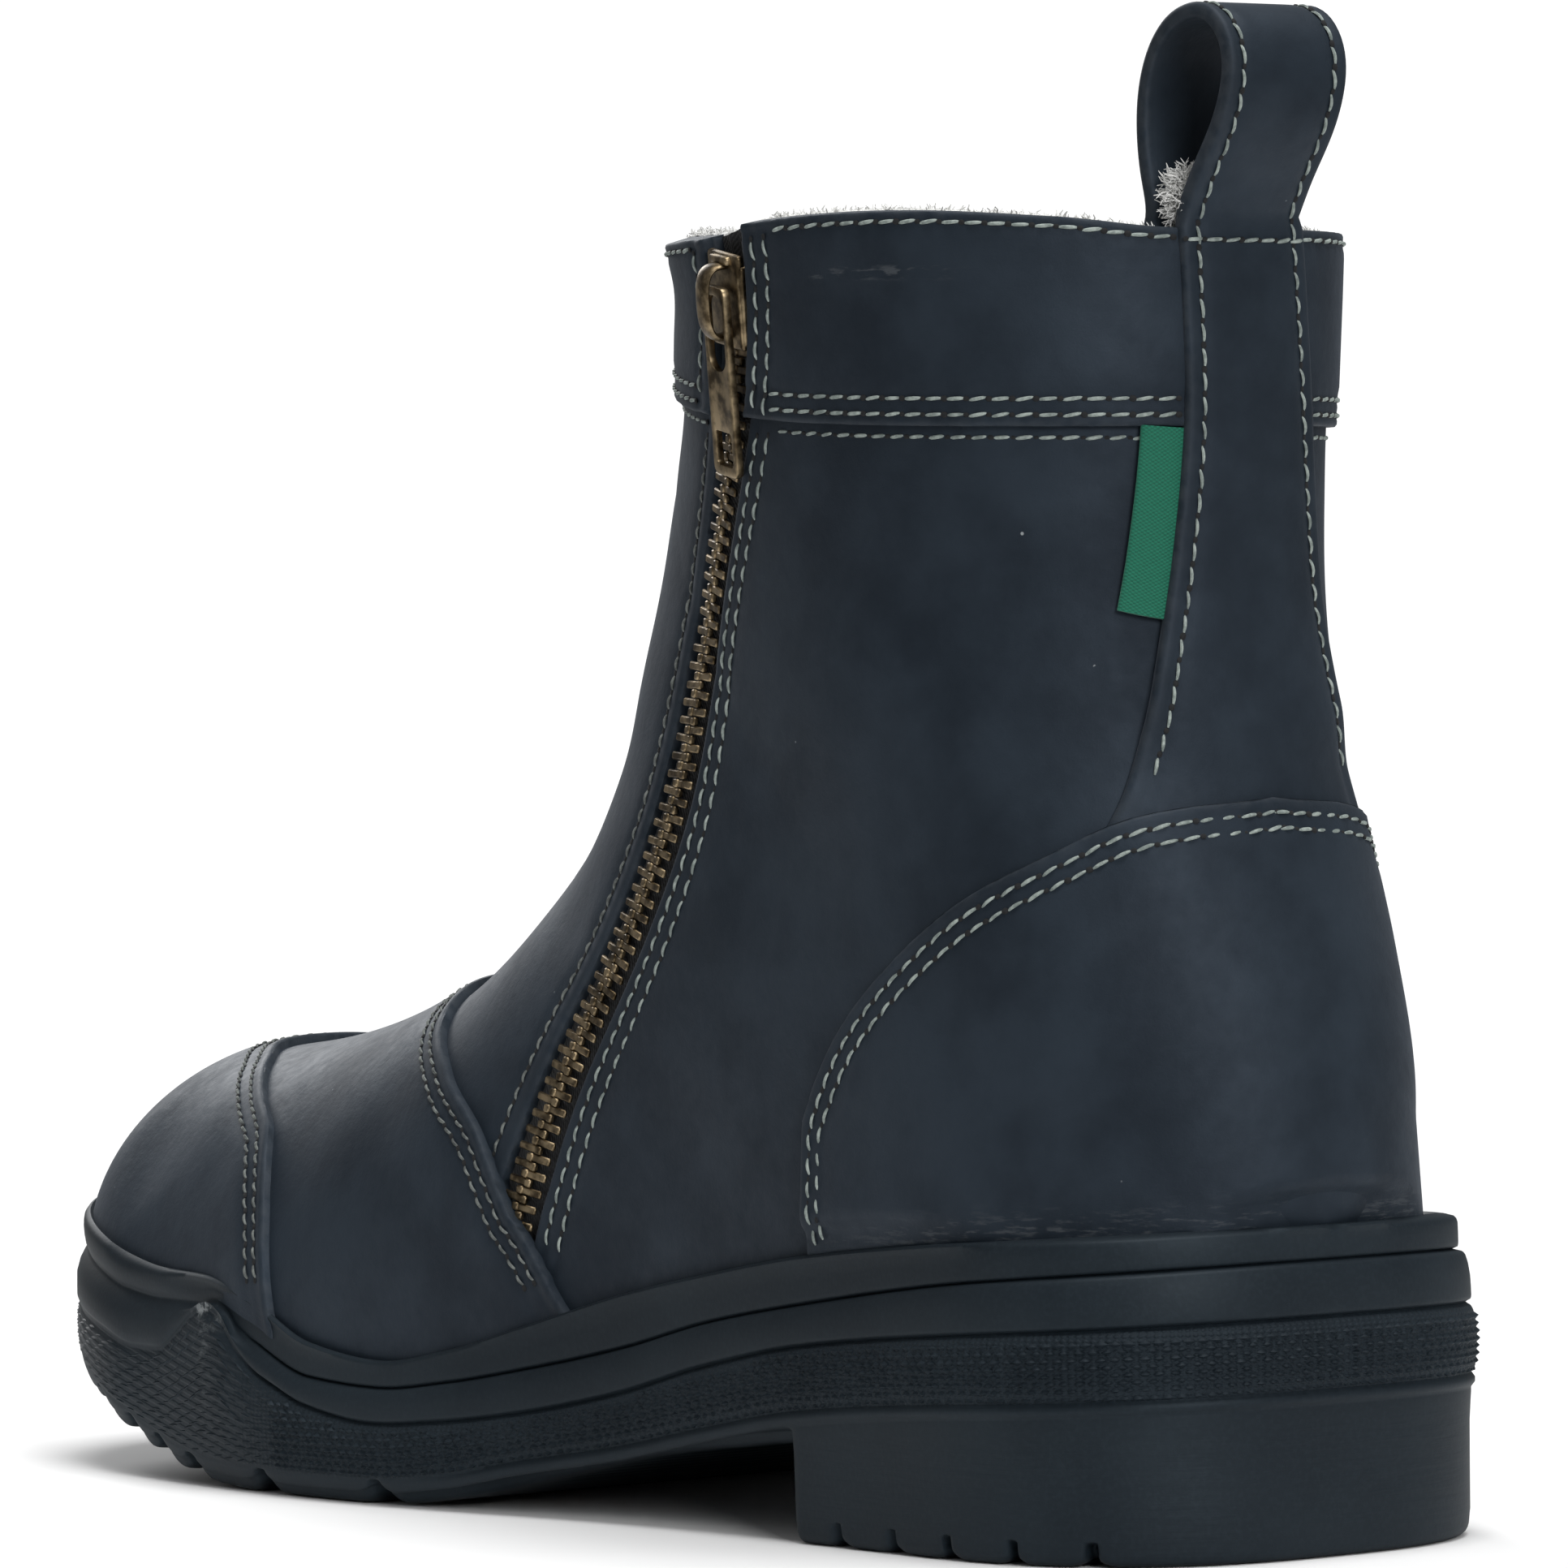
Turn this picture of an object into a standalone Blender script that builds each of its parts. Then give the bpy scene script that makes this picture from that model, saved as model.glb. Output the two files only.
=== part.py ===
"""Zip jodhpur boot, left foot: a fleece-lined leather ankle boot on a one-piece moulded rubber sole.

The toe points to -Y, the outer side of the foot is +X and +Z is up. The boot stands on z = 0 with the
middle of its sole at the origin. Sizes are in millimetres and become metres when a mesh is made.

The upper is a fan of sections. Each section lies in a plane through a ridge point (toe, instep or shaft
front) and a keel point (feather line, heel or back line). A form drawn in or out by an even amount gives
the inside of the wall and both faces of every overlay.
"""
import math

import bmesh
import bpy
import numpy as np
from mathutils import Matrix, Vector

MM = 0.001

# Driving sizes
SOLE_LENGTH = 272.0
HALF_SOLE = SOLE_LENGTH / 2
OVERHANG = 6.0
WALL = 5.0
GAP = 0.3
OVERLAY = 1.6
OVERLAY_SEAM = 0.5
OVERLAY_GAP = 0.45
FRONT_GAP = 0.6
BACK_GAP = 0.55
BAND_GAP = 0.9
LIP_CLEARANCE = 1.5
LIP_ROUND = 0.4

# Sections of the upper from the toe to the collar: ridge and keel points in side view, half widths on the
# lateral and medial sides, share of the section's depth at its widest place, and roundness
SECTION_COLUMNS = ("ridge_y", "ridge_z", "keel_y", "keel_z", "lateral", "medial", "widest", "roundness")
SECTIONS = {
    "toe_tip": (-130.0, 23.0, -129.9, 20.0, 3.5, 3.5, 0.70, 0.90),
    "toe_wall": (-129.0, 34.0, -123.0, 19.0, 25.0, 25.5, 0.72, 0.85),
    "toe_crown": (-120.5, 48.0, -111.0, 17.0, 33.2, 33.9, 0.74, 0.85),
    "toe_top": (-108.0, 57.0, -95.0, 15.0, 39.0, 39.6, 0.76, 0.85),
    "cap_edge": (-91.0, 60.5, -77.0, 13.5, 41.5, 42.2, 0.76, 0.90),
    "ball": (-63.0, 65.5, -50.0, 13.0, 43.0, 43.2, 0.76, 0.95),
    "vamp": (-34.0, 76.0, -22.0, 14.0, 41.5, 40.6, 0.74, 1.00),
    "instep_low": (-13.5, 91.0, 6.0, 18.0, 38.5, 37.0, 0.70, 1.00),
    "instep": (-1.0, 106.0, 38.0, 25.0, 36.6, 35.4, 0.64, 1.00),
    "throat": (4.5, 125.0, 74.0, 30.0, 36.6, 35.8, 0.60, 1.00),
    "heel_seat": (7.0, 140.0, 110.0, 33.0, 36.2, 36.0, 0.57, 1.00),
    "heel_corner": (9.5, 150.0, 130.0, 35.0, 36.0, 36.0, 0.55, 0.95),
    "heel_back": (12.5, 157.0, 131.5, 58.0, 36.2, 36.2, 0.53, 0.92),
    "counter_top": (15.5, 163.0, 124.0, 95.0, 36.4, 36.4, 0.52, 0.90),
    "ankle": (18.0, 168.5, 118.0, 125.0, 36.9, 36.9, 0.50, 0.90),
    "shaft": (19.5, 172.5, 117.5, 152.0, 38.1, 38.1, 0.50, 0.90),
    "collar": (19.0, 175.5, 117.5, 173.0, 40.0, 40.0, 0.50, 0.90),
}
FOOT_HALF_LENGTH = 130.0

# Sole outline: half widths from the centre line, with round ends past the two cap starts
OUTLINE_COLUMNS = ("y", "lateral", "medial")
OUTLINE = {
    "toe": (-HALF_SOLE, 42.0, 44.0),
    "toe_side": (-92.0, 44.5, 46.0),
    "ball": (-52.0, 47.6, 47.7),
    "tread_rear": (-20.0, 46.4, 44.4),
    "waist": (22.0, 40.5, 37.5),
    "heel_breast": (62.0, 39.5, 38.0),
    "heel": (100.0, 40.0, 40.0),
    "heel_back": (HALF_SOLE, 40.0, 40.0),
}
TOE_CAP_START = -88.0
TOE_CAP_POWER = 2.25
HEEL_CAP_START = 92.0
HEEL_CAP_POWER = 2.3
HEEL_BREAST = 68.0

# Heights along the sole: top of the lip, groove under it, top and bottom of the textured band, ground tread
HEIGHT_COLUMNS = ("y", "lip", "groove", "texture", "edge", "tread")
HEIGHTS = {
    "toe": (-HALF_SOLE, 41.0, 34.5, 28.5, 17.0, 13.0),
    "toe_side": (-112.0, 37.0, 30.5, 24.5, 11.0, 7.0),
    "wing_front": (-90.0, 32.0, 26.5, 21.5, 7.0, 2.6),
    "wing_peak": (-66.0, 29.6, 23.0, 18.8, 4.2, 0.0),
    "wing_rear": (-52.0, 26.2, 19.0, 16.5, 3.8, 0.0),
    "ball": (-38.0, 21.4, 16.4, 13.4, 3.6, 0.0),
    "tread_rear": (-22.0, 20.3, 16.4, 11.5, 3.6, 0.0),
    "shank_front": (-8.0, 22.4, 17.8, 12.4, 4.8, 1.4),
    "shank": (7.0, 26.2, 20.2, 14.2, 7.4, 4.6),
    "waist": (28.0, 31.6, 24.2, 18.0, 10.6, 9.0),
    "waist_rear": (46.0, 35.0, 28.4, 22.4, 14.0, 11.2),
    "breast": (HEEL_BREAST, 38.4, 31.9, 26.3, 17.6, 13.0),
    "heel": (100.0, 41.3, 34.9, 29.0, 21.4, 0.0),
    "heel_back": (HALF_SOLE, 43.2, 37.6, 31.4, 23.6, 0.0),
}

# Wall of the sole from the lip down: inset from the outline, the height column it hangs from, and the drop
SOLE_WALL_COLUMNS = ("inset", "column", "drop")
SOLE_WALL = {
    "lip_crown": (3.4, "lip", 0.0),
    "lip_face": (2.6, "lip", 1.2),
    "lip_low": (2.3, "groove", -1.0),
    "groove": (2.8, "groove", 0.0),
    "band_high": (1.0, "groove", 1.0),
    "band_low": (0.6, "texture", -0.8),
    "texture_step": (1.4, "texture", 0.0),
    "texture_high": (0.3, "texture", 0.9),
    "texture_low": (0.4, "edge", 0.0),
}

# Cup that the upper stands in: share of the way up to the lip, and the clearance to the upper there
CUP_LEVELS = ((0.2, 1.2), (0.45, 1.2), (0.72, 1.0), (1.0, 0.9))

# Tread and heel block below the textured band: place along the boot and inset from the outline
BLOCK_DROP = 2.2
BLOCK_INSET_COLUMNS = ("y", "inset")
BLOCK_INSET = {
    "toe": (-HALF_SOLE, 1.4),
    "tread_rear": (-30.0, 1.4),
    "shank_front": (-6.0, 3.0),
    "shank": (4.0, 6.0),
    "waist_rear": (HEEL_BREAST - 0.2, 6.0),
    "breast": (HEEL_BREAST, 0.9),
    "heel_back": (HALF_SOLE, 0.9),
}
BLOCK_TAPER = 0.6
EDGE_ROUND = 1.4

# Slots across the tread edge: depth, width, reach in from the outline, and places along the boot
LUG_COLUMNS = ("deep", "wide", "reach", "places")
LUG_SLOTS = {
    "forefoot": (2.4, 2.2, 10.0, (-128.0, -117.0, -103.0, -87.0, -68.0, -46.0, -26.0)),
    "heel": (3.0, 1.6, 9.0, (76.0, 88.0, 100.0, 112.0, 123.0)),
}
LUG_CUTTER_HEIGHT = 10.0

# Seams in side view, as (y, z) from one end to the other
ZIP_LINE = (
    (59.0, 172.0), (54.5, 152.0), (47.5, 138.0), (40.0, 120.0),
    (35.5, 100.0), (26.5, 82.0), (13.5, 65.0), (5.0, 46.0),
)
CAP_EDGE = ((-97.0, 60.0), (-79.0, 55.0), (-63.0, 48.0), (-52.0, 36.0), (-47.0, 24.0))
VAMP_EDGE = ((-42.0, 73.0), (-29.0, 67.5), (-17.0, 60.5), (-4.0, 51.5), (6.0, 39.0), (14.0, 28.5))
COUNTER_EDGE = (
    (64.0, 38.0), (67.0, 51.0), (71.5, 60.5), (78.5, 70.0),
    (89.0, 79.0), (101.0, 87.0), (111.0, 92.5), (118.5, 96.5),
)
COUNTER_TOP_Z = 98.5
BAND_DEPTH = 26.0

# Back strap, pull loop, zip and label
STRAP_HALF_WIDTHS = ((96.0, 20.5), (112.0, 16.5), (130.0, 13.5), (150.0, 12.0), (173.0, 11.5))
STRAP_THICK = 2.0
LOOP_HEIGHT = 28.0
LOOP_NARROWING = 0.12
LOOP_DEPTH = 14.0
LOOP_LEAN = 7.0
LOOP_TAIL = 14.0
LOOP_BOW = 0.018
ZIP_SLOT = 12.0
CHAIN_WIDTH = 5.4
CHAIN_THICK = 2.2
TAPE_THICK = 1.2
LABEL_WIDTH = 7.0
LABEL_THICK = 1.0
LABEL_LENGTH = 25.0
LABEL_TOP_Z = 145.0
INSOLE_THICK = 3.0


def spline(knots, values, where):
    """Natural cubic spline through the knots; values may hold several columns."""
    knots = np.asarray(knots, float)
    values = np.asarray(values, float)
    where = np.asarray(where, float)
    flat = values.reshape(len(knots), -1)
    step = np.diff(knots)
    count = len(knots)
    system = np.eye(count)
    right = np.zeros_like(flat)
    for i in range(1, count - 1):
        system[i, i - 1:i + 2] = step[i - 1], 2.0 * (step[i - 1] + step[i]), step[i]
        right[i] = 6.0 * ((flat[i + 1] - flat[i]) / step[i] - (flat[i] - flat[i - 1]) / step[i - 1])
    bend = np.linalg.solve(system, right)
    k = np.clip(np.searchsorted(knots, where, side="right") - 1, 0, count - 2)
    before = (where - knots[k])[..., None]
    after = (knots[k + 1] - where)[..., None]
    span = step[k][..., None]
    cubic = (bend[k] * after ** 3 + bend[k + 1] * before ** 3) / (6.0 * span)
    start = (flat[k] / span - bend[k] * span / 6.0) * after
    finish = (flat[k + 1] / span - bend[k + 1] * span / 6.0) * before
    return (cubic + start + finish).reshape(where.shape + values.shape[1:])


def monotone(knots, values, where):
    """Cubic curve through the knots that stays flat where the values stay flat."""
    knots = np.asarray(knots, float)
    values = np.asarray(values, float)
    where = np.clip(np.asarray(where, float), knots[0], knots[-1])
    step = np.diff(knots)
    slope = np.diff(values) / step
    tangent = np.zeros_like(values)
    tangent[0], tangent[-1] = slope[0], slope[-1]
    same = slope[:-1] * slope[1:] > 0
    weight_a = 2.0 * step[1:] + step[:-1]
    weight_b = step[1:] + 2.0 * step[:-1]
    safe_a = np.where(same, slope[:-1], 1.0)
    safe_b = np.where(same, slope[1:], 1.0)
    tangent[1:-1] = np.where(same, (weight_a + weight_b) / (weight_a / safe_a + weight_b / safe_b), 0.0)
    k = np.clip(np.searchsorted(knots, where, side="right") - 1, 0, len(knots) - 2)
    t = (where - knots[k]) / step[k]
    rise = values[k] * (1 + 2 * t) * (1 - t) ** 2 + values[k + 1] * t * t * (3 - 2 * t)
    return rise + step[k] * (tangent[k] * t * (1 - t) ** 2 - tangent[k + 1] * t * t * (1 - t))


def column(table, columns, name):
    """One named column of a table as an array."""
    return np.array([row[columns.index(name)] for row in table.values()])


def height(name, y):
    """Height of one line of the sole at a place along the boot."""
    return monotone(column(HEIGHTS, HEIGHT_COLUMNS, "y"), column(HEIGHTS, HEIGHT_COLUMNS, name), y)


def round_end(y, start, end, power):
    """Width share left at y where the outline closes in a round end."""
    t = np.clip((y - start) / (end - start), 0.0, 1.0)
    return (1.0 - t ** power) ** (1.0 / power)


def sole_half_width(y, side, inset=0.0):
    """Half width of the sole outline at y on one side, drawn in by inset."""
    stations = column(OUTLINE, OUTLINE_COLUMNS, "y")
    widths = column(OUTLINE, OUTLINE_COLUMNS, "lateral" if side > 0 else "medial")
    y = np.asarray(y, float)
    base = spline(stations, widths, np.clip(y, stations[0], stations[-1])) - inset
    toe = round_end(y, TOE_CAP_START, stations[0] + inset, TOE_CAP_POWER)
    heel = round_end(y, HEEL_CAP_START, stations[-1] - inset, HEEL_CAP_POWER)
    return base * toe * heel


def keel_height(y):
    """Height of the feather line, where the upper stands, along the foot."""
    foot = list(SECTIONS).index("heel_corner") + 1
    table = np.array(list(SECTIONS.values()))[:foot]
    return monotone(table[:, 2], table[:, 3], y)


class Form:
    """The upper's outer surface, drawn in by an even inset (negative draws it out)."""

    def __init__(self, inset=0.0):
        self.inset = inset
        table = np.array(list(SECTIONS.values()))
        ridge_step = np.hypot(np.diff(table[:, 0]), np.diff(table[:, 1]))
        keel_step = np.hypot(np.diff(table[:, 2]), np.diff(table[:, 3]))
        chain = np.concatenate(([0.0], np.cumsum(ridge_step + keel_step)))
        self.knots = chain / chain[-1]
        self.table = table
        self.places = dict(zip(SECTIONS, self.knots))
        self.corner = self.places["heel_corner"]

    def section(self, s):
        """Table columns at section s with the inset applied."""
        s = np.asarray(s, float)
        values = spline(self.knots, self.table, s)
        turn = list(SECTIONS).index("heel_corner")
        foot = spline(self.knots[:turn + 1], self.table[:turn + 1, 2], np.minimum(s, self.corner))
        back = spline(self.knots[turn:], self.table[turn:, 2:4], np.maximum(s, self.corner))
        values[..., 2] = np.where(s < self.corner, foot, back[..., 0])
        values[..., 3] = np.where(s < self.corner, keel_height(foot), back[..., 1])
        tiny = 1e-4
        ahead = spline(self.knots, self.table[:, :2], np.minimum(s + tiny, 1.0))
        behind = spline(self.knots, self.table[:, :2], np.maximum(s - tiny, 0.0))
        run = ahead - behind
        run = run / np.linalg.norm(run, axis=-1, keepdims=True)
        values[..., 0] += self.inset * run[..., 1]
        values[..., 1] -= self.inset * run[..., 0]
        inward = np.where(s >= self.corner, 1.0, np.clip(values[..., 2] / FOOT_HALF_LENGTH, -1.0, 1.0))
        values[..., 2] -= self.inset * inward
        values[..., 4:6] -= self.inset
        return values

    def feather(self, values, side):
        """Half width at the feather line of a section."""
        return sole_half_width(values[..., 2], side, OVERHANG + self.inset)

    def width_and_end(self, s, values, side):
        """Widest half width of a section and the angle at which it ends."""
        feather = self.feather(values, side)
        table_width = np.maximum(values[..., 4] if side > 0 else values[..., 5], 0.5)
        width = np.where(s >= self.corner, table_width, np.maximum(table_width, feather * 1.015 + 0.2))
        ratio = np.clip(feather / width, 0.0, 1.0) ** (1.0 / values[..., 7])
        return width, np.where(s >= self.corner, math.pi, math.pi - np.arcsin(ratio))

    def point(self, s, share):
        """Point at section s; share is 0 on the ridge and 1 (lateral) or -1 (medial) at the section's end."""
        s, share = np.broadcast_arrays(np.asarray(s, float), np.asarray(share, float))
        values = self.section(s)
        lateral_width, lateral_end = self.width_and_end(s, values, 1)
        medial_width, medial_end = self.width_and_end(s, values, -1)
        width = np.where(share >= 0, lateral_width, medial_width)
        end = np.where(share >= 0, lateral_end, medial_end)
        angle = np.abs(share) * end
        widest = values[..., 6]
        front = widest * (1.0 - np.cos(angle))
        back = widest + (1.0 - widest) * -np.cos(angle) / np.maximum(-np.cos(end), 1e-6)
        depth = np.where(angle < math.pi / 2, front, back)
        x = np.sign(share) * width * np.abs(np.sin(angle)) ** values[..., 7]
        x = np.where((np.abs(share) >= 1.0) & (s >= self.corner), 0.0, x)
        y = values[..., 0] + (values[..., 2] - values[..., 0]) * depth
        z = values[..., 1] + (values[..., 3] - values[..., 1]) * depth
        return np.stack([x, y, z], axis=-1)

    def share_at(self, s, depth, side):
        """Share of a section's turn at a depth from ridge to keel."""
        values = self.section(s)
        _, end = self.width_and_end(s, values, side)
        widest = values[..., 6]
        front = np.arccos(np.clip(1.0 - depth / widest, -1.0, 1.0))
        past = np.clip((depth - widest) / (1.0 - widest), 0.0, 1.0)
        back = np.arccos(np.clip(past * np.cos(end), -1.0, 1.0))
        return side * np.where(depth < widest, front, back) / end

    def locate(self, y, z, side=1):
        """Section and share of the surface point seen at (y, z) from the side."""
        s = np.linspace(0.0, 1.0, 1201)
        values = self.section(s)
        run_y, run_z = values[:, 2] - values[:, 0], values[:, 3] - values[:, 1]
        turn = (y - values[:, 0]) * run_z - (z - values[:, 1]) * run_y
        crossing = np.flatnonzero(turn[:-1] * turn[1:] <= 0.0)[-1]
        part = turn[crossing] / (turn[crossing] - turn[crossing + 1])
        place = s[crossing] + part * (s[1] - s[0])
        at = self.section(place)
        run = np.array([at[2] - at[0], at[3] - at[1]])
        depth = float(np.dot([y - at[0], z - at[1]], run) / np.dot(run, run))
        return place, float(self.share_at(place, np.array(depth), side))

    def strap_share(self, s, half):
        """Share at which a closed section is a given half width from its keel."""
        values = self.section(s)
        ratio = np.clip(half / values[..., 4], 0.0, 1.0) ** (1.0 / values[..., 7])
        return 1.0 - np.arcsin(ratio) / math.pi


OUTER = Form()
DENSE = np.linspace(0.0, 1.0, 601)


def level_shares(level, side, form=OUTER):
    """Share on every dense section where the surface is at the height level(y)."""
    values = form.section(DENSE)
    low, high = np.zeros_like(DENSE), np.ones_like(DENSE)
    for _ in range(40):
        middle = 0.5 * (low + high)
        y = values[:, 0] + (values[:, 2] - values[:, 0]) * middle
        z = values[:, 1] + (values[:, 3] - values[:, 1]) * middle
        above = z > level(y)
        low = np.where(above, middle, low)
        high = np.where(above, high, middle)
    share = np.abs(form.share_at(DENSE, 0.5 * (low + high), side))
    share = np.where(values[:, 1] <= level(values[:, 0]), 0.0, share)
    return np.where(values[:, 3] >= level(values[:, 2]), 1.0, share)


def lip_level(y):
    """Height just above the lip of the sole, where overlays end."""
    return height("lip", y) + LIP_CLEARANCE


LIP_SHARES = {1: level_shares(lip_level, 1), -1: level_shares(lip_level, -1)}


def lip_share(s, side):
    """Share at which a section meets the lip of the sole."""
    return np.interp(s, DENSE, LIP_SHARES[side])


# Mesh helpers

def material(name, colour, roughness, metallic=0.0):
    """Principled material from an sRGB-like linear colour."""
    made = bpy.data.materials.new(name)
    made.use_nodes = True
    shader = made.node_tree.nodes["Principled BSDF"]
    shader.inputs["Base Color"].default_value = (*colour, 1.0)
    shader.inputs["Roughness"].default_value = roughness
    shader.inputs["Metallic"].default_value = metallic
    made.diffuse_color = (*colour, 1.0)
    return made


def add_object(name, vertices, faces, finish):
    """Object from millimetre points, merged, facing out and shaded smooth."""
    mesh = bpy.data.meshes.new(name)
    mesh.from_pydata([tuple(np.asarray(v, float) * MM) for v in vertices], [], faces)
    shaped = bmesh.new()
    shaped.from_mesh(mesh)
    bmesh.ops.remove_doubles(shaped, verts=shaped.verts, dist=1e-7)
    bmesh.ops.triangulate(shaped, faces=shaped.faces)
    bmesh.ops.recalc_face_normals(shaped, faces=shaped.faces)
    shaped.to_mesh(mesh)
    shaped.free()
    mesh.shade_smooth()
    mesh.set_sharp_from_angle(angle=math.radians(40.0))
    mesh.materials.append(finish)
    made = bpy.data.objects.new(name, mesh)
    bpy.context.collection.objects.link(made)
    return made


def thick_patch(name, outer_grids, inner_grids, finish, skip=None):
    """Closed solid between grids of outer and inner points; edges left open by the grids get walls.

    Grid points that coincide are one vertex, so grids that share an edge become one solid. skip holds
    the (grid, row, column) cells that stay open.
    """
    keys, outer, inner, cells = {}, [], [], []
    for index, (top, under) in enumerate(zip(outer_grids, inner_grids)):
        ids = np.zeros(top.shape[:2], int)
        for i in range(top.shape[0]):
            for j in range(top.shape[1]):
                key = tuple(np.round(top[i, j], 3))
                if key not in keys:
                    keys[key] = len(outer)
                    outer.append(top[i, j])
                    inner.append(under[i, j])
                ids[i, j] = keys[key]
        for i in range(top.shape[0] - 1):
            for j in range(top.shape[1] - 1):
                if skip and (index, i, j) in skip:
                    continue
                loop = [ids[i, j], ids[i, j + 1], ids[i + 1, j + 1], ids[i + 1, j]]
                cell = [v for k, v in enumerate(loop) if v != loop[k - 1]]
                if len(cell) > 2:
                    cells.append(cell)
    count = len(outer)
    edges = {(a, b) for cell in cells for a, b in zip(cell, cell[1:] + cell[:1])}
    faces = list(cells)
    faces += [[v + count for v in reversed(cell)] for cell in cells]
    faces += [[b, a, a + count, b + count] for a, b in edges if (b, a) not in edges]
    return add_object(name, outer + inner, faces, finish)


def overlay(name, cells, finish, base=OVERLAY_GAP, thick=OVERLAY):
    """Solid that stands on the upper, cut between two drawn-out forms; cells are (section, share) grids."""
    under, top = Form(-base), Form(-base - thick)
    return thick_patch(name, [top.point(*c) for c in cells], [under.point(*c) for c in cells], finish)


# Sole

def sole_stations():
    """Places along the outline as (part, value): angles on the round ends and y between them."""
    angles = np.radians([90.0, 84.0, 77.0, 69.0, 61.0, 52.0, 43.0, 33.0, 22.0, 11.0])
    toe = [("toe", a) for a in angles]
    heel = [("heel", a) for a in angles[::-1]]
    forefoot = [("side", y) for y in np.linspace(TOE_CAP_START, -22.0, 7)]
    waist = [("side", y) for y in np.linspace(-12.0, HEEL_BREAST - 0.05, 7)]
    seat = [("side", y) for y in np.linspace(HEEL_BREAST + 0.05, HEEL_CAP_START, 4)]
    return toe + forefoot + waist + seat + heel


STATIONS = sole_stations()


def station_y(inset):
    """y of every station on the outline drawn in by an inset, which may differ by station."""
    insets = np.broadcast_to(np.asarray(inset, float), (len(STATIONS),))
    ends = column(OUTLINE, OUTLINE_COLUMNS, "y")[[0, -1]]
    places = []
    for (part, value), step in zip(STATIONS, insets):
        if part == "toe":
            reach = math.sin(value) ** (2.0 / TOE_CAP_POWER)
            places.append(TOE_CAP_START + (ends[0] + step - TOE_CAP_START) * reach)
        elif part == "heel":
            reach = math.sin(value) ** (2.0 / HEEL_CAP_POWER)
            places.append(HEEL_CAP_START + (ends[1] - step - HEEL_CAP_START) * reach)
        else:
            places.append(value)
    return np.array(places)


def ring(inset, level):
    """Closed loop round the sole, from the toe tip by the lateral side to the heel and back, at level(y)."""
    sides = []
    for side in (1, -1):
        own = inset[side] if isinstance(inset, dict) else inset
        insets = np.broadcast_to(np.asarray(own, float), (len(STATIONS),))
        y = station_y(insets)
        x = np.array([side * float(sole_half_width(v, side, step)) for v, step in zip(y, insets)])
        x[[0, -1]] = 0.0
        sides.append(np.stack([x, y, level(y)], axis=-1))
    return np.vstack([sides[0], sides[1][-2:0:-1]])


def clear_inset(level, gap):
    """Inset at each station that keeps the sole a gap outside the upper at the height level(y)."""
    trial = np.linspace(0.0, 9.0, 181)
    found = {}
    for side in (1, -1):
        shares = level_shares(level, side)
        shown = (shares > 0.0) & (shares < 1.0)
        line = OUTER.point(DENSE[shown], side * shares[shown])
        order = np.argsort(line[:, 1])
        line_x, line_y = np.abs(line[order, 0]), line[order, 1]
        limits = np.full(len(STATIONS), trial[-1])
        for step in trial[::-1]:
            y = station_y(step)
            x = np.abs(sole_half_width(y, side, step))
            inside = np.interp(y, line_y, line_x, left=-1.0, right=-1.0) > x
            limits = np.where(inside, step, limits)
        found[side] = limits - gap
    for end in (0, -1):
        both = min(found[1][end], found[-1][end])
        found[1][end] = found[-1][end] = both
    return found


def block_inset():
    """Inset of the tread and heel block below the textured band at each station."""
    places = column(BLOCK_INSET, BLOCK_INSET_COLUMNS, "y")
    return np.interp(station_y(0.0), places, column(BLOCK_INSET, BLOCK_INSET_COLUMNS, "inset"))


def tread_height(y):
    """Ground side of the sole: the arch stops at the heel breast, where the heel block starts."""
    return np.where(y > HEEL_BREAST, 0.0, height("tread", np.minimum(y, HEEL_BREAST)))


def loft(rings, cap_rows):
    """Vertices and faces of stacked rings, closed by strips across the first and last ring."""
    count = len(rings[0])
    vertices = np.vstack(rings)
    faces = []
    for k in range(len(rings) - 1):
        for i in range(count):
            j = (i + 1) % count
            faces.append([k * count + i, k * count + j, (k + 1) * count + j, (k + 1) * count + i])
    for base in (0, (len(rings) - 1) * count):
        for i in range(cap_rows - 1):
            near, far = i, i + 1
            loop = [near, far, (count - far) % count, (count - near) % count]
            cell = [base + v for k, v in enumerate(loop) if v != loop[k - 1]]
            faces.append(cell)
    return vertices, faces


def lug_cutters():
    """Slots across the tread edge at the toe and along the heel, as one cutter mesh."""
    boxes = bmesh.new()
    for deep, wide, reach, places in LUG_SLOTS.values():
        for y in places:
            for side in (1, -1):
                edge = float(sole_half_width(y, side))
                ahead = float(sole_half_width(y + 0.5, side))
                behind = float(sole_half_width(y - 0.5, side))
                turn = math.atan2(-(ahead - behind), 1.0) * side
                floor = float(tread_height(np.array(y)))
                middle = floor + deep - LUG_CUTTER_HEIGHT / 2
                place = Matrix.Translation(Vector((side * edge, y, middle)) * MM)
                size = Matrix.Diagonal((2.0 * reach * MM, wide * MM, LUG_CUTTER_HEIGHT * MM, 1.0))
                bmesh.ops.create_cube(boxes, size=1.0, matrix=place @ Matrix.Rotation(turn, 4, "Z") @ size)
    mesh = bpy.data.meshes.new("lug_slots")
    boxes.to_mesh(mesh)
    boxes.free()
    cutter = bpy.data.objects.new("lug_slots", mesh)
    bpy.context.collection.objects.link(cutter)
    cutter.hide_render = True
    cutter.display_type = "WIRE"
    return cutter


def cup_level(part):
    """Level at a share of the way from the feather line up to the inner edge of the lip."""
    return lambda y: keel_height(y) + part * (height("lip", y) - LIP_ROUND - keel_height(y))


def wall_level(name, drop):
    """Level of one line of the sole's wall."""
    return lambda y: height(name, y) - drop


def shoulder_level(y):
    """Level of the shoulder where the tread or heel block starts below the textured band."""
    return np.maximum(height("edge", y) - BLOCK_DROP, tread_height(y) + EDGE_ROUND + 0.3)


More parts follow.
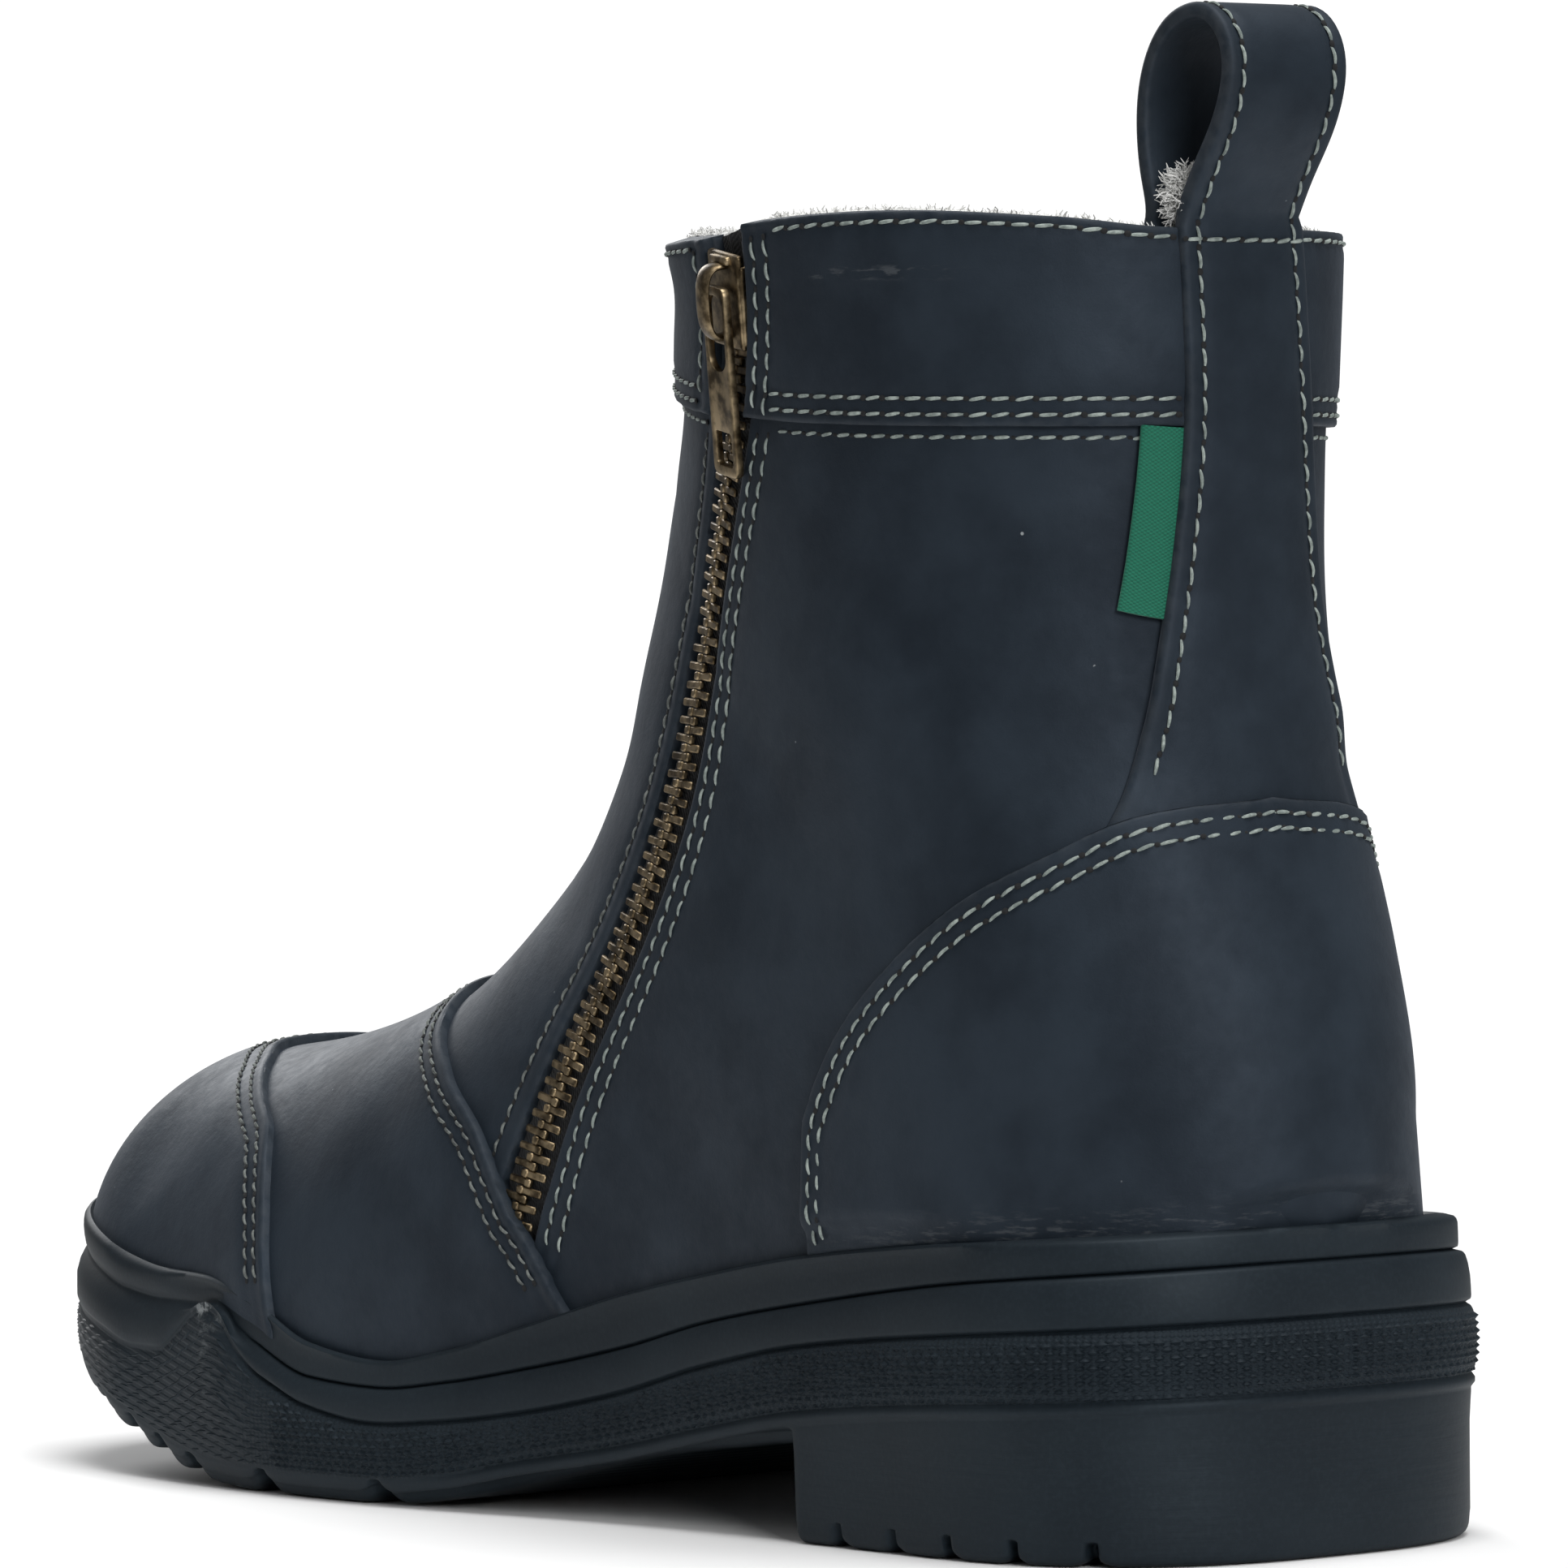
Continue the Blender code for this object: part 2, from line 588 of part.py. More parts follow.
def build_sole(finish):
    """Moulded sole: cup for the upper, lip, bands, arched waist, heel block and tread lugs."""
    rings = [ring(OVERHANG - 1.2, lambda y: keel_height(y) - GAP)]
    for part, gap in CUP_LEVELS:
        rings.append(ring(clear_inset(cup_level(part), gap), cup_level(part)))
    for inset, name, drop in SOLE_WALL.values():
        rings.append(ring(inset, wall_level(name, drop)))
    block = block_inset()
    foot = block + BLOCK_TAPER
    rings.append(ring(block, shoulder_level))
    rings.append(ring(foot, lambda y: tread_height(y) + EDGE_ROUND))
    rings.append(ring(foot + EDGE_ROUND, tread_height))
    vertices, faces = loft(rings, len(STATIONS))
    sole = add_object("sole_unit", vertices, faces, finish)
    slots = sole.modifiers.new("lug_slots", "BOOLEAN")
    slots.operation = "DIFFERENCE"
    slots.solver = "EXACT"
    slots.object = lug_cutters()
    return sole


def build_insole(finish):
    """Insole board on the floor of the sole, inside the upper's wall."""
    inset = OVERHANG + WALL + 2.0
    low = 0.1
    top = ring(inset, lambda y: keel_height(y) + low + INSOLE_THICK)
    under = ring(inset, lambda y: keel_height(y) + low)
    vertices, faces = loft([top, under], len(STATIONS))
    return add_object("insole", vertices, faces, finish)


# Upper

def section_rows():
    """Section places: a few rows between table rows, closer where the heel and toe turn."""
    rows = []
    names = list(SECTIONS)
    for name, after in zip(names, names[1:]):
        start, end = OUTER.places[name], OUTER.places[after]
        if after == "heel_corner":
            parts = (0.0, 0.2, 0.38, 0.54, 0.68, 0.8, 0.89, 0.95, 0.985)
        elif name in ("toe_tip", "toe_wall", "heel_corner"):
            parts = (0.0, 0.33, 0.66)
        else:
            parts = (0.0, 0.5)
        rows += [start + (end - start) * part for part in parts]
    return np.array(rows + [1.0])


def side_curve(line):
    """Curve through the (y, z) points of a seam, as y at a height, held past its ends."""
    table = np.array(sorted(line, key=lambda place: place[1]))
    y, z = table[:, 0], table[:, 1]
    return lambda at: spline(z, y, np.clip(at, z[0], z[-1]))


def seam_share(s, seam):
    """Share at which each section crosses a seam drawn in side view, on the lateral side."""
    values = OUTER.section(s)
    low, high = np.zeros(np.shape(s)), np.ones(np.shape(s))
    for _ in range(40):
        middle = 0.5 * (low + high)
        y = values[..., 0] + (values[..., 2] - values[..., 0]) * middle
        z = values[..., 1] + (values[..., 3] - values[..., 1]) * middle
        ahead = y < seam(z)
        low = np.where(ahead, middle, low)
        high = np.where(ahead, high, middle)
    return OUTER.share_at(s, 0.5 * (low + high), 1)


ZIP_CURVE = side_curve(ZIP_LINE)
ZIP_FOOT = OUTER.locate(*ZIP_LINE[-1])[0]


def zip_share(s):
    """Share of the zip's centre line at a section, held below its foot."""
    return seam_share(np.maximum(s, ZIP_FOOT), ZIP_CURVE)


def zip_edge(s, offset):
    """Share of a line beside the zip at a sideways offset in millimetres, positive towards the heel."""
    s = np.asarray(s, float)
    centre = zip_share(s)
    tiny = 0.004
    across = OUTER.point(s, centre + tiny) - OUTER.point(s, centre - tiny)
    along = OUTER.point(np.minimum(s + tiny, 1.0), zip_share(np.minimum(s + tiny, 1.0)))
    along = along - OUTER.point(np.maximum(s - tiny, 0.0), zip_share(np.maximum(s - tiny, 0.0)))
    along = along / np.linalg.norm(along, axis=-1, keepdims=True)
    square = across - np.sum(across * along, axis=-1, keepdims=True) * along
    return centre + offset * 2.0 * tiny / np.linalg.norm(square, axis=-1)


def build_upper(finish):
    """Hollow upper: one wall of leather and fleece, open at the collar, along the zip and underneath."""
    rows = section_rows()
    slot_start = ZIP_FOOT
    rows = np.sort(np.append(rows[np.abs(rows - slot_start) > 0.004], slot_start))
    front = np.linspace(0.0, 1.0, 5)
    back = np.linspace(0.0, 1.0, 8)
    shares = []
    for s in rows:
        low, high = float(zip_edge(s, -ZIP_SLOT / 2)), float(zip_edge(s, ZIP_SLOT / 2))
        high = min(high, 0.9)
        lateral = np.concatenate([low * front, high + (1.0 - high) * back])
        medial = -np.linspace(0.0, 1.0, 11)[1:]
        shares.append(np.concatenate([lateral[::-1], medial]))
    shares = np.array(shares)
    slot_column = len(back) - 1
    slot_row = int(np.argmin(np.abs(rows - slot_start)))
    skip = {(0, i, slot_column) for i in range(slot_row, len(rows) - 1)}
    grid = (rows[:, None], shares)
    return thick_patch("upper", [OUTER.point(*grid)], [Form(WALL).point(*grid)], finish, skip)


def edge_sections(edge):
    """Section along a seam that crosses the foot, as lip share to section tables for both sides."""
    tables = {}
    for side in (1, -1):
        places = []
        for y, z in edge:
            s, share = OUTER.locate(y, z, side)
            places.append((abs(share) / max(float(lip_share(s, side)), 1e-3), s))
        places.sort()
        tables[side] = (np.array([p[0] for p in places]), np.array([p[1] for p in places]))
    return tables


def seam_section(tables, across):
    """Section of a seam at a share across the foot, from -1 (medial lip) to 1 (lateral lip)."""
    across = np.asarray(across, float)
    found = []
    for side in (1, -1):
        knots, values = tables[side]
        found.append(monotone(knots, values, np.abs(across)))
    return np.where(across >= 0, found[0], found[1])


def across_shares(s, across):
    """Shares of points set across the foot between the two lip lines."""
    return np.where(across >= 0, across * lip_share(s, 1), across * lip_share(s, -1))


def front_overlay(name, first, last, finish, rows, crowd=1.0):
    """Overlay across the toe or vamp between two seams."""
    across = np.linspace(-1.0, 1.0, 17)
    start = first(across)
    end = last(across)
    s = start[None, :] + (end - start)[None, :] * np.linspace(0.0, 1.0, rows)[:, None] ** crowd
    return overlay(name, [(s, across_shares(s, np.broadcast_to(across, s.shape)))], finish, FRONT_GAP)


def build_front_overlays(finish):
    """Toe cap and vamp, each standing proud of the upper behind the one before it."""
    toe_start = float(DENSE[np.flatnonzero(LIP_SHARES[1] > 0.0)[0]]) + 0.004
    cap = edge_sections(CAP_EDGE)
    vamp = edge_sections(VAMP_EDGE)
    seam = OVERLAY_SEAM / 500.0

    def cap_front(across):
        return np.full(across.shape, toe_start)

    def cap_rear(across):
        return seam_section(cap, across)

    def vamp_front(across):
        return seam_section(cap, across) + seam

    def vamp_rear(across):
        return seam_section(vamp, across)

    front_overlay("toe_cap", cap_front, cap_rear, finish, 9, 1.8)
    front_overlay("vamp", vamp_front, vamp_rear, finish, 7)


def counter_top():
    """Section at which the counter's edge reaches the back line."""
    back = DENSE[DENSE > OUTER.corner]
    return float(np.interp(COUNTER_TOP_Z, OUTER.section(back)[:, 3], back))


def build_counter(finish):
    """Heel counter wrapped round the heel from lip to lip."""
    first, top = OUTER.locate(*COUNTER_EDGE[0])[0], counter_top()
    back_end = (float(OUTER.section(top)[2]), COUNTER_TOP_Z)
    lip_end = float(DENSE[np.flatnonzero(LIP_SHARES[1] >= 1.0)[0]])
    rows = section_rows()
    turn = OUTER.places["heel_back"]
    between = rows[(rows > first + 0.004) & (rows < turn)]
    rise = turn + (top - turn) * np.sin(np.linspace(0.0, math.pi / 2, 12)[:-1])
    s = np.unique(np.concatenate([[first, lip_end], between, rise]))
    inner = seam_share(s, side_curve((*COUNTER_EDGE, back_end)))
    cells = []
    for side, part in ((1, np.linspace(0.0, 1.0, 8)), (-1, np.linspace(1.0, 0.0, 8))):
        outer = np.where(s >= lip_end, 1.0, lip_share(s, side))
        own = np.minimum(inner, outer - 0.004)
        cells.append((s[:, None], side * (own[:, None] + (outer - own)[:, None] * part[None, :])))
    return overlay("heel_counter", cells, finish, BACK_GAP)


def strap_half(z):
    """Half width of the back strap at a height."""
    table = np.array(STRAP_HALF_WIDTHS)
    return monotone(table[:, 0], table[:, 1], z)


def strap_rows():
    """Sections and keel heights of the strap from the counter to the collar."""
    s = np.linspace(counter_top() + 0.006, 1.0, 15)
    return s, OUTER.section(s)[:, 3]


def loop_path():
    """Centre line of the pull loop in side view, from the collar up, over and down inside the back."""
    outside = Form(-OVERLAY_GAP - STRAP_THICK / 2).point(1.0, 1.0)
    inside = Form(WALL + 3.0 * GAP + STRAP_THICK / 2).point(1.0, 1.0)
    radius = LOOP_DEPTH / 2.0
    top_y = outside[1] + LOOP_LEAN - radius
    top_z = outside[2] + LOOP_HEIGHT - radius
    points = [(outside[1] + 0.3, outside[2] + 3.0), (outside[1] + 1.6, outside[2] + 10.0)]
    for angle in np.radians(np.linspace(-8.0, 190.0, 13)):
        points.append((top_y + radius * math.cos(angle), top_z + radius * math.sin(angle)))
    points += [(inside[1] - 2.2, inside[2] + 9.0), (inside[1] - 0.2, inside[2] + 2.5)]
    points += [(inside[1], inside[2] - 3.0), (inside[1], inside[2] - LOOP_TAIL)]
    return np.array(points)


def build_strap(finish):
    """Back strap up the heel seam with its pull loop, one strip from the counter to the inside of the collar."""
    s, keel = strap_rows()
    part = np.linspace(-1.0, 1.0, 7)
    half = strap_half(keel)
    shares = np.array([OUTER.strap_share(v, np.abs(part) * h) for v, h in zip(s, half)])
    sides = np.where(part < 0, -1.0, 1.0)
    grid = (s[:, None], shares * sides[None, :])
    outer = Form(-OVERLAY_GAP - STRAP_THICK).point(*grid)
    inner = Form(-OVERLAY_GAP).point(*grid)
    path = loop_path()
    run = np.gradient(path, axis=0)
    run = run / np.linalg.norm(run, axis=1, keepdims=True)
    out = np.stack([run[:, 1], -run[:, 0]], axis=1) * STRAP_THICK / 2.0
    rise = np.clip((path[:, 1] - path[-3, 1]) / LOOP_HEIGHT, 0.0, 1.0)
    bow = LOOP_BOW * (1.0 - rise) ** 2
    widths = half[-1] * (1.0 - LOOP_NARROWING * rise)

    def swept(line):
        rows = []
        for (y, z), bend, width in zip(line, bow, widths):
            rows.append([(x, y - bend * x * x, z) for x in width * part])
        return np.array(rows)

    outer_loop, inner_loop = swept(path + out), swept(path - out)
    return thick_patch("back_strap", [np.vstack([outer, outer_loop])], [np.vstack([inner, inner_loop])], finish)


def band_section(share):
    """Section where the collar band's lower edge crosses a line of constant share."""
    found = []
    for value in np.atleast_1d(share):
        line = OUTER.point(DENSE, value)
        upper_part = DENSE > OUTER.corner
        collar = OUTER.point(1.0, value)[2]
        found.append(np.interp(collar - BAND_DEPTH, line[upper_part, 2], DENSE[upper_part]))
    return np.array(found)


def collar_band(name, start_share, end_share, columns, base, finish):
    """Band round the collar between two upright edges, each a function of the section."""
    part = np.linspace(0.0, 1.0, columns)
    level = 0.98
    first, last = float(start_share(level)), float(end_share(level))
    low = band_section(first + (last - first) * part)
    s = low[None, :] + (1.0 - low)[None, :] * np.linspace(0.0, 1.0, 5)[:, None]
    first, last = start_share(s), end_share(s)
    return overlay(name, [(s, first + (last - first) * part[None, :])], finish, base)


def build_bands(finish):
    """Collar band in two lengths: zip to strap on the outer side, and strap round the front to the zip."""
    edge = ZIP_SLOT / 2 + 0.4
    clear = OUTER.strap_share(1.0, STRAP_HALF_WIDTHS[-1][1] + 2.0)

    def strap_edge(s):
        return np.full(np.shape(s), clear)

    collar_band("collar_band_outer", lambda s: zip_edge(s, edge), strap_edge, 11, OVERLAY_GAP, finish)
    collar_band("collar_band_front", lambda s: -strap_edge(s), lambda s: zip_edge(s, -edge), 27, BAND_GAP, finish)


# Zip

def zip_strip(name, width, low, thick, start, end, rows, finish):
    """Strip along the zip between two depths below the leather's face."""
    s = np.linspace(start, end, rows)[:, None]
    part = np.linspace(-0.5, 0.5, 3)
    shares = np.concatenate([zip_edge(s, width * p) for p in part], axis=1)
    top, under = Form(low - thick), Form(low)
    return thick_patch(name, [top.point(s, shares)], [under.point(s, shares)], finish)


def zip_frame(s, depth):
    """Frame on the zip at a section: x across to the heel side, y up the zip, z out of the leather."""
    form = Form(depth)
    tiny = 0.004
    here = form.point(s, float(zip_share(s)))
    up = form.point(s + tiny, float(zip_share(s + tiny))) - form.point(s - tiny, float(zip_share(s - tiny)))
    across = form.point(s, float(zip_share(s)) + tiny) - form.point(s, float(zip_share(s)) - tiny)
    up = Vector(up).normalized()
    out = Vector(across).cross(up)
    if out.x < 0:
        out.negate()
    out.normalize()
    across = up.cross(out)
    frame = Matrix((across, up, out)).transposed().to_4x4()
    frame.translation = Vector(here) * MM
    return frame


def slab(bounds, bevel, segments=2):
    """Bevelled block between two corners, as a new bmesh in millimetres."""
    low, high = np.array(bounds[0], float), np.array(bounds[1], float)
    block = bmesh.new()
    centre = Vector((low + high) / 2.0)
    size = Matrix.Diagonal((*(high - low), 1.0))
    bmesh.ops.create_cube(block, size=1.0, matrix=Matrix.Translation(centre) @ size)
    bmesh.ops.bevel(block, geom=block.edges, offset=bevel, segments=segments, affect="EDGES", profile=0.5)
    return block


def place_block(name, block, frame, finish, hidden=False):
    """Object from a millimetre bmesh in a local frame."""
    bmesh.ops.scale(block, vec=(MM, MM, MM), verts=block.verts)
    mesh = bpy.data.meshes.new(name)
    block.to_mesh(mesh)
    block.free()
    mesh.shade_smooth()
    mesh.set_sharp_from_angle(angle=math.radians(35.0))
    mesh.materials.append(finish)
    made = bpy.data.objects.new(name, mesh)
    bpy.context.collection.objects.link(made)
    made.matrix_world = frame
    if hidden:
        made.hide_render = True
        made.display_type = "WIRE"
    return made


def boolean(target, tool, operation):
    """Exact Boolean between two objects, kept as a modifier."""
    step = target.modifiers.new(tool.name, "BOOLEAN")
    step.operation = operation
    step.solver = "EXACT"
    step.object = tool


SLIDER_DROP = 8.5
SLIDER_HALF_LENGTH = 6.5
SLIDER_HALF_WIDTH = 4.6
SLIDER_THICK = 3.4
CROWN_RISE = 3.4
CROWN_HALF_WIDTH = 1.8
CROWN_HALF_LENGTH = 4.6
BAR_HOLE = (2.8, 2.4)
BAR_PLACE = 1.6
PULL_LENGTH = 25.5
PULL_HALF_WIDTH = 3.4
PULL_THICK = 1.2
PULL_EYE = (2.3, 11.0)
PULL_WINDOW = (2.0, 1.4, 6.2)
CUT_REACH = 3.0


def slider_section():
    """Section at which the slider rests, a little below the collar."""
    line = OUTER.point(DENSE, zip_share(DENSE))
    upper_part = DENSE > OUTER.corner
    top = OUTER.point(1.0, float(zip_share(1.0)))[2]
    return float(np.interp(top - SLIDER_DROP, line[upper_part, 2], DENSE[upper_part]))


def build_zip(tape_finish, metal_finish):
    """Tape, closed chain, slider with its crown, and the hinged pull tab."""
    place = slider_section()
    bottom = ZIP_FOOT + 0.006
    zip_strip("zip_tape", ZIP_SLOT - 3.4, 3.4, TAPE_THICK, bottom, 0.999, 26, tape_finish)
    frame = zip_frame(place, 1.9)
    below = zip_frame(place - 0.05, 1.9).translation - frame.translation
    chain_end = place - 0.05 * (SLIDER_HALF_LENGTH + 1.2) * MM / below.length
    zip_strip("zip_chain", CHAIN_WIDTH, 1.9, CHAIN_THICK, bottom + 0.002, chain_end, 24, metal_finish)

    low = (-SLIDER_HALF_WIDTH, -SLIDER_HALF_LENGTH, 0.1)
    high = (SLIDER_HALF_WIDTH, SLIDER_HALF_LENGTH, SLIDER_THICK)
    slider = place_block("zip_slider", slab((low, high), 0.9), frame, metal_finish)
    crown_low = (-CROWN_HALF_WIDTH, -CROWN_HALF_LENGTH, SLIDER_THICK - 0.5)
    crown_high = (CROWN_HALF_WIDTH, CROWN_HALF_LENGTH, SLIDER_THICK + CROWN_RISE)
    crown = place_block("slider_crown", slab((crown_low, crown_high), 0.8), frame, metal_finish, True)
    boolean(slider, crown, "UNION")
    hole_low = (-6.0, BAR_PLACE - BAR_HOLE[0] / 2, SLIDER_THICK + 0.1)
    hole_high = (6.0, BAR_PLACE + BAR_HOLE[0] / 2, SLIDER_THICK + 0.1 + BAR_HOLE[1])
    hole = place_block("crown_hole", slab((hole_low, hole_high), 0.3, 1), frame, metal_finish, True)
    boolean(slider, hole, "DIFFERENCE")

    axis_height = SLIDER_THICK + 0.1 + BAR_HOLE[1] / 2
    hinge = frame @ Matrix.Translation(Vector((0.0, BAR_PLACE, axis_height)) * MM)
    plate_low = (-PULL_HALF_WIDTH, -PULL_LENGTH, -PULL_THICK / 2)
    plate_high = (PULL_HALF_WIDTH, PULL_THICK / 2, PULL_THICK / 2)
    pull = place_block("zip_pull", slab((plate_low, plate_high), 0.35, 1), hinge, metal_finish)
    half, deep = PULL_EYE
    eye = ((-half, -deep, -CUT_REACH), (half, -PULL_THICK / 2 - 0.05, CUT_REACH))
    half, start, end = PULL_WINDOW
    window = ((-half, start - PULL_LENGTH, -CUT_REACH), (half, end - PULL_LENGTH, CUT_REACH))
    for label, bounds in (("pull_eye", eye), ("pull_window", window)):
        tool = place_block(label, slab(bounds, 0.5, 2), hinge, metal_finish, True)
        boolean(pull, tool, "DIFFERENCE")


def build_label(finish):
    """Bare folded label tab caught in the strap's seam on the outer side."""
    back = DENSE[DENSE > OUTER.corner]
    seam = OUTER.point(back, OUTER.strap_share(back, strap_half(OUTER.section(back)[:, 3])))
    low, high = np.interp((LABEL_TOP_Z - LABEL_LENGTH, LABEL_TOP_Z), seam[:, 2], back)
    s = np.linspace(low, high, 5)[:, None]
    half = strap_half(OUTER.section(s)[..., 3])
    near = OUTER.strap_share(s, half + GAP + 0.3)
    far = OUTER.strap_share(s, half + LABEL_WIDTH)
    shares = np.concatenate([near, 0.5 * (near + far), far], axis=1)
    return overlay("label_tab", [(s, shares)], finish, BACK_GAP, LABEL_THICK)


def main():
    """Build every piece of the boot."""
    for old in list(bpy.data.objects):
        bpy.data.objects.remove(old)
    leather = material("navy_black_leather", (0.016, 0.020, 0.026), 0.62)
    rubber = material("black_rubber", (0.016, 0.021, 0.026), 0.55)
    fleece = material("pale_fleece", (0.55, 0.55, 0.53), 0.95)
    tape = material("black_zip_tape", (0.012, 0.013, 0.014), 0.9)
    brass = material("antique_brass", (0.22, 0.17, 0.09), 0.42, 0.9)
    ribbon = material("green_ribbon", (0.004, 0.16, 0.09), 0.75)
    build_sole(rubber)
    build_insole(fleece)
    build_upper(leather)
    build_front_overlays(leather)
    build_counter(leather)
    build_strap(leather)
    build_bands(leather)
    build_zip(tape, brass)
    build_label(ribbon)


main()
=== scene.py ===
"""Zip jodhpur boot, left foot: its leather, rubber, fleece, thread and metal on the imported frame.

Shapes are worked out in millimetres, with the toe at -Y, the outer side at +X and +Z up, and become
metres when a mesh is made.
"""
import logging
import math
from collections.abc import Callable, Sequence
from dataclasses import astuple, dataclass, field
from enum import Enum

import bmesh
import bpy
import numpy as np
from mathutils import Matrix, Vector
from mathutils.kdtree import KDTree


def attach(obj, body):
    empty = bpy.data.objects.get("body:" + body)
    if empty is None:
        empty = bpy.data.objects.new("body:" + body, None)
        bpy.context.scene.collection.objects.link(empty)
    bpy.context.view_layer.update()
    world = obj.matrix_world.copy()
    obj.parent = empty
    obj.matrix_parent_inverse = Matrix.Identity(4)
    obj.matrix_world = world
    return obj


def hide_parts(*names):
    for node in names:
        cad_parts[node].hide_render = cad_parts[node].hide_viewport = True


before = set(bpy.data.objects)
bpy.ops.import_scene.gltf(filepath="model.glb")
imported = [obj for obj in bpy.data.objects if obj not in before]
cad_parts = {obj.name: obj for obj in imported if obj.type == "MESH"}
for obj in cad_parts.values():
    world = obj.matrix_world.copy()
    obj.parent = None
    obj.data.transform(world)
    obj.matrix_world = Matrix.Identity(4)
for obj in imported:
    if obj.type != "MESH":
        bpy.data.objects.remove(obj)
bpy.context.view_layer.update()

MM = 0.001
LOG = logging.getLogger("jodhpur_boot")
Array = np.ndarray
Colour = tuple[float, float, float]
Places = tuple[tuple[float, float], ...]
Material, Piece, Socket = bpy.types.Material, bpy.types.Object, bpy.types.NodeSocket
Shape = bmesh.types.BMesh
THREAD_LIFT = 0.12
WEAR_REACH = 0.7


class Body(Enum):
    """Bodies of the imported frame."""

    BOOT = "boot"
    PULL = "zip_pull"


class Slot(Enum):
    """Material slots of the record."""

    LEATHER = "leather"
    RUBBER = "rubber"
    FLEECE = "fleece"
    TAPE = "zip_tape"
    BRASS = "brass"
    RIBBON = "ribbon"


class Side(Enum):
    """Sides of the foot."""

    LATERAL = 1
    MEDIAL = -1


# Curves

def natural(knots: Sequence[float], values: Array, where: Array) -> Array:
    """Natural cubic spline.

    Args:
        knots: rising places of the values.
        values: one row for each knot.
        where: places to read.

    Returns:
        The curve at each place.
    """
    knots, values, where = (np.asarray(given, float) for given in (knots, values, where))
    count, step = len(knots), np.diff(knots)
    flat = values.reshape(count, -1)
    system, right = np.eye(count), np.zeros_like(flat)
    for i in range(1, count - 1):
        system[i, i - 1:i + 2] = step[i - 1], 2 * (step[i - 1] + step[i]), step[i]
        right[i] = 6 * ((flat[i + 1] - flat[i]) / step[i] - (flat[i] - flat[i - 1]) / step[i - 1])
    bend = np.linalg.solve(system, right)
    k = np.clip(np.searchsorted(knots, where, side="right") - 1, 0, count - 2)
    before, after, span = (v[..., None] for v in (where - knots[k], knots[k + 1] - where, step[k]))
    cubic = (bend[k] * after ** 3 + bend[k + 1] * before ** 3) / (6 * span)
    start = (flat[k] / span - bend[k] * span / 6) * after
    finish = (flat[k + 1] / span - bend[k + 1] * span / 6) * before
    return (cubic + start + finish).reshape(where.shape + values.shape[1:])


def monotone(knots: Sequence[float], values: Array, where: Array) -> Array:
    """Cubic curve that never overshoots its values.

    Args:
        knots: rising places of the values.
        values: one row for each knot.
        where: places to read, held at the ends.

    Returns:
        The curve at each place.
    """
    knots, values = np.asarray(knots, float), np.asarray(values, float)
    where = np.clip(np.asarray(where, float), knots[0], knots[-1])
    step = np.diff(knots).reshape((-1,) + (1,) * (values.ndim - 1))
    slope = np.diff(values, axis=0) / step
    tangent = np.zeros_like(values)
    tangent[0], tangent[-1] = slope[0], slope[-1]
    same = slope[:-1] * slope[1:] > 0
    weight_a, weight_b = 2 * step[1:] + step[:-1], step[1:] + 2 * step[:-1]
    safe_a, safe_b = np.where(same, slope[:-1], 1), np.where(same, slope[1:], 1)
    tangent[1:-1] = np.where(same, (weight_a + weight_b) / (weight_a / safe_a + weight_b / safe_b), 0)
    k = np.clip(np.searchsorted(knots, where, side="right") - 1, 0, len(knots) - 2)
    t = ((where - knots[k]) / np.diff(knots)[k]).reshape(where.shape + (1,) * (values.ndim - 1))
    rise = values[k] * (1 + 2 * t) * (1 - t) ** 2 + values[k + 1] * t * t * (3 - 2 * t)
    return rise + step[k] * (tangent[k] * t * (1 - t) ** 2 - tangent[k + 1] * t * t * (1 - t))


def soft_step(value: Array, low: float, high: float) -> Array:
    """Soft rise from 0 at low to 1 at high."""
    t = np.clip((np.asarray(value, float) - low) / (high - low), 0, 1)
    return t * t * (3 - 2 * t)


def hump(value: Array, middle: float, width: float) -> Array:
    """Soft hump of height one round a middle value."""
    return np.exp(-((value - middle) / width) ** 2)


def rounding(apart: Array, radius: float) -> Array:
    """Drop of a rounded edge at a distance from it."""
    inside = np.clip(apart / radius, 0, 1)
    return radius * (1 - np.sqrt(inside * (2 - inside)))


def unit(vectors: Array) -> Array:
    """Vectors of length one."""
    return vectors / np.maximum(np.linalg.norm(vectors, axis=-1, keepdims=True), 1e-9)


def arc_length(points: Array) -> Array:
    """Distance from the first point along a path."""
    return np.concatenate(([0], np.cumsum(np.linalg.norm(np.diff(points, axis=0), axis=1))))


def at_reach(places: Array, reach: Array, values: Array) -> Array:
    """Rows of values read at distances along a path."""
    return np.stack([np.interp(places, reach, column) for column in values.T], axis=1)


def frames_at(points: Array, normals: Array, places: Array, window: float) -> tuple[Array, Array, Array]:
    """Spots on a path with their directions.

    Args:
        points: closely spaced points of the path.
        normals: directions out of the surface there.
        places: distances from the first point.
        window: half the length over which a run is read.

    Returns:
        Spots, directions along the path and directions out.
    """
    reach = arc_length(points)
    run = at_reach(places + window, reach, points) - at_reach(places - window, reach, points)
    return at_reach(places, reach, points), unit(run), unit(at_reach(places, reach, normals))


def smooth_path(places: Sequence[Sequence[float]], count: int) -> Array:
    """Even points of a smooth curve through places."""
    reach = arc_length(np.array(places))
    return natural(reach, places, np.linspace(0, reach[-1], count))


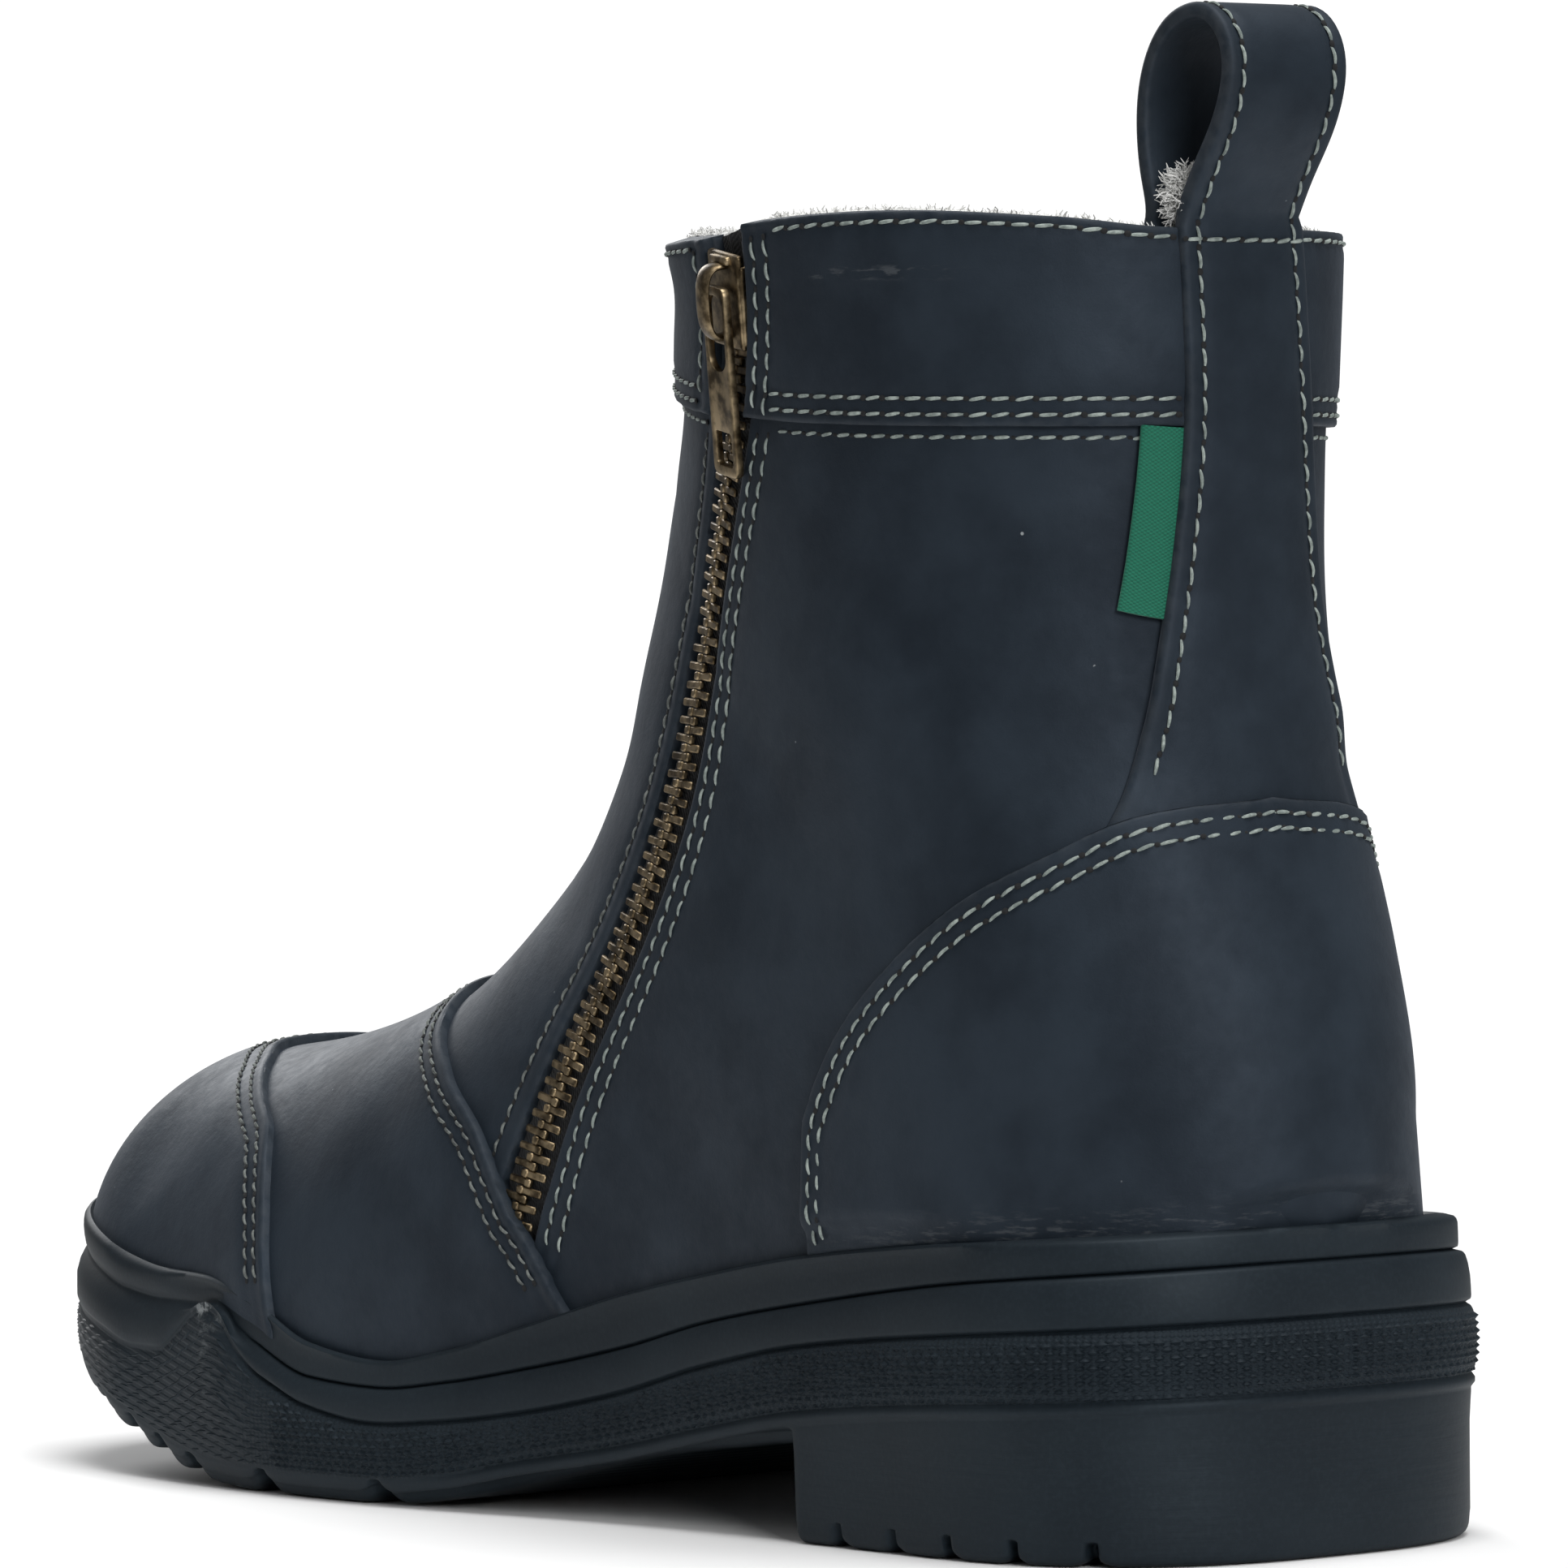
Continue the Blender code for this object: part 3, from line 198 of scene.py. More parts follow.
def graded(length: float, step: float, start: bool, end: bool) -> Array:
    """Shares along a length, closer together beside a cut edge.

    Args:
        length: millimetres from end to end.
        step: millimetres between the inner places.
        start: whether the first end is a cut edge.
        end: whether the last end is a cut edge.

    Returns:
        Rising shares from 0 to 1.
    """
    margin = np.array([0, 0.12, 0.35, 0.75, 1.3, 1.9, 2.6, 3.4, 4.3])
    first = margin if start else np.array([0])
    last = length - margin[::-1] if end else np.array([length])
    inner = np.linspace(first[-1], last[0], max(3, int(round((last[0] - first[-1]) / step)) + 1))
    return np.concatenate([first[:-1], inner, last[1:]]) / length


# The form of the boot

@dataclass(frozen=True)
class LastRow:
    """One section of the upper: ridge and keel in side view, half widths, widest depth and roundness."""

    ridge_y: float
    ridge_z: float
    keel_y: float
    keel_z: float
    lateral: float
    medial: float
    widest: float
    roundness: float


LAST_ROWS: dict[str, LastRow] = {
    "toe_tip": LastRow(-128.8, 24, -128.7, 20, 3.5, 3.5, 0.70, 0.90),
    "toe_wall": LastRow(-127.8, 36.5, -122, 19, 24.2, 25, 0.72, 0.85),
    "toe_crown": LastRow(-119.8, 50, -110.5, 17, 31.8, 33.2, 0.74, 0.83),
    "toe_top": LastRow(-107.5, 58, -95, 15, 37.4, 38.8, 0.76, 0.84),
    "cap_edge": LastRow(-91, 60.8, -77, 13.5, 40.6, 41.8, 0.76, 0.90),
    "ball": LastRow(-63, 65.5, -50, 13, 43, 43.2, 0.76, 0.95),
    "vamp": LastRow(-34, 76, -22, 14, 41.5, 40.6, 0.74, 1.00),
    "instep_low": LastRow(-13.5, 91, 6, 18, 38.5, 37, 0.70, 1.00),
    "instep": LastRow(-1, 106, 38, 25, 36.6, 35.4, 0.64, 1.00),
    "throat": LastRow(4.5, 125, 74, 30, 36.6, 35.8, 0.60, 1.00),
    "heel_seat": LastRow(7, 140, 110, 33, 36.2, 36, 0.57, 1.00),
    "heel_corner": LastRow(9.5, 150, 130, 35, 36, 36, 0.55, 0.95),
    "heel_back": LastRow(12.5, 157, 131.5, 58, 36.2, 36.2, 0.53, 0.92),
    "counter_top": LastRow(15.5, 163, 124, 95, 36.4, 36.4, 0.52, 0.90),
    "ankle": LastRow(18, 168.5, 118, 125, 36.9, 36.9, 0.50, 0.90),
    "shaft": LastRow(19.5, 172.5, 117.5, 152, 38.1, 38.1, 0.50, 0.90),
    "collar": LastRow(19, 175.5, 117.5, 173, 40, 40, 0.50, 0.90),
}


@dataclass(frozen=True)
class Outline:
    """Plan of the sole: half widths along its length and the power of its two round ends."""

    half_length: float = 136
    places: tuple[float, ...] = (-136, -92, -52, -20, 22, 62, 100, 136)
    lateral: tuple[float, ...] = (42, 44.5, 47.6, 46.4, 40.5, 39.5, 40, 40)
    medial: tuple[float, ...] = (44, 46, 47.7, 44.4, 37.5, 38, 40, 40)
    toe_start: float = -88
    toe_power: float = 2.05
    toe_trim: float = 1.4
    heel_start: float = 92
    heel_power: float = 2.7

    def half_width(self, y: Array, side: int, inset: Array | float = 0) -> Array:
        """Half width at y on one side, drawn in by an inset."""
        y = np.asarray(y, float)
        table = self.lateral if side > 0 else self.medial
        base = natural(self.places, table, np.clip(y, self.places[0], self.places[-1])) - inset
        toe_end, heel_end = self.toe_trim - self.half_length + inset, self.half_length - inset
        toe = np.clip((y - self.toe_start) / (toe_end - self.toe_start), 0, 1)
        heel = np.clip((y - self.heel_start) / (heel_end - self.heel_start), 0, 1)
        toe_share = (1 - toe ** self.toe_power) ** (1 / self.toe_power)
        return base * toe_share * (1 - heel ** self.heel_power) ** (1 / self.heel_power)

    def held(self, points: Array, inset: Array) -> Array:
        """Points drawn in where they pass the rear outline at an inset.

        Args:
            points: points behind the toe's turn.
            inset: distance inside the outline for each point.

        Returns:
            The points moved.
        """
        y = np.minimum(points[..., 1], self.heel_start)
        past = points[..., 1] - y
        half = np.where(points[..., 0] > 0, self.half_width(y, 1, 0), self.half_width(y, -1, 0)) - inset
        share = (np.abs(points[..., 0]) / half) ** self.heel_power
        share += (past / (self.half_length - self.heel_start - inset)) ** self.heel_power
        scale = np.maximum(share, 1) ** (-1 / self.heel_power)
        return np.stack([points[..., 0] * scale, y + past * scale, points[..., 2]], axis=-1)

    def stations(self, cap: int, side: int) -> Array:
        """Places round half the outline: -1 to 0 on the toe, 0 to 1 on the side, 1 to 2 on the heel."""
        toe = np.linspace(-1, 0, cap, endpoint=False)
        return np.concatenate([toe, np.linspace(0, 1, side, endpoint=False), 2 + toe + 1e-12, [2]])

    def run_y(self, station: Array, inset: Array | float) -> Array:
        """Place along the boot of each station on the outline drawn in by an inset."""
        toe_turn = np.sin(np.clip(-station, 0, 1) * math.pi / 2) ** (2 / self.toe_power)
        heel_turn = np.sin(np.clip(station - 1, 0, 1) * math.pi / 2) ** (2 / self.heel_power)
        toe = self.toe_start + (inset + self.toe_trim - self.half_length - self.toe_start) * toe_turn
        heel = self.heel_start + (self.half_length - inset - self.heel_start) * heel_turn
        side = self.toe_start + (self.heel_start - self.toe_start) * np.clip(station, 0, 1)
        return np.where(station < 0, toe, np.where(station > 1, heel, side))

    def ring(self, station: Array, inset: Array | float, z: Array, side: int) -> Array:
        """Points of one side of the outline, from the toe tip to the heel."""
        y = self.run_y(station, inset)
        x = side * self.half_width(y, side, inset)
        x[..., [0, -1]] = 0
        return np.stack([x, y, np.broadcast_to(z, y.shape)], axis=-1)


OUTLINE = Outline()


class Last:
    """The upper's outer surface as a fan of sections, each through a ridge point and a keel point."""

    OVERHANG = 6

    def __init__(self) -> None:
        """Lays the sections along one chain from the toe tip to the collar."""
        table = np.array([astuple(row) for row in LAST_ROWS.values()])
        step = np.hypot(*np.diff(table[:, :2], axis=0).T) + np.hypot(*np.diff(table[:, 2:4], axis=0).T)
        chain = np.concatenate(([0], np.cumsum(step)))
        self.table = table
        self.knots = chain / chain[-1]
        self.turn = list(LAST_ROWS).index("heel_corner")
        self.corner = float(self.knots[self.turn])
        self.dense = np.linspace(0, 1, 801)

    def keel_height(self, y: Array) -> Array:
        """Height of the feather line along the foot."""
        foot = self.table[:self.turn + 1]
        return monotone(foot[:, 2], foot[:, 3], y)

    def section(self, s: Array) -> Array:
        """Columns of the section table at each place s."""
        s = np.asarray(s, float)
        values = natural(self.knots, self.table, s)
        foot = natural(self.knots[:self.turn + 1], self.table[:self.turn + 1, 2], np.minimum(s, self.corner))
        back = natural(self.knots[self.turn:], self.table[self.turn:, 2:4], np.maximum(s, self.corner))
        values[..., 2] = np.where(s < self.corner, foot, back[..., 0])
        values[..., 3] = np.where(s < self.corner, self.keel_height(foot), back[..., 1])
        return values

    def width_and_end(self, s: Array, values: Array, side: int) -> tuple[Array, Array]:
        """Widest half width of each section and the angle at which it ends."""
        feather = OUTLINE.half_width(values[..., 2], side, self.OVERHANG)
        table_width = np.maximum(values[..., 4] if side > 0 else values[..., 5], 0.5)
        width = np.where(s >= self.corner, table_width, np.maximum(table_width, feather * 1.015 + 0.2))
        ratio = np.clip(feather / width, 0, 1) ** (1 / values[..., 7])
        return width, np.where(s >= self.corner, math.pi, math.pi - np.arcsin(ratio))

    def point(self, s: Array, share: Array) -> Array:
        """Points of the surface.

        Args:
            s: places along the chain of sections.
            share: 0 on the ridge, 1 at the lateral end of a section and -1 at its medial end.

        Returns:
            Points in millimetres.
        """
        s, share = np.broadcast_arrays(np.asarray(s, float), np.asarray(share, float))
        values = self.section(s)
        lateral_width, lateral_end = self.width_and_end(s, values, 1)
        medial_width, medial_end = self.width_and_end(s, values, -1)
        width = np.where(share >= 0, lateral_width, medial_width)
        end = np.where(share >= 0, lateral_end, medial_end)
        turn = np.abs(share) * math.pi
        widest = values[..., 6]
        front, back = widest * (1 - np.cos(turn)), widest - (1 - widest) * np.cos(turn)
        depth = np.where(turn < math.pi / 2, front, back)
        past = np.arccos(np.clip(np.cos(turn) * np.maximum(-np.cos(end), 1e-6), -1, 1))
        angle = np.where(turn < math.pi / 2, turn, past)
        x = np.sign(share) * width * np.abs(np.sin(angle)) ** values[..., 7]
        x = np.where((np.abs(share) >= 1) & (s >= self.corner), 0, x)
        y = values[..., 0] + (values[..., 2] - values[..., 0]) * depth
        z = values[..., 1] + (values[..., 3] - values[..., 1]) * depth
        return np.stack([x, y, z], axis=-1)

    def share_at(self, s: Array, depth: Array, side: int) -> Array:
        """Share of a section's turn at a depth from ridge to keel."""
        widest = self.section(s)[..., 6]
        front = np.arccos(np.clip(1 - depth / widest, -1, 1))
        back = np.arccos(np.clip((widest - depth) / (1 - widest), -1, 1))
        return side * np.where(depth < widest, front, back) / math.pi

    def locate(self, y: float, z: float, side: int) -> tuple[float, float]:
        """Section and share of the surface point seen at (y, z) from one side."""
        values = self.section(self.dense)
        run_y, run_z = values[:, 2] - values[:, 0], values[:, 3] - values[:, 1]
        turn = (y - values[:, 0]) * run_z - (z - values[:, 1]) * run_y
        k = np.flatnonzero(turn[:-1] * turn[1:] <= 0)[-1]
        place = self.dense[k] + turn[k] / (turn[k] - turn[k + 1]) * (self.dense[1] - self.dense[0])
        at = self.section(place)
        run = np.array([at[2] - at[0], at[3] - at[1]])
        depth = float(np.dot([y - at[0], z - at[1]], run) / np.dot(run, run))
        return float(place), float(self.share_at(place, np.array(depth), side))


LAST = Last()


@dataclass(frozen=True)
class Crease:
    """A soft trough or ridge in the leather, drawn in side view on one side."""

    line: Places
    side: Side
    rise: float
    width: float


CREASES = (
    Crease(((-104, 50), (-96, 45), (-90, 38)), Side.LATERAL, -0.9, 8),
    Crease(((-88, 57), (-80, 51), (-72, 43)), Side.LATERAL, 0.5, 6),
    Crease(((-62, 58), (-52, 50), (-44, 40)), Side.LATERAL, -0.5, 9),
    Crease(((-36, 64), (-30, 54), (-27, 42)), Side.LATERAL, -0.4, 8),
    Crease(((-6, 88), (4, 82), (14, 80)), Side.LATERAL, -0.7, 7),
    Crease(((4, 112), (16, 104), (28, 102)), Side.LATERAL, -0.6, 8),
    Crease(((48, 86), (62, 92), (78, 100)), Side.LATERAL, -0.7, 11),
    Crease(((56, 112), (74, 114), (92, 120)), Side.LATERAL, 0.5, 10),
    Crease(((30, 60), (40, 52), (52, 46)), Side.LATERAL, -0.5, 9),
    Crease(((-62, 58), (-54, 48), (-48, 36)), Side.MEDIAL, -0.8, 7),
    Crease(((-46, 64), (-38, 54), (-33, 42)), Side.MEDIAL, -0.7, 6.5),
    Crease(((0, 104), (16, 98), (34, 96)), Side.MEDIAL, -0.9, 8),
    Crease(((10, 122), (30, 116), (52, 116)), Side.MEDIAL, 0.6, 9),
    Crease(((50, 90), (66, 92), (82, 100)), Side.MEDIAL, -0.8, 11),
)


class Skin:
    """The last as a fine table of points and normals, eased round the heel and creased."""

    ROWS = 1001
    COLUMNS = 361
    PAD = 60
    FLARE = ((35, 2.2), (58, 1.5), (78, -0.6), (98, -2), (116, -1.5), (140, -0.3), (165, 0))
    ARCH = ((-1, 0), (0.405, 0), (0.475, 1.7), (0.64, 2.6), (0.81, 1.6), (0.93, 0.1), (1, 0))
    EASE_ROWS = 16
    EASE_REACH = 0.07

    def __init__(self, creases: Sequence[Crease]) -> None:
        """Tabulates the last.

        Args:
            creases: soft troughs and ridges to press in.
        """
        s = np.linspace(0, 1, self.ROWS)
        u = np.linspace(-1, 1, self.COLUMNS)
        points = LAST.point(s[:, None], u[None, :])
        weight = hump(s, LAST.corner, self.EASE_REACH)[:, None] * soft_step(np.abs(u), 0.45, 0.75)
        points += weight[..., None] * (self._eased(points) - points)
        closed = s >= LAST.corner
        for end, near in ((0, u < 0), (-1, u > 0)):
            pull = soft_step(np.abs(u), 0.7, 1) * near
            points[closed, :, 0] -= pull * points[closed, end, 0][:, None]
        flare = monotone(*zip(*self.FLARE), points[..., 2])
        points[..., 0] *= 1 + 0.012 * flare * soft_step(points[..., 1], 50, 100)
        points[..., 1] += flare * soft_step(points[..., 1], 60, 115)
        points[..., 2] += monotone(*zip(*self.ARCH), u) * soft_step(points[..., 2], 146, 172)
        self._fit(self._padded(points, s))
        lift = np.zeros(self.points.shape[:2])
        for crease in creases:
            lift += self._pressed(crease)
        self._fit(self.points + lift[..., None] * self.normals)

    def _eased(self, points: Array) -> Array:
        """Points averaged along the chain of sections."""
        reach = 3 * self.EASE_ROWS
        kernel = np.exp(-0.5 * (np.arange(-reach, reach + 1) / self.EASE_ROWS) ** 2)
        kernel /= kernel.sum()
        rows = np.arange(self.ROWS)
        total = np.zeros_like(points)
        for offset, part in zip(range(-reach, reach + 1), kernel):
            total += part * points[np.clip(rows + offset, 0, self.ROWS - 1)]
        return total

    def _padded(self, points: Array, s: Array) -> Array:
        """Table carried on past both ends of each section, round the back where sections are closed."""
        pad = self.PAD
        closed = (s >= LAST.corner)[:, None, None]
        before = np.where(closed, points[:, -1 - pad:-1], 2 * points[:, :1] - points[:, pad:0:-1])
        after = np.where(closed, points[:, 1:1 + pad], 2 * points[:, -1:] - points[:, -2:-2 - pad:-1])
        return np.concatenate([before, points, after], axis=1)

    def _fit(self, points: Array) -> None:
        """Keeps a table of points with its slopes and normals."""
        self.points = points
        self.along = np.gradient(points, 1 / (self.ROWS - 1), axis=0)
        self.across = np.gradient(points, 2 / (self.COLUMNS - 1), axis=1)
        self.normals = unit(np.cross(self.across, self.along))

    def _pressed(self, crease: Crease) -> Array:
        """Lift of one crease over the whole table."""
        side = crease.side.value
        ends = np.array([LAST.point(*LAST.locate(y, z, side)) for y, z in crease.line])
        path = natural(np.linspace(0, 1, len(ends)), ends, np.linspace(0, 1, 25))
        reach = 2.6 * crease.width
        low, high = path.min(axis=0) - reach, path.max(axis=0) + reach
        near = np.all((self.points > low) & (self.points < high), axis=-1)
        spots = self.points[near]
        apart = np.linalg.norm(spots[:, None, :] - path[None, :, :], axis=-1)
        fade = np.sin(np.linspace(0.12, math.pi - 0.12, len(path)))[apart.argmin(axis=1)]
        lift = np.zeros(self.points.shape[:2])
        lift[near] = crease.rise * fade * hump(apart.min(axis=1), 0, crease.width)
        return lift

    def read(self, table: Array, s: Array, u: Array) -> Array:
        """Values of a table between its nodes."""
        i = np.clip(np.asarray(s, float), 0, 1) * (self.ROWS - 1)
        j = np.clip((np.asarray(u, float) + 1) / 2 * (self.COLUMNS - 1) + self.PAD, 0, table.shape[1] - 1)
        i0, j0 = np.minimum(i.astype(int), self.ROWS - 2), np.minimum(j.astype(int), table.shape[1] - 2)
        fi, fj = (i - i0)[..., None], (j - j0)[..., None]
        low = table[i0, j0] * (1 - fj) + table[i0, j0 + 1] * fj
        high = table[i0 + 1, j0] * (1 - fj) + table[i0 + 1, j0 + 1] * fj
        return low * (1 - fi) + high * fi

    def at(self, s: Array, u: Array, lift: Array | float = 0) -> Array:
        """Points at a lift above the leather's face."""
        s, u, lift = np.broadcast_arrays(np.asarray(s, float), np.asarray(u, float), np.asarray(lift, float))
        return self.read(self.points, s, u) + lift[..., None] * self.read(self.normals, s, u)

    def normal(self, s: Array, u: Array) -> Array:
        """Directions out of the leather."""
        s, u = np.broadcast_arrays(np.asarray(s, float), np.asarray(u, float))
        return unit(self.read(self.normals, s, u))

    def crossing(self, s: Array, past: Callable[[Array, Array], Array], side: int) -> Array:
        """Share at which each section crosses a line of the side view, going down from the ridge.

        Args:
            s: places of the sections.
            past: function of (y, z) that is negative until the line is crossed.
            side: 1 for lateral, -1 for medial.

        Returns:
            Signed shares, 0 where even the ridge is past the line and 1 where nothing is.
        """
        count = 361
        u = np.linspace(0, 1, count)
        spots = self.at(np.asarray(s, float)[:, None], side * u[None, :])
        value = past(spots[..., 1], spots[..., 2])
        crossed = value >= 0
        k = np.clip(np.where(crossed.any(axis=1), crossed.argmax(axis=1), count - 1), 1, count - 1)
        rows = np.arange(len(k))
        before, after = value[rows, k - 1], value[rows, k]
        mix = np.clip(-before / np.maximum(after - before, 1e-9), 0, 1)
        share = np.where(crossed.any(axis=1), u[k - 1] + mix * (u[1] - u[0]), 1)
        return side * np.where(crossed[:, 0], 0, share)

    def level(self, z: float, side: int) -> "Line":
        """Level line at a height, from the middle of the back towards the ridge on one side."""
        first = int(0.35 * self.ROWS)
        u = side * np.linspace(1, 0.2, 220)
        s = np.linspace(0, 1, self.ROWS)[first:]
        heights = self.at(s[:, None], u[None, :])[..., 2]
        return Line(np.array([np.interp(z, column, s) for column in heights.T]), u)

    def slide(self, s: Array, u: Array, step: Array) -> tuple[Array, Array]:
        """Places reached from (s, u) by a small step along the surface."""
        a, b = self.read(self.along, s, u), self.read(self.across, s, u)
        aa, ab, bb = np.sum(a * a, -1), np.sum(a * b, -1), np.sum(b * b, -1)
        av, bv = np.sum(a * step, -1), np.sum(b * step, -1)
        scale = np.maximum(aa * bb - ab * ab, 1e-9)
        return s + (av * bb - bv * ab) / scale, u + (bv * aa - av * ab) / scale


SKIN = Skin(CREASES)


@dataclass(frozen=True)
class Line:
    """A path on the leather as sections and shares."""

    s: Array
    u: Array

    def points(self, lift: Array | float = 0) -> Array:
        """Points along the path at a lift."""
        return SKIN.at(self.s, self.u, lift)

    def normals(self) -> Array:
        """Directions out of the leather along the path."""
        return SKIN.normal(self.s, self.u)

    def shifted(self, distance: float) -> "Line":
        """Path moved sideways, to the left of its run as seen from outside."""
        s, u = self.s.copy(), self.u.copy()
        points, normals = self.points(), self.normals()
        way = np.cross(normals, frames_at(points, normals, arc_length(points), 1.5)[1])
        steps = max(1, int(math.ceil(abs(distance) / 0.8)))
        for _ in range(steps):
            normal = SKIN.normal(s, u)
            way = unit(way - np.sum(way * normal, axis=-1, keepdims=True) * normal)
            s, u = SKIN.slide(s, u, way * distance / steps)
        return Line(s, u)


def side_curve(line: Sequence[tuple[float, float]]) -> Callable[[Array], Array]:
    """Curve through (y, z) places of a seam, read as y at a height and held past its ends."""
    table = np.array(sorted(line, key=lambda place: place[1]))
    return lambda z: natural(table[:, 1], table[:, 0], np.clip(z, table[0, 1], table[-1, 1]))


# Heights of the sole's lines along the boot

@dataclass(frozen=True)
class SoleRow:
    """Heights of the sole's lines at one place: lip, groove, foot of the textured band and ground side."""

    y: float
    lip: float
    groove: float
    edge: float
    tread: float


SOLE_ROWS = (
    SoleRow(-136, 41, 35.5, 24, 20),
    SoleRow(-112, 37.2, 32, 17.6, 13.8),
    SoleRow(-100, 34.8, 29.6, 13.6, 9.8),
    SoleRow(-90, 32.6, 27.6, 10.4, 6.5),
    SoleRow(-78, 31, 26.6, 7, 3.1),
    SoleRow(-66, 30.6, 26.6, 4.6, 0.7),
    SoleRow(-52, 27.4, 21.6, 3.8, 0),
    SoleRow(-38, 22.2, 17.2, 3.6, 0),
    SoleRow(-22, 20.3, 16.4, 3.6, 0),
    SoleRow(-8, 22.4, 17.8, 4.8, 1.4),
    SoleRow(7, 26.2, 20.2, 7.4, 4.6),
    SoleRow(28, 31.6, 24.2, 10.6, 9),
    SoleRow(46, 35, 28.4, 14, 11.2),
    SoleRow(68, 38.4, 31.9, 17.6, 13),
    SoleRow(100, 41.3, 35.9, 20.2, 0),
    SoleRow(136, 43.2, 38.6, 21.8, 0),
)
TEXTURE_TOP = (
    (-136, 28), (-112, 24.2), (-96, 21.4), (-85, 19.2), (-78, 19.2), (-72, 22), (-67, 24.9),
    (-63, 26), (-59.5, 24.8), (-55.5, 21), (-50, 17.4), (-45, 15.6), (-38, 13.4), (-22, 11.5),
    (-8, 12.4), (7, 14.2), (28, 18), (46, 22.4), (68, 26.3), (100, 29.3), (136, 31.4),
)
HEEL_BREAST = 65


def sole_height(name: str, y: Array) -> Array:
    """Height of one line of the sole at places along the boot."""
    if name == "texture":
        return monotone(*zip(*TEXTURE_TOP), y)
    return monotone([row.y for row in SOLE_ROWS], [getattr(row, name) for row in SOLE_ROWS], y)


def lip_shares(drop: float) -> dict[int, Array]:
    """Share on every dense section at a drop below the lip of the sole, for both sides."""
    def below(y: Array, z: Array) -> Array:
        """How far a place of the side view lies below that line."""
        return sole_height("lip", y) - drop - z

    return {side: np.abs(SKIN.crossing(LAST.dense, below, side)) for side in (1, -1)}


TUCK = lip_shares(3)


def tuck_share(s: Array, side: int) -> Array:
    """Share at which a panel ends, tucked behind the lip of the sole."""
    return np.interp(s, LAST.dense, TUCK[side])


# Meshes

def cells_of(grid: Array) -> Array:
    """Four corners of each cell of a grid."""
    return np.stack([grid[:-1, :-1], grid[:-1, 1:], grid[1:, 1:], grid[1:, :-1]], axis=2)


def tidy_cells(quads: Array) -> list[list[int]]:
    """Faces from four-cornered cells, with repeated corners dropped."""
    rolled = np.roll(quads, 1, axis=1)
    whole = np.all(quads != rolled, axis=1) & (quads[:, 0] != quads[:, 2]) & (quads[:, 1] != quads[:, 3])
    cells = quads[whole].tolist()
    for loop in quads[~whole].tolist():
        cell = [v for k, v in enumerate(loop) if v != loop[k - 1]]
        if len(set(cell)) == len(cell) == 3:
            cells.append(cell)
    return cells


def facing_out(points: Array, faces: list[list[int]]) -> list[list[int]]:
    """Faces of a closed mesh turned to point outwards."""
    first = points[[f[0] for f in faces]]
    volume = 0
    for a, b in ((1, 2), (2, 3)):
        rows = np.array([(k, f[a], f[b]) for k, f in enumerate(faces) if len(f) > b])
        volume += float(np.sum(first[rows[:, 0]] * np.cross(points[rows[:, 1]], points[rows[:, 2]])))
    return faces if volume > 0 else [f[::-1] for f in faces]


def closed_shell(top: Array, under: Array, skip: Array | None = None) -> tuple[Array, list[list[int]], Array]:
    """Closed solid between two grids of points, with walls along its open edges.

    Args:
        top: grid of points of the outer face.
        under: matching grid of the inner face.
        skip: cells that stay open.

    Returns:
        Points, faces, and the grid index of each top point; inner points follow in the same order.
    """
    keys = np.round(top.reshape(-1, 3), 3)
    _, first, ids = np.unique(keys, axis=0, return_index=True, return_inverse=True)
    quads = cells_of(ids.reshape(top.shape[:2]))
    cells = tidy_cells(quads[~skip] if skip is not None else quads.reshape(-1, 4))
    count = len(first)
    pairs = np.array([(a, b) for cell in cells for a, b in zip(cell, cell[1:] + cell[:1])])
    rim = pairs[~np.isin(pairs[:, 0] * count + pairs[:, 1], pairs[:, 1] * count + pairs[:, 0])]
    faces = cells + [[v + count for v in cell[::-1]] for cell in cells]
    faces += [[b, a, a + count, b + count] for a, b in rim.tolist()]
    points = np.vstack([top.reshape(-1, 3)[first], under.reshape(-1, 3)[first]])
    return points, facing_out(points, faces), first


def linked(data: bpy.types.ID) -> Piece:
    """Object of a mesh, light or camera in the scene, under the same name."""
    made = bpy.data.objects.new(data.name, data)
    bpy.context.scene.collection.objects.link(made)
    return made


def shaded(mesh: bpy.types.Mesh, finish: Material, sharp: float) -> Piece:
    """Linked object of a mesh, shaded smooth up to an angle and given its finish."""
    mesh.shade_smooth()
    mesh.set_sharp_from_angle(angle=math.radians(sharp))
    mesh.materials.append(finish)
    return linked(mesh)


def make_piece(name: str, points: Array, faces: list[list[int]], finish: Material,
               masks: dict[str, Array] | None = None, sharp: float = 55) -> Piece:
    """Object from millimetre points.

    Args:
        name: name of the piece.
        points: points in millimetres.
        faces: corner numbers of each face.
        finish: its material.
        masks: named values at the points.
        sharp: degrees past which an edge is shaded sharp.

    Returns:
        The object, at the origin with its place in its mesh.
    """
    mesh = bpy.data.meshes.new(name)
    mesh.from_pydata((points * MM).tolist(), [], faces)
    for label, values in (masks or {}).items():
        layer = mesh.attributes.new(label, "FLOAT", "POINT")
        layer.data.foreach_set("value", np.ascontiguousarray(values, np.float32))
    return shaded(mesh, finish, sharp)


def from_bmesh(name: str, shape: Shape, finish: Material, place: Matrix | None = None,
               sharp: float = 40) -> Piece:
    """Object from a millimetre bmesh, used up, with its place applied to the mesh."""
    if place is not None:
        bmesh.ops.transform(shape, matrix=place, verts=shape.verts)
    bmesh.ops.recalc_face_normals(shape, faces=shape.faces)
    mesh = bpy.data.meshes.new(name)
    shape.to_mesh(mesh)
    shape.free()
    mesh.transform(Matrix.Scale(MM, 4))
    return shaded(mesh, finish, sharp)


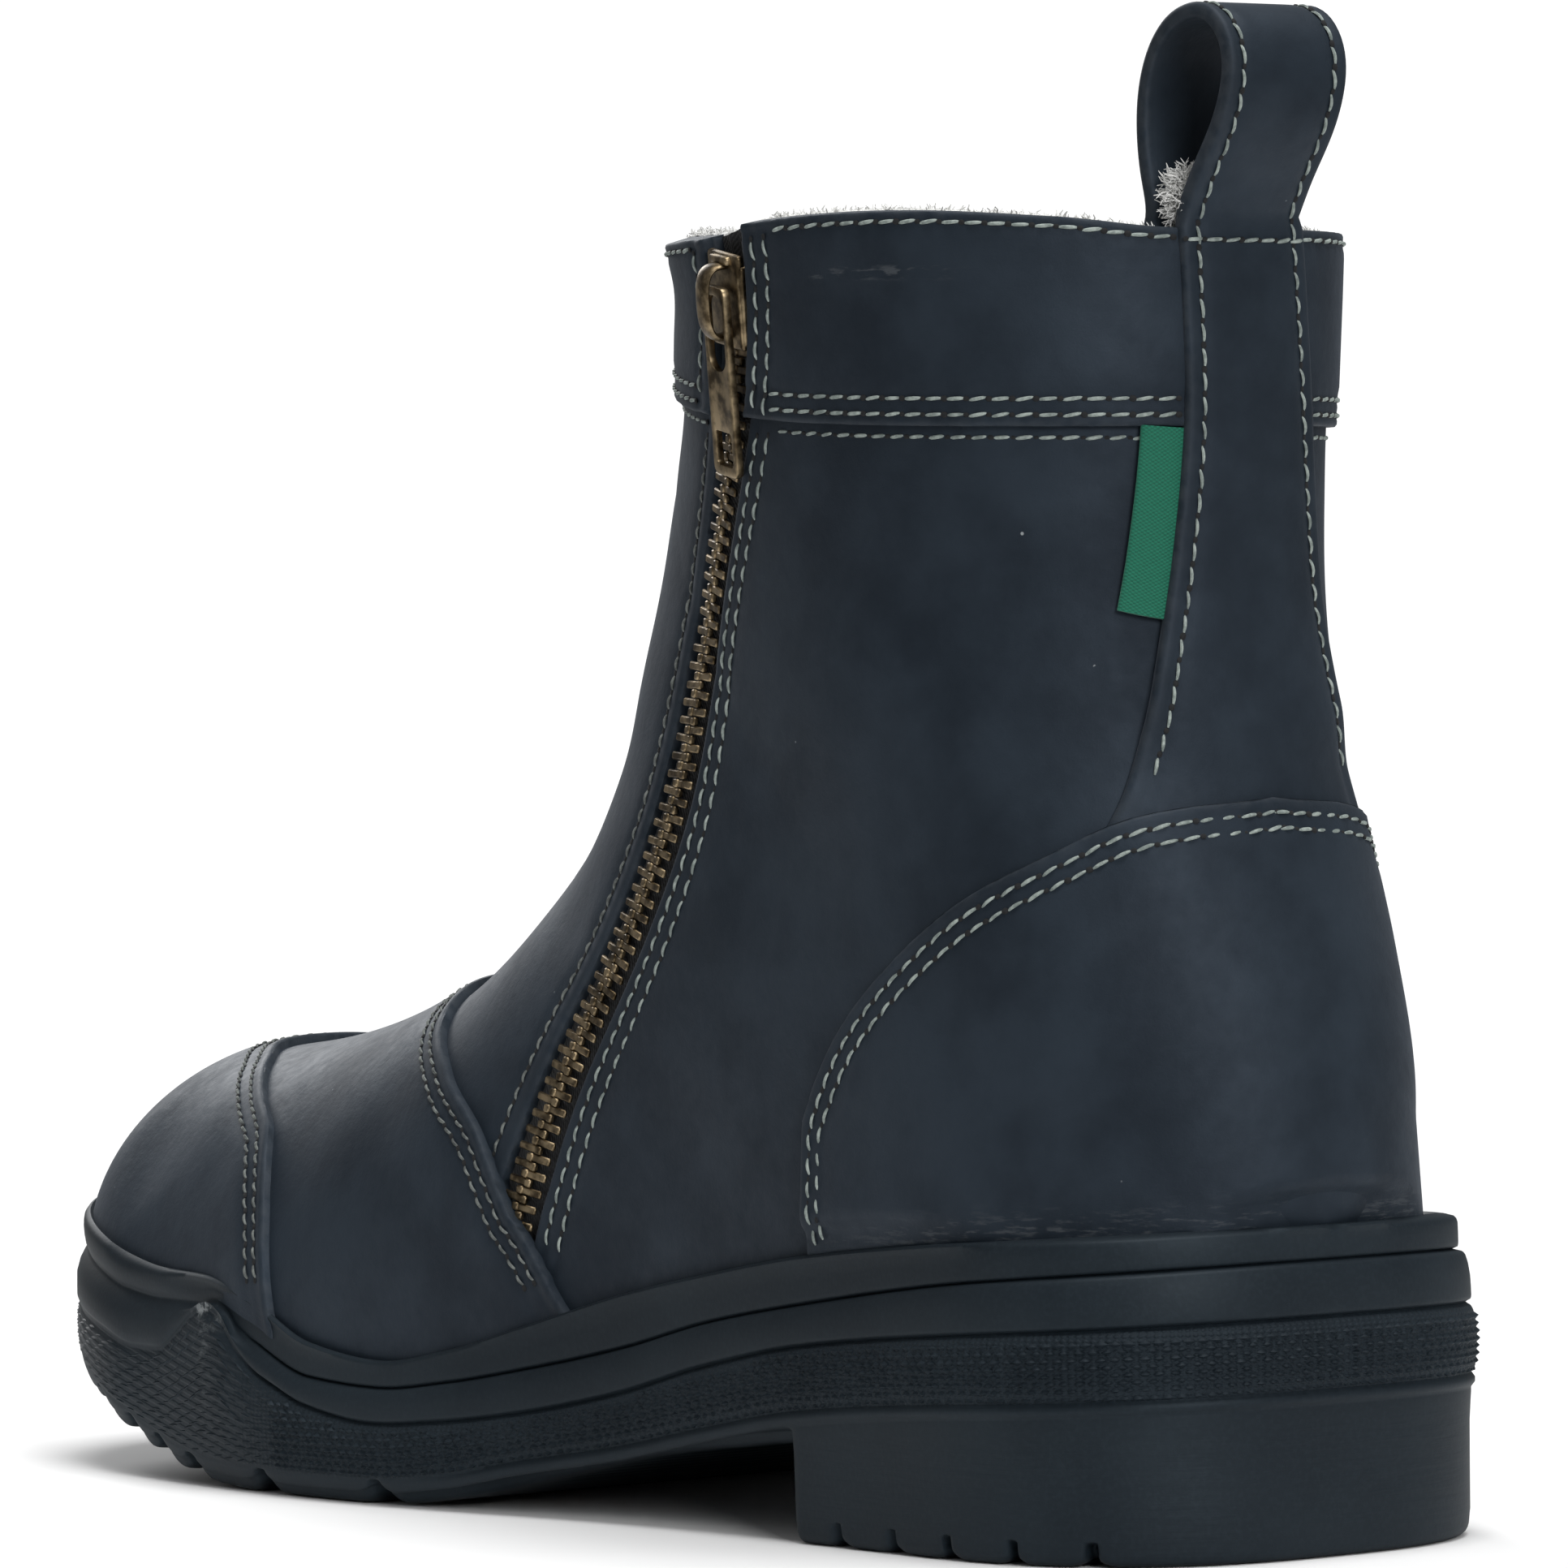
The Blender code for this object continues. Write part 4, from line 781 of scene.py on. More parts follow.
def settle(piece: Piece, body: Body, slot: Slot | None, *nodes: str) -> None:
    """Puts a piece on its body, hides the CAD nodes it stands for, and reports it."""
    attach(piece, body.value)
    if nodes:
        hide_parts(*nodes)
    LOG.info("%s: %d faces on %s", piece.name, len(piece.data.polygons), body.value)


# Node trees

class Tree:
    """A node tree that is filled through one method."""

    def __init__(self, tree: bpy.types.NodeTree) -> None:
        """Keeps the tree to fill."""
        self.tree = tree

    def node(self, kind: str, settings: dict | None = None, sockets: dict | None = None,
             out: int | str = 0) -> "Wire":
        """Adds a node.

        Args:
            kind: Blender's name of the node type.
            settings: properties, set first.
            sockets: values or wires by socket name or number.
            out: the output to carry on with.

        Returns:
            The chosen output.
        """
        made = self.tree.nodes.new(kind)
        for key, value in (settings or {}).items():
            setattr(made, key, value)
        for key, value in (sockets or {}).items():
            self.feed(made.inputs[key], value)
        return Wire(self, made.outputs[out])

    def feed(self, socket: Socket, value: object) -> None:
        """Sets a socket to a value or links a wire to it."""
        if isinstance(value, Wire):
            self.tree.links.new(value.socket, socket)
        elif isinstance(value, tuple) and socket.type == "RGBA":
            socket.default_value = (*value[:3], 1)
        else:
            socket.default_value = value


class Wire:
    """A node's output in an expression; arithmetic on it adds Math nodes."""

    def __init__(self, tree: Tree, socket: Socket) -> None:
        """Keeps the output and its tree."""
        self.tree = tree
        self.socket = socket

    def other(self, out: int | str) -> "Wire":
        """Another output of the same node."""
        return Wire(self.tree, self.socket.node.outputs[out])

    def maths(self, operation: str, *values: object) -> "Wire":
        """Math node over this output and further values."""
        sockets = dict(enumerate((self, *values)))
        return self.tree.node("ShaderNodeMath", {"operation": operation}, sockets)

    def _flipped(self, operation: str, first: float) -> "Wire":
        """Math node with a number before this output."""
        return self.tree.node("ShaderNodeMath", {"operation": operation}, {0: first, 1: self})

    def __add__(self, value: object) -> "Wire":
        """Sum."""
        return self.maths("ADD", value)

    def __radd__(self, value: float) -> "Wire":
        """Sum after a number."""
        return self._flipped("ADD", value)

    def __sub__(self, value: object) -> "Wire":
        """Difference."""
        return self.maths("SUBTRACT", value)

    def __rsub__(self, value: float) -> "Wire":
        """Difference from a number."""
        return self._flipped("SUBTRACT", value)

    def __mul__(self, value: object) -> "Wire":
        """Product."""
        return self.maths("MULTIPLY", value)

    def __rmul__(self, value: float) -> "Wire":
        """Product after a number."""
        return self._flipped("MULTIPLY", value)

    def sine(self) -> "Wire":
        """Sine."""
        return self.maths("SINE")

    def between(self, low: float, high: float) -> "Wire":
        """Soft step from 0 at low to 1 at high."""
        sockets = {"Value": self, "From Min": low, "From Max": high}
        return self.tree.node("ShaderNodeMapRange", {"interpolation_type": "SMOOTHSTEP"}, sockets)


class Coat(Tree):
    """A material under construction round one Principled shader."""

    def __init__(self, name: str) -> None:
        """Starts a material with its shader and object coordinates."""
        self.material = bpy.data.materials.new(name)
        self.material.use_nodes = True
        super().__init__(self.material.node_tree)
        self.shader = self.tree.nodes["Principled BSDF"]
        self.place = self.node("ShaderNodeTexCoord", out="Object")

    def set(self, **values: object) -> None:
        """Feeds the shader's sockets; underscores stand for spaces."""
        for name, value in values.items():
            self.feed(self.shader.inputs[name.replace("_", " ")], value)

    def noise(self, scale: float, detail: float = 2, rough: float = 0.5, where: Wire | None = None) -> Wire:
        """Cloudy noise at a scale per metre."""
        sockets = {"Vector": where or self.place, "Scale": scale, "Detail": detail, "Roughness": rough}
        return self.node("ShaderNodeTexNoise", None, sockets)

    def stretched(self, x: float, y: float, z: float) -> Wire:
        """Object coordinates scaled along each axis."""
        return self.node("ShaderNodeMapping", None, {"Vector": self.place, "Scale": (x, y, z)})

    def mask(self, name: str) -> Wire:
        """Named value of the mesh."""
        return self.node("ShaderNodeAttribute", {"attribute_name": name}, out="Fac")

    def blend(self, first: Wire | Colour, second: Wire | Colour, factor: Wire) -> Wire:
        """Mix of two colours."""
        return self.node("ShaderNodeMix", {"data_type": "RGBA"}, {0: factor, 6: first, 7: second}, 2)

    def bump(self, height: Wire, strength: float, depth: float, normal: Wire | None = None) -> Wire:
        """Bumped normal from a height in millimetres of depth."""
        sockets = {"Strength": strength, "Distance": depth * MM, "Height": height}
        if normal is not None:
            sockets["Normal"] = normal
        return self.node("ShaderNodeBump", None, sockets)


# Finishes

@dataclass(frozen=True)
class Nubuck:
    """Matt navy-black leather with a soft nap, paler where edges rub."""

    dark: Colour = (0.0058, 0.0096, 0.0142)
    pale: Colour = (0.0150, 0.0222, 0.0306)
    rubbed: Colour = (0.042, 0.048, 0.054)
    lint: Colour = (0.30, 0.32, 0.33)
    gleam: tuple[float, float, float, float] = (0.72, 0.82, 1, 1)
    roughness: float = 0.62

    def make(self) -> Material:
        """Builds the material."""
        coat = Coat("navy_nubuck")
        cloud, mottle = coat.noise(16, 3), coat.noise(75, 4, 0.6)
        nap, grain = coat.noise(520, 3, 0.6), coat.noise(2600, 2, 0.6)
        tone = (cloud * 0.5 + mottle * 0.5).between(0.36, 0.66)
        colour = coat.blend(self.dark, self.pale, tone)
        wear = coat.mask("wear") * nap.between(0.25, 0.7)
        colour = coat.blend(colour, self.rubbed, wear * 0.55)
        scrape = coat.noise(900, 3, 0.7, coat.stretched(0.25, 0.25, 1.6))
        colour = coat.blend(colour, self.rubbed, coat.mask("scuff") * scrape.between(0.5, 0.68))
        cells = coat.node("ShaderNodeTexVoronoi", None, {"Vector": coat.place, "Scale": 210})
        rare = coat.noise(260, 0).between(0.66, 0.70)
        colour = coat.blend(colour, self.lint, (1 - cells.between(0.03, 0.06)) * rare * 0.8)
        coat.set(Base_Color=colour, Roughness=self.roughness + (nap - 0.5) * 0.2 - (tone - 0.5) * 0.08)
        fine = coat.bump(grain, 0.22, 0.12)
        coat.set(Normal=coat.bump(nap * 0.6 + mottle * 0.4, 0.28, 0.35, fine))
        coat.set(Specular_IOR_Level=0.26, Specular_Tint=self.gleam, Sheen_Weight=0.04, Sheen_Roughness=0.4)
        coat.set(Sheen_Tint=self.gleam)
        return coat.material


@dataclass(frozen=True)
class Rubber:
    """Moulded black rubber: smooth bands, a knurled band, streaks on the heel and pale rub marks, the one on
    the wing's peak partly a painted highlight.
    """

    dark: Colour = (0.0052, 0.0082, 0.0114)
    pale: Colour = (0.0130, 0.0192, 0.0246)
    rub_and_highlight_pale: Colour = (0.17, 0.185, 0.19)
    gleam: tuple[float, float, float, float] = (0.74, 0.88, 1, 1)
    knurl_pitch: float = 1.25
    ridge_pitch: float = 1.45
    roughness: float = 0.57

    def make(self) -> Material:
        """Builds the material."""
        coat = Coat("moulded_rubber")
        where = coat.node("ShaderNodeUVMap", {"uv_map": "wrap"})
        split = coat.node("ShaderNodeSeparateXYZ", None, {0: where})
        run, rise = split, split.other("Y")
        turn = 2 * math.pi / (self.knurl_pitch * MM)
        one, two = (run * 0.6 + rise) * turn, (run * 0.6 - rise) * turn
        diamond = (one.sine() * two.sine()).between(-0.35, 0.9)
        ridge = ((rise + run * 0.22) * (2 * math.pi / (self.ridge_pitch * MM))).sine().between(-0.7, 0.8)
        knurl, ribs = coat.mask("knurl"), coat.mask("ribs")
        streak = coat.noise(60, 3, 0.6, coat.stretched(1, 1, 16))
        cloud, speck = coat.noise(30, 3), coat.noise(1400, 2, 0.6)
        tone = cloud.between(0.35, 0.7) * 0.6 + speck.between(0.4, 0.75) * 0.3
        colour = coat.blend(self.dark, self.pale, tone)
        # raised tops of the knurl and ribs are made a little paler
        high = knurl * diamond * 0.35 + ribs * ridge * 0.2
        # pale spots where the rubber is worn and scraped; on the wing's peak the pale spot is partly a
        # painted highlight of worn, shiny rubber
        rub = coat.mask("rub") * coat.noise(420, 4, 0.7).between(0.42, 0.66)
        colour = coat.blend(colour, self.rub_and_highlight_pale, (high * 0.08 + rub * 0.8).between(0, 1))
        rough = self.roughness + (cloud - 0.5) * 0.16 + knurl * 0.12 - rub * 0.12
        coat.set(Base_Color=colour, Roughness=rough)
        smooth = coat.bump(speck * 0.35 + streak * coat.mask("streak"), 0.3, 0.25)
        coat.set(Normal=coat.bump(high, 0.9, 0.42, smooth))
        coat.set(Specular_IOR_Level=0.22, Specular_Tint=self.gleam)
        return coat.material


@dataclass(frozen=True)
class Fleece:
    """Pale curly pile with darker bits."""

    pale: Colour = (0.74, 0.74, 0.72)
    grey: Colour = (0.24, 0.24, 0.235)

    def make(self) -> Material:
        """Builds the material."""
        coat = Coat("pale_fleece")
        curl, patch = coat.noise(900, 4, 0.7), coat.noise(90, 3, 0.6)
        shade = patch.between(0.5, 0.78) * 0.75 + curl.between(0.5, 0.8) * 0.25
        colour = coat.blend(self.pale, self.grey, shade)
        coat.set(Base_Color=colour, Roughness=1, Normal=coat.bump(curl, 0.8, 1.1))
        coat.set(Specular_IOR_Level=0.15, Sheen_Weight=0.3, Sheen_Roughness=0.6)
        return coat.material


@dataclass(frozen=True)
class PlainFinish:
    """A finish with a fine mottle between two tones."""

    name: str
    dark: Colour
    pale: Colour
    scale: float
    roughness: float
    metallic: float = 0
    depth: float = 0.1

    def make(self) -> Material:
        """Builds the material."""
        coat = Coat(self.name)
        mottle = coat.noise(self.scale, 3, 0.6)
        tone = mottle.between(0.32, 0.68)
        coat.set(Base_Color=coat.blend(self.dark, self.pale, tone))
        coat.set(Roughness=self.roughness + (mottle - 0.5) * 0.25, Metallic=self.metallic)
        coat.set(Normal=coat.bump(mottle, 0.4, self.depth))
        return coat.material


@dataclass(frozen=True)
class Woven:
    """Close woven tape or ribbon, with ribs that follow the strip's own coordinates."""

    name: str
    dark: Colour
    pale: Colour
    across: float
    along: float
    roughness: float = 0.85

    def make(self) -> Material:
        """Builds the material."""
        coat = Coat(self.name)
        where = coat.node("ShaderNodeUVMap", {"uv_map": "wrap"})
        split = coat.node("ShaderNodeSeparateXYZ", None, {0: where})
        warp = (split * (2 * math.pi / (self.across * MM))).sine()
        weft = (split.other("Y") * (2 * math.pi / (self.along * MM))).sine()
        weave = (warp * weft).between(-1, 1)
        fuzz = coat.noise(1800, 2)
        colour = coat.blend(self.dark, self.pale, weave * 0.7 + fuzz * 0.3)
        coat.set(Base_Color=colour, Roughness=self.roughness)
        coat.set(Normal=coat.bump(weave + fuzz * 0.3, 0.6, 0.16), Specular_IOR_Level=0.3, Sheen_Weight=0.15)
        return coat.material


@dataclass(frozen=True)
class Floor:
    """Pale paper that fades into the background away from the boot."""

    tone: Colour = (0.84, 0.84, 0.84)
    fade_start: float = 0.28
    fade_end: float = 0.75

    def make(self) -> Material:
        """Builds the material."""
        coat = Coat("pale_floor")
        away = coat.node("ShaderNodeVectorMath", {"operation": "LENGTH"}, {0: coat.place}, "Value")
        coat.set(Base_Color=self.tone, Roughness=0.9, Alpha=1 - away.between(self.fade_start, self.fade_end))
        return coat.material


class Finishes:
    """Every finish of the boot, made once."""

    def __init__(self) -> None:
        """Makes the materials."""
        self.leather = Nubuck().make()
        self.rubber = Rubber().make()
        self.fleece = Fleece().make()
        self.thread = PlainFinish("waxed_thread", (0.13, 0.158, 0.148), (0.30, 0.345, 0.32), 900, 0.65).make()
        # painted shade: a darker copy of the waxed thread, for the stitches at the front of the zip and on
        # the toe cap and vamp
        dim = ("dark_thread", (0.045, 0.052, 0.05), (0.15, 0.165, 0.155), 900, 0.7)
        self.shade_painted_thread = PlainFinish(*dim).make()
        # near-black dots of painted shade that stand for the needle holes
        self.hole_shade = PlainFinish("needle_hole", (0.003, 0.003, 0.004), (0.006, 0.007, 0.008), 900, 0.9).make()
        brass = ("antique_brass", (0.060, 0.043, 0.024), (0.33, 0.255, 0.155), 420, 0.4)
        self.brass = PlainFinish(*brass, metallic=1, depth=0.05).make()
        self.tape = Woven("zip_weave", (0.006, 0.006, 0.007), (0.022, 0.023, 0.025), 0.9, 0.7).make()
        green = ("green_ribbon", (0.001, 0.070, 0.040), (0.003, 0.145, 0.084), 0.7, 0.5, 0.75)
        self.ribbon = Woven(*green).make()


# Repeats

class Repeat:
    """A Geometry Nodes tree that sets one small shape on many points or over a surface."""

    def __init__(self, name: str, spread: bool) -> None:
        """Builds the tree.

        Args:
            name: name of the tree.
            spread: scatter over faces, instead of on points that carry along and out directions.
        """
        group = bpy.data.node_groups.new(name, "GeometryNodeTree")
        tree = Tree(group)
        ask = group.interface.new_socket
        ask("Geometry", in_out="INPUT", socket_type="NodeSocketGeometry")
        kinds = {"Shape": "Object", "Finish": "Material", "Size": "Float", "Swell": "Float", "Turn": "Float",
                 "Lean": "Float", "Density": "Float", "Seed": "Int"}
        self.inputs = {key: ask(key, in_out="INPUT", socket_type=f"NodeSocket{kind}").identifier
                       for key, kind in kinds.items()}
        ask("Geometry", in_out="OUTPUT", socket_type="NodeSocketGeometry")
        start = tree.node("NodeGroupInput", out="Geometry")
        seed = start.other("Seed")
        if spread:
            sockets = {"Mesh": start, "Density": start.other("Density"), "Seed": seed}
            points = tree.node("GeometryNodeDistributePointsOnFaces", None, sockets)
            facing = points.other("Rotation")
        else:
            points = start
            kind = {"data_type": "FLOAT_VECTOR"}
            axes = [tree.node("GeometryNodeInputNamedAttribute", kind, {"Name": label})
                    for label in ("out", "along")]
            settings = {"primary_axis": "Z", "secondary_axis": "X"}
            facing = tree.node("FunctionNodeAxesToRotation", settings, {0: axes[0], 1: axes[1]})

        def chance(reach: Wire, shift: int, middle: float = 0) -> Wire:
            """Random number within a reach of a middle value."""
            sockets = {2: middle - reach, 3: middle + reach, 8: seed + shift}
            return tree.node("FunctionNodeRandomValue", {"data_type": "FLOAT"}, sockets, 1)

        lean, turn = start.other("Lean"), start.other("Turn")
        angles = {"X": chance(lean, 1), "Y": chance(lean, 2), "Z": chance(turn, 3)}
        euler = tree.node("ShaderNodeCombineXYZ", None, angles)
        by = tree.node("FunctionNodeEulerToRotation", None, {0: euler})
        sockets = {"Rotation": facing, "Rotate By": by}
        facing = tree.node("FunctionNodeRotateRotation", {"rotation_space": "LOCAL"}, sockets)
        shape = tree.node("GeometryNodeObjectInfo", None, {"Object": start.other("Shape")}, "Geometry")
        size = start.other("Size") * chance(start.other("Swell"), 4, 1.0)
        sockets = {"Points": points, "Instance": shape, "Rotation": facing, "Scale": size}
        many = tree.node("GeometryNodeInstanceOnPoints", None, sockets)
        real = tree.node("GeometryNodeRealizeInstances", None, {0: many})
        even = tree.node("GeometryNodeSetShadeSmooth", None, {"Geometry": real})
        sockets = {"Geometry": even, "Material": start.other("Finish")}
        done = tree.node("GeometryNodeSetMaterial", None, sockets)
        group.links.new(done.socket, group.nodes.new("NodeGroupOutput").inputs[0])
        self.group = group

    def lay(self, name: str, bed: Piece, shape: Piece, values: dict[str, object]) -> Piece:
        """Runs the tree and keeps its result as a plain mesh.

        Args:
            name: name of the piece.
            bed: points or surface that carries the shapes, used up.
            shape: the shape to repeat, used up.
            values: sizes by the tree's input names.

        Returns:
            The finished piece.
        """
        step = bed.modifiers.new(self.group.name, "NODES")
        step.node_group = self.group
        for key, value in {**values, "Shape": shape}.items():
            step[self.inputs[key]] = value
        bpy.context.view_layer.update()
        ready = bed.evaluated_get(bpy.context.evaluated_depsgraph_get())
        mesh = bpy.data.meshes.new_from_object(ready)
        mesh.name = name
        bed.modifiers.remove(step)
        for spent in (bed, shape):
            bpy.data.objects.remove(spent)
        return linked(mesh)


def point_bed(points: Array, along: Array, out: Array) -> Piece:
    """Loose points in millimetres with the two directions that a repeat follows."""
    mesh = bpy.data.meshes.new("bed")
    mesh.from_pydata((points * MM).tolist(), [], [])
    for label, values in (("along", along), ("out", out)):
        layer = mesh.attributes.new(label, "FLOAT_VECTOR", "POINT")
        layer.data.foreach_set("vector", np.ascontiguousarray(values, np.float32).ravel())
    return linked(mesh)


def swept_bar(path: Array, radii: Array, sides: int, flat: float = 1) -> Shape:
    """Rounded bar along a path in the X-Z plane, in millimetres.

    Args:
        path: points (x, z) along it.
        radii: radius at each point.
        sides: corners of its section.
        flat: thickness against width.

    Returns:
        A closed bmesh.
    """
    shape = bmesh.new()
    rings = []
    run = unit(np.gradient(path, axis=0))
    for (x, z), (run_x, run_z), radius in zip(path, run, radii):
        ring = []
        for k in range(sides):
            turn = 2 * math.pi * k / sides
            lift = radius * flat * math.sin(turn)
            ring.append(shape.verts.new((x - run_z * lift, radius * math.cos(turn), z + run_x * lift)))
        rings.append(ring)
    for one, two in zip(rings, rings[1:]):
        for k in range(sides):
            shape.faces.new((one[k], one[(k + 1) % sides], two[(k + 1) % sides], two[k]))
    shape.faces.new(rings[0][::-1])
    shape.faces.new(rings[-1])
    return shape


@dataclass
class Thread:
    """Every stitch of the boot: slanted dashes between near-black dots of painted shade that stand for the
    needle holes.
    """

    pitch: float = 3.15
    length: float = 2.45
    radius: float = 0.25
    arch: float = 0.34
    sunk: float = 0.16
    hole_depth: float = 0.06
    slant: float = 7
    name: str = "stitches"
    points: list[Array] = field(default_factory=list)
    along: list[Array] = field(default_factory=list)
    out: list[Array] = field(default_factory=list)

    def sew(self, points: Array, normals: Array) -> None:
        """Sets stitches along a row.

        Args:
            points: closely spaced points of the row, on the surface.
            normals: directions out of the surface there.
        """
        reach = arc_length(points)[-1]
        count = max(1, int(round(reach / self.pitch)))
        middles = (np.arange(count) + 0.5) * reach / count
        for kept, found in zip((self.points, self.along, self.out), frames_at(points, normals, middles, 0.4)):
            kept.append(found)

    def run(self, line: Line, lift: Array | float, start: float = 0, end: float = 0) -> None:
        """Sets stitches along a line of the leather, leaving millimetres free at its ends."""
        points, normals = line.points(lift), line.normals()
        reach = arc_length(points)
        inside = (reach >= start) & (reach <= reach[-1] - end)
        self.sew(points[inside], normals[inside])

    def build(self, repeat: Repeat, finishes: Finishes, colour: Material) -> None:
        """Makes the dashes and, at their ends, near-black dots of painted shade that stand for the needle
        holes.

        Args:
            repeat: tree that sets a shape on points.
            finishes: the finishes.
            colour: finish of the thread.
        """
        points, along, out = np.vstack(self.points), np.vstack(self.along), np.vstack(self.out)
        x = np.linspace(-0.5, 0.5, 6) * self.length
        arch = self.arch * (1 - (2 * x / self.length) ** 2) - self.sunk
        radii = self.radius * np.array([0.55, 0.9, 1, 1, 0.9, 0.55])
        dash = swept_bar(np.stack([x, arch], axis=1), radii, 6, 0.8)
        turn = Matrix.Rotation(math.radians(self.slant), 4, "Z")
        shape = from_bmesh("dash", dash, colour, turn)
        values = {"Finish": colour, "Size": 1.0, "Swell": 0.07, "Turn": 0.07, "Lean": 0.03, "Seed": 11}
        piece = repeat.lay(self.name, point_bed(points, along, out), shape, values)
        settle(piece, Body.BOOT, None)
        # near-black dots at the ends of the dashes: painted shade for the needle holes
        x = np.array([-0.42, -0.2, 0.2, 0.42])
        dot = swept_bar(np.stack([x, 0 * x], axis=1), np.array([0.18, 0.36, 0.36, 0.18]), 6, 0.5)
        shape = from_bmesh("dot", dot, finishes.hole_shade)
        ends = points + along * self.pitch / 2 - self.hole_depth * out
        values = {"Finish": finishes.hole_shade, "Size": 1.0, "Swell": 0.15, "Turn": 0.2, "Lean": 0.0, "Seed": 12}
        piece = repeat.lay(self.name + "_holes", point_bed(ends, along, out), shape, values)
        settle(piece, Body.BOOT, None)


# Leather panels

@dataclass(frozen=True)
class Cut:
    """A cut edge of a panel with its stitch rows."""

    line: Line
    rows: tuple[float, ...] = ()


def dropped(points: Array, out: Array, fall: Array, deeper: float) -> Array:
    """Points let down to the sole, opening out a little and then kept inside its lip.

    Args:
        points: points on the last.
        out: directions out of the leather.
        fall: how far each is let down.
        deeper: further distance inside the lip.

    Returns:
        The points moved.
    """
    slope, tuck = 0.055, 5
    points = points + fall[..., None] * (slope * out - (0, 0, 1))
    clear = 2.6 + 1.7 * soft_step(points[..., 1], 75, 115)
    over = points[..., 2] - sole_height("lip", points[..., 1])
    inset = clear + deeper - 14 * soft_step(over, 2, 14) + tuck * soft_step(-over, 0.2, 3)
    return OUTLINE.held(points, inset)


@dataclass
class Panel:
    """A leather panel on the last, with rounded cut edges and pressed stitch rows.

    Args:
        name: name of the piece.
        s: grid of sections.
        u: grid of shares.
        cuts: visible edges.
        thick: lift of its face.
        base: lift of its underside.
        skip: cells that stay open.
        extra: further lift of the face over the grid.
        fall: how far points lie straight below their place on the last.
    """

    name: str
    s: Array
    u: Array
    cuts: Sequence[Cut]
    thick: float = 1.75
    base: float = -0.4
    skip: Array | None = None
    extra: Array | None = None
    fall: Array | None = None
    edge_round: float = 0.75
    press: float = 0.3
    press_width: float = 0.95
    row_rise: float = 0

    def lift(self) -> tuple[Array, Array]:
        """Lift of the face and the wear mask over the grid."""
        flat = SKIN.at(self.s, self.u).reshape(-1, 3)
        lift = np.full(len(flat), float(self.thick))
        if self.extra is not None:
            lift += self.extra.ravel()
        wear = np.zeros(len(flat))
        for cut in self.cuts:
            apart = distance_to(flat, cut.line.points())
            lift -= rounding(apart, self.edge_round)
            for row in cut.rows:
                lift -= self.press * hump(apart, row, self.press_width)
            wear = np.maximum(wear, np.exp(-apart / WEAR_REACH))
        return lift.reshape(self.s.shape), wear.reshape(self.s.shape)

    def build(self, finish: Material, scuff: Array | None = None) -> Piece:
        """Makes the panel's closed mesh."""
        lift, wear = self.lift()
        top, under = SKIN.at(self.s, self.u, lift), SKIN.at(self.s, self.u, self.base)
        if self.fall is not None:
            out = SKIN.normal(self.s, self.u)
            top, under = dropped(top, out, self.fall, 0), dropped(under, out, self.fall, 1.5)
        points, faces, first = closed_shell(top, under, self.skip)
        given = {"wear": wear} if scuff is None else {"wear": wear, "scuff": scuff}
        masks = {key: np.concatenate([m.ravel()[first], np.zeros(len(first))]) for key, m in given.items()}
        return make_piece(self.name, points, faces, finish, masks)

    def thread_lift(self) -> float:
        """Lift of the thread over its pressed rows."""
        return self.thick + self.row_rise - self.press + THREAD_LIFT

    def sew(self, thread: Thread, cut: Cut, inward: int, start: float = 1, end: float = 1) -> None:
        """Stitches the rows of one cut edge.

        Args:
            thread: the stitches of the boot.
            cut: the edge.
            inward: 1 where the panel is to the left of the edge's run, -1 to the right.
            start: millimetres left free at the first end.
            end: millimetres left free at the last end.
        """
        for row in cut.rows:
            thread.run(cut.line.shifted(inward * row), self.thread_lift(), start, end)


def distance_to(points: Array, path: Array) -> Array:
    """Distance from each point to a path."""
    reach = arc_length(path)
    even = np.linspace(0, reach[-1], max(2, int(reach[-1] / 0.3)))
    spots = at_reach(even, reach, path)
    tree = KDTree(len(spots))
    for k, spot in enumerate(spots):
        tree.insert(spot, k)
    tree.balance()
    return np.array([tree.find(p)[2] for p in points])


@dataclass
class ZipLine:
    """Where the zip runs on the outer side, from its foot under the vamp to the collar."""

    side_view: Places = (
        (59, 172), (54.5, 152), (47.5, 138), (40, 120),
        (35.5, 100), (26.5, 82), (14.5, 65), (6, 48), (2, 38.5))
    slot_half: float = 4.9

    def __post_init__(self) -> None:
        """Finds the centre line."""
        curve = side_curve(self.side_view)
        self.foot = LAST.locate(*self.side_view[-1], 1)[0]
        s = np.linspace(self.foot, 1, 400)
        self.centre = Line(s, SKIN.crossing(s, lambda y, z: y - curve(z), 1))

    def beside(self, offset: float) -> Line:
        """Line at a distance from the centre, positive towards the heel."""
        return self.centre.shifted(-offset)

    def share(self, s: Array, offset: float) -> Array:
        """Share of such a line on given sections, held below the zip's foot."""
        line = self.beside(offset)
        return np.interp(s, line.s, line.u)


ZIP = ZipLine()


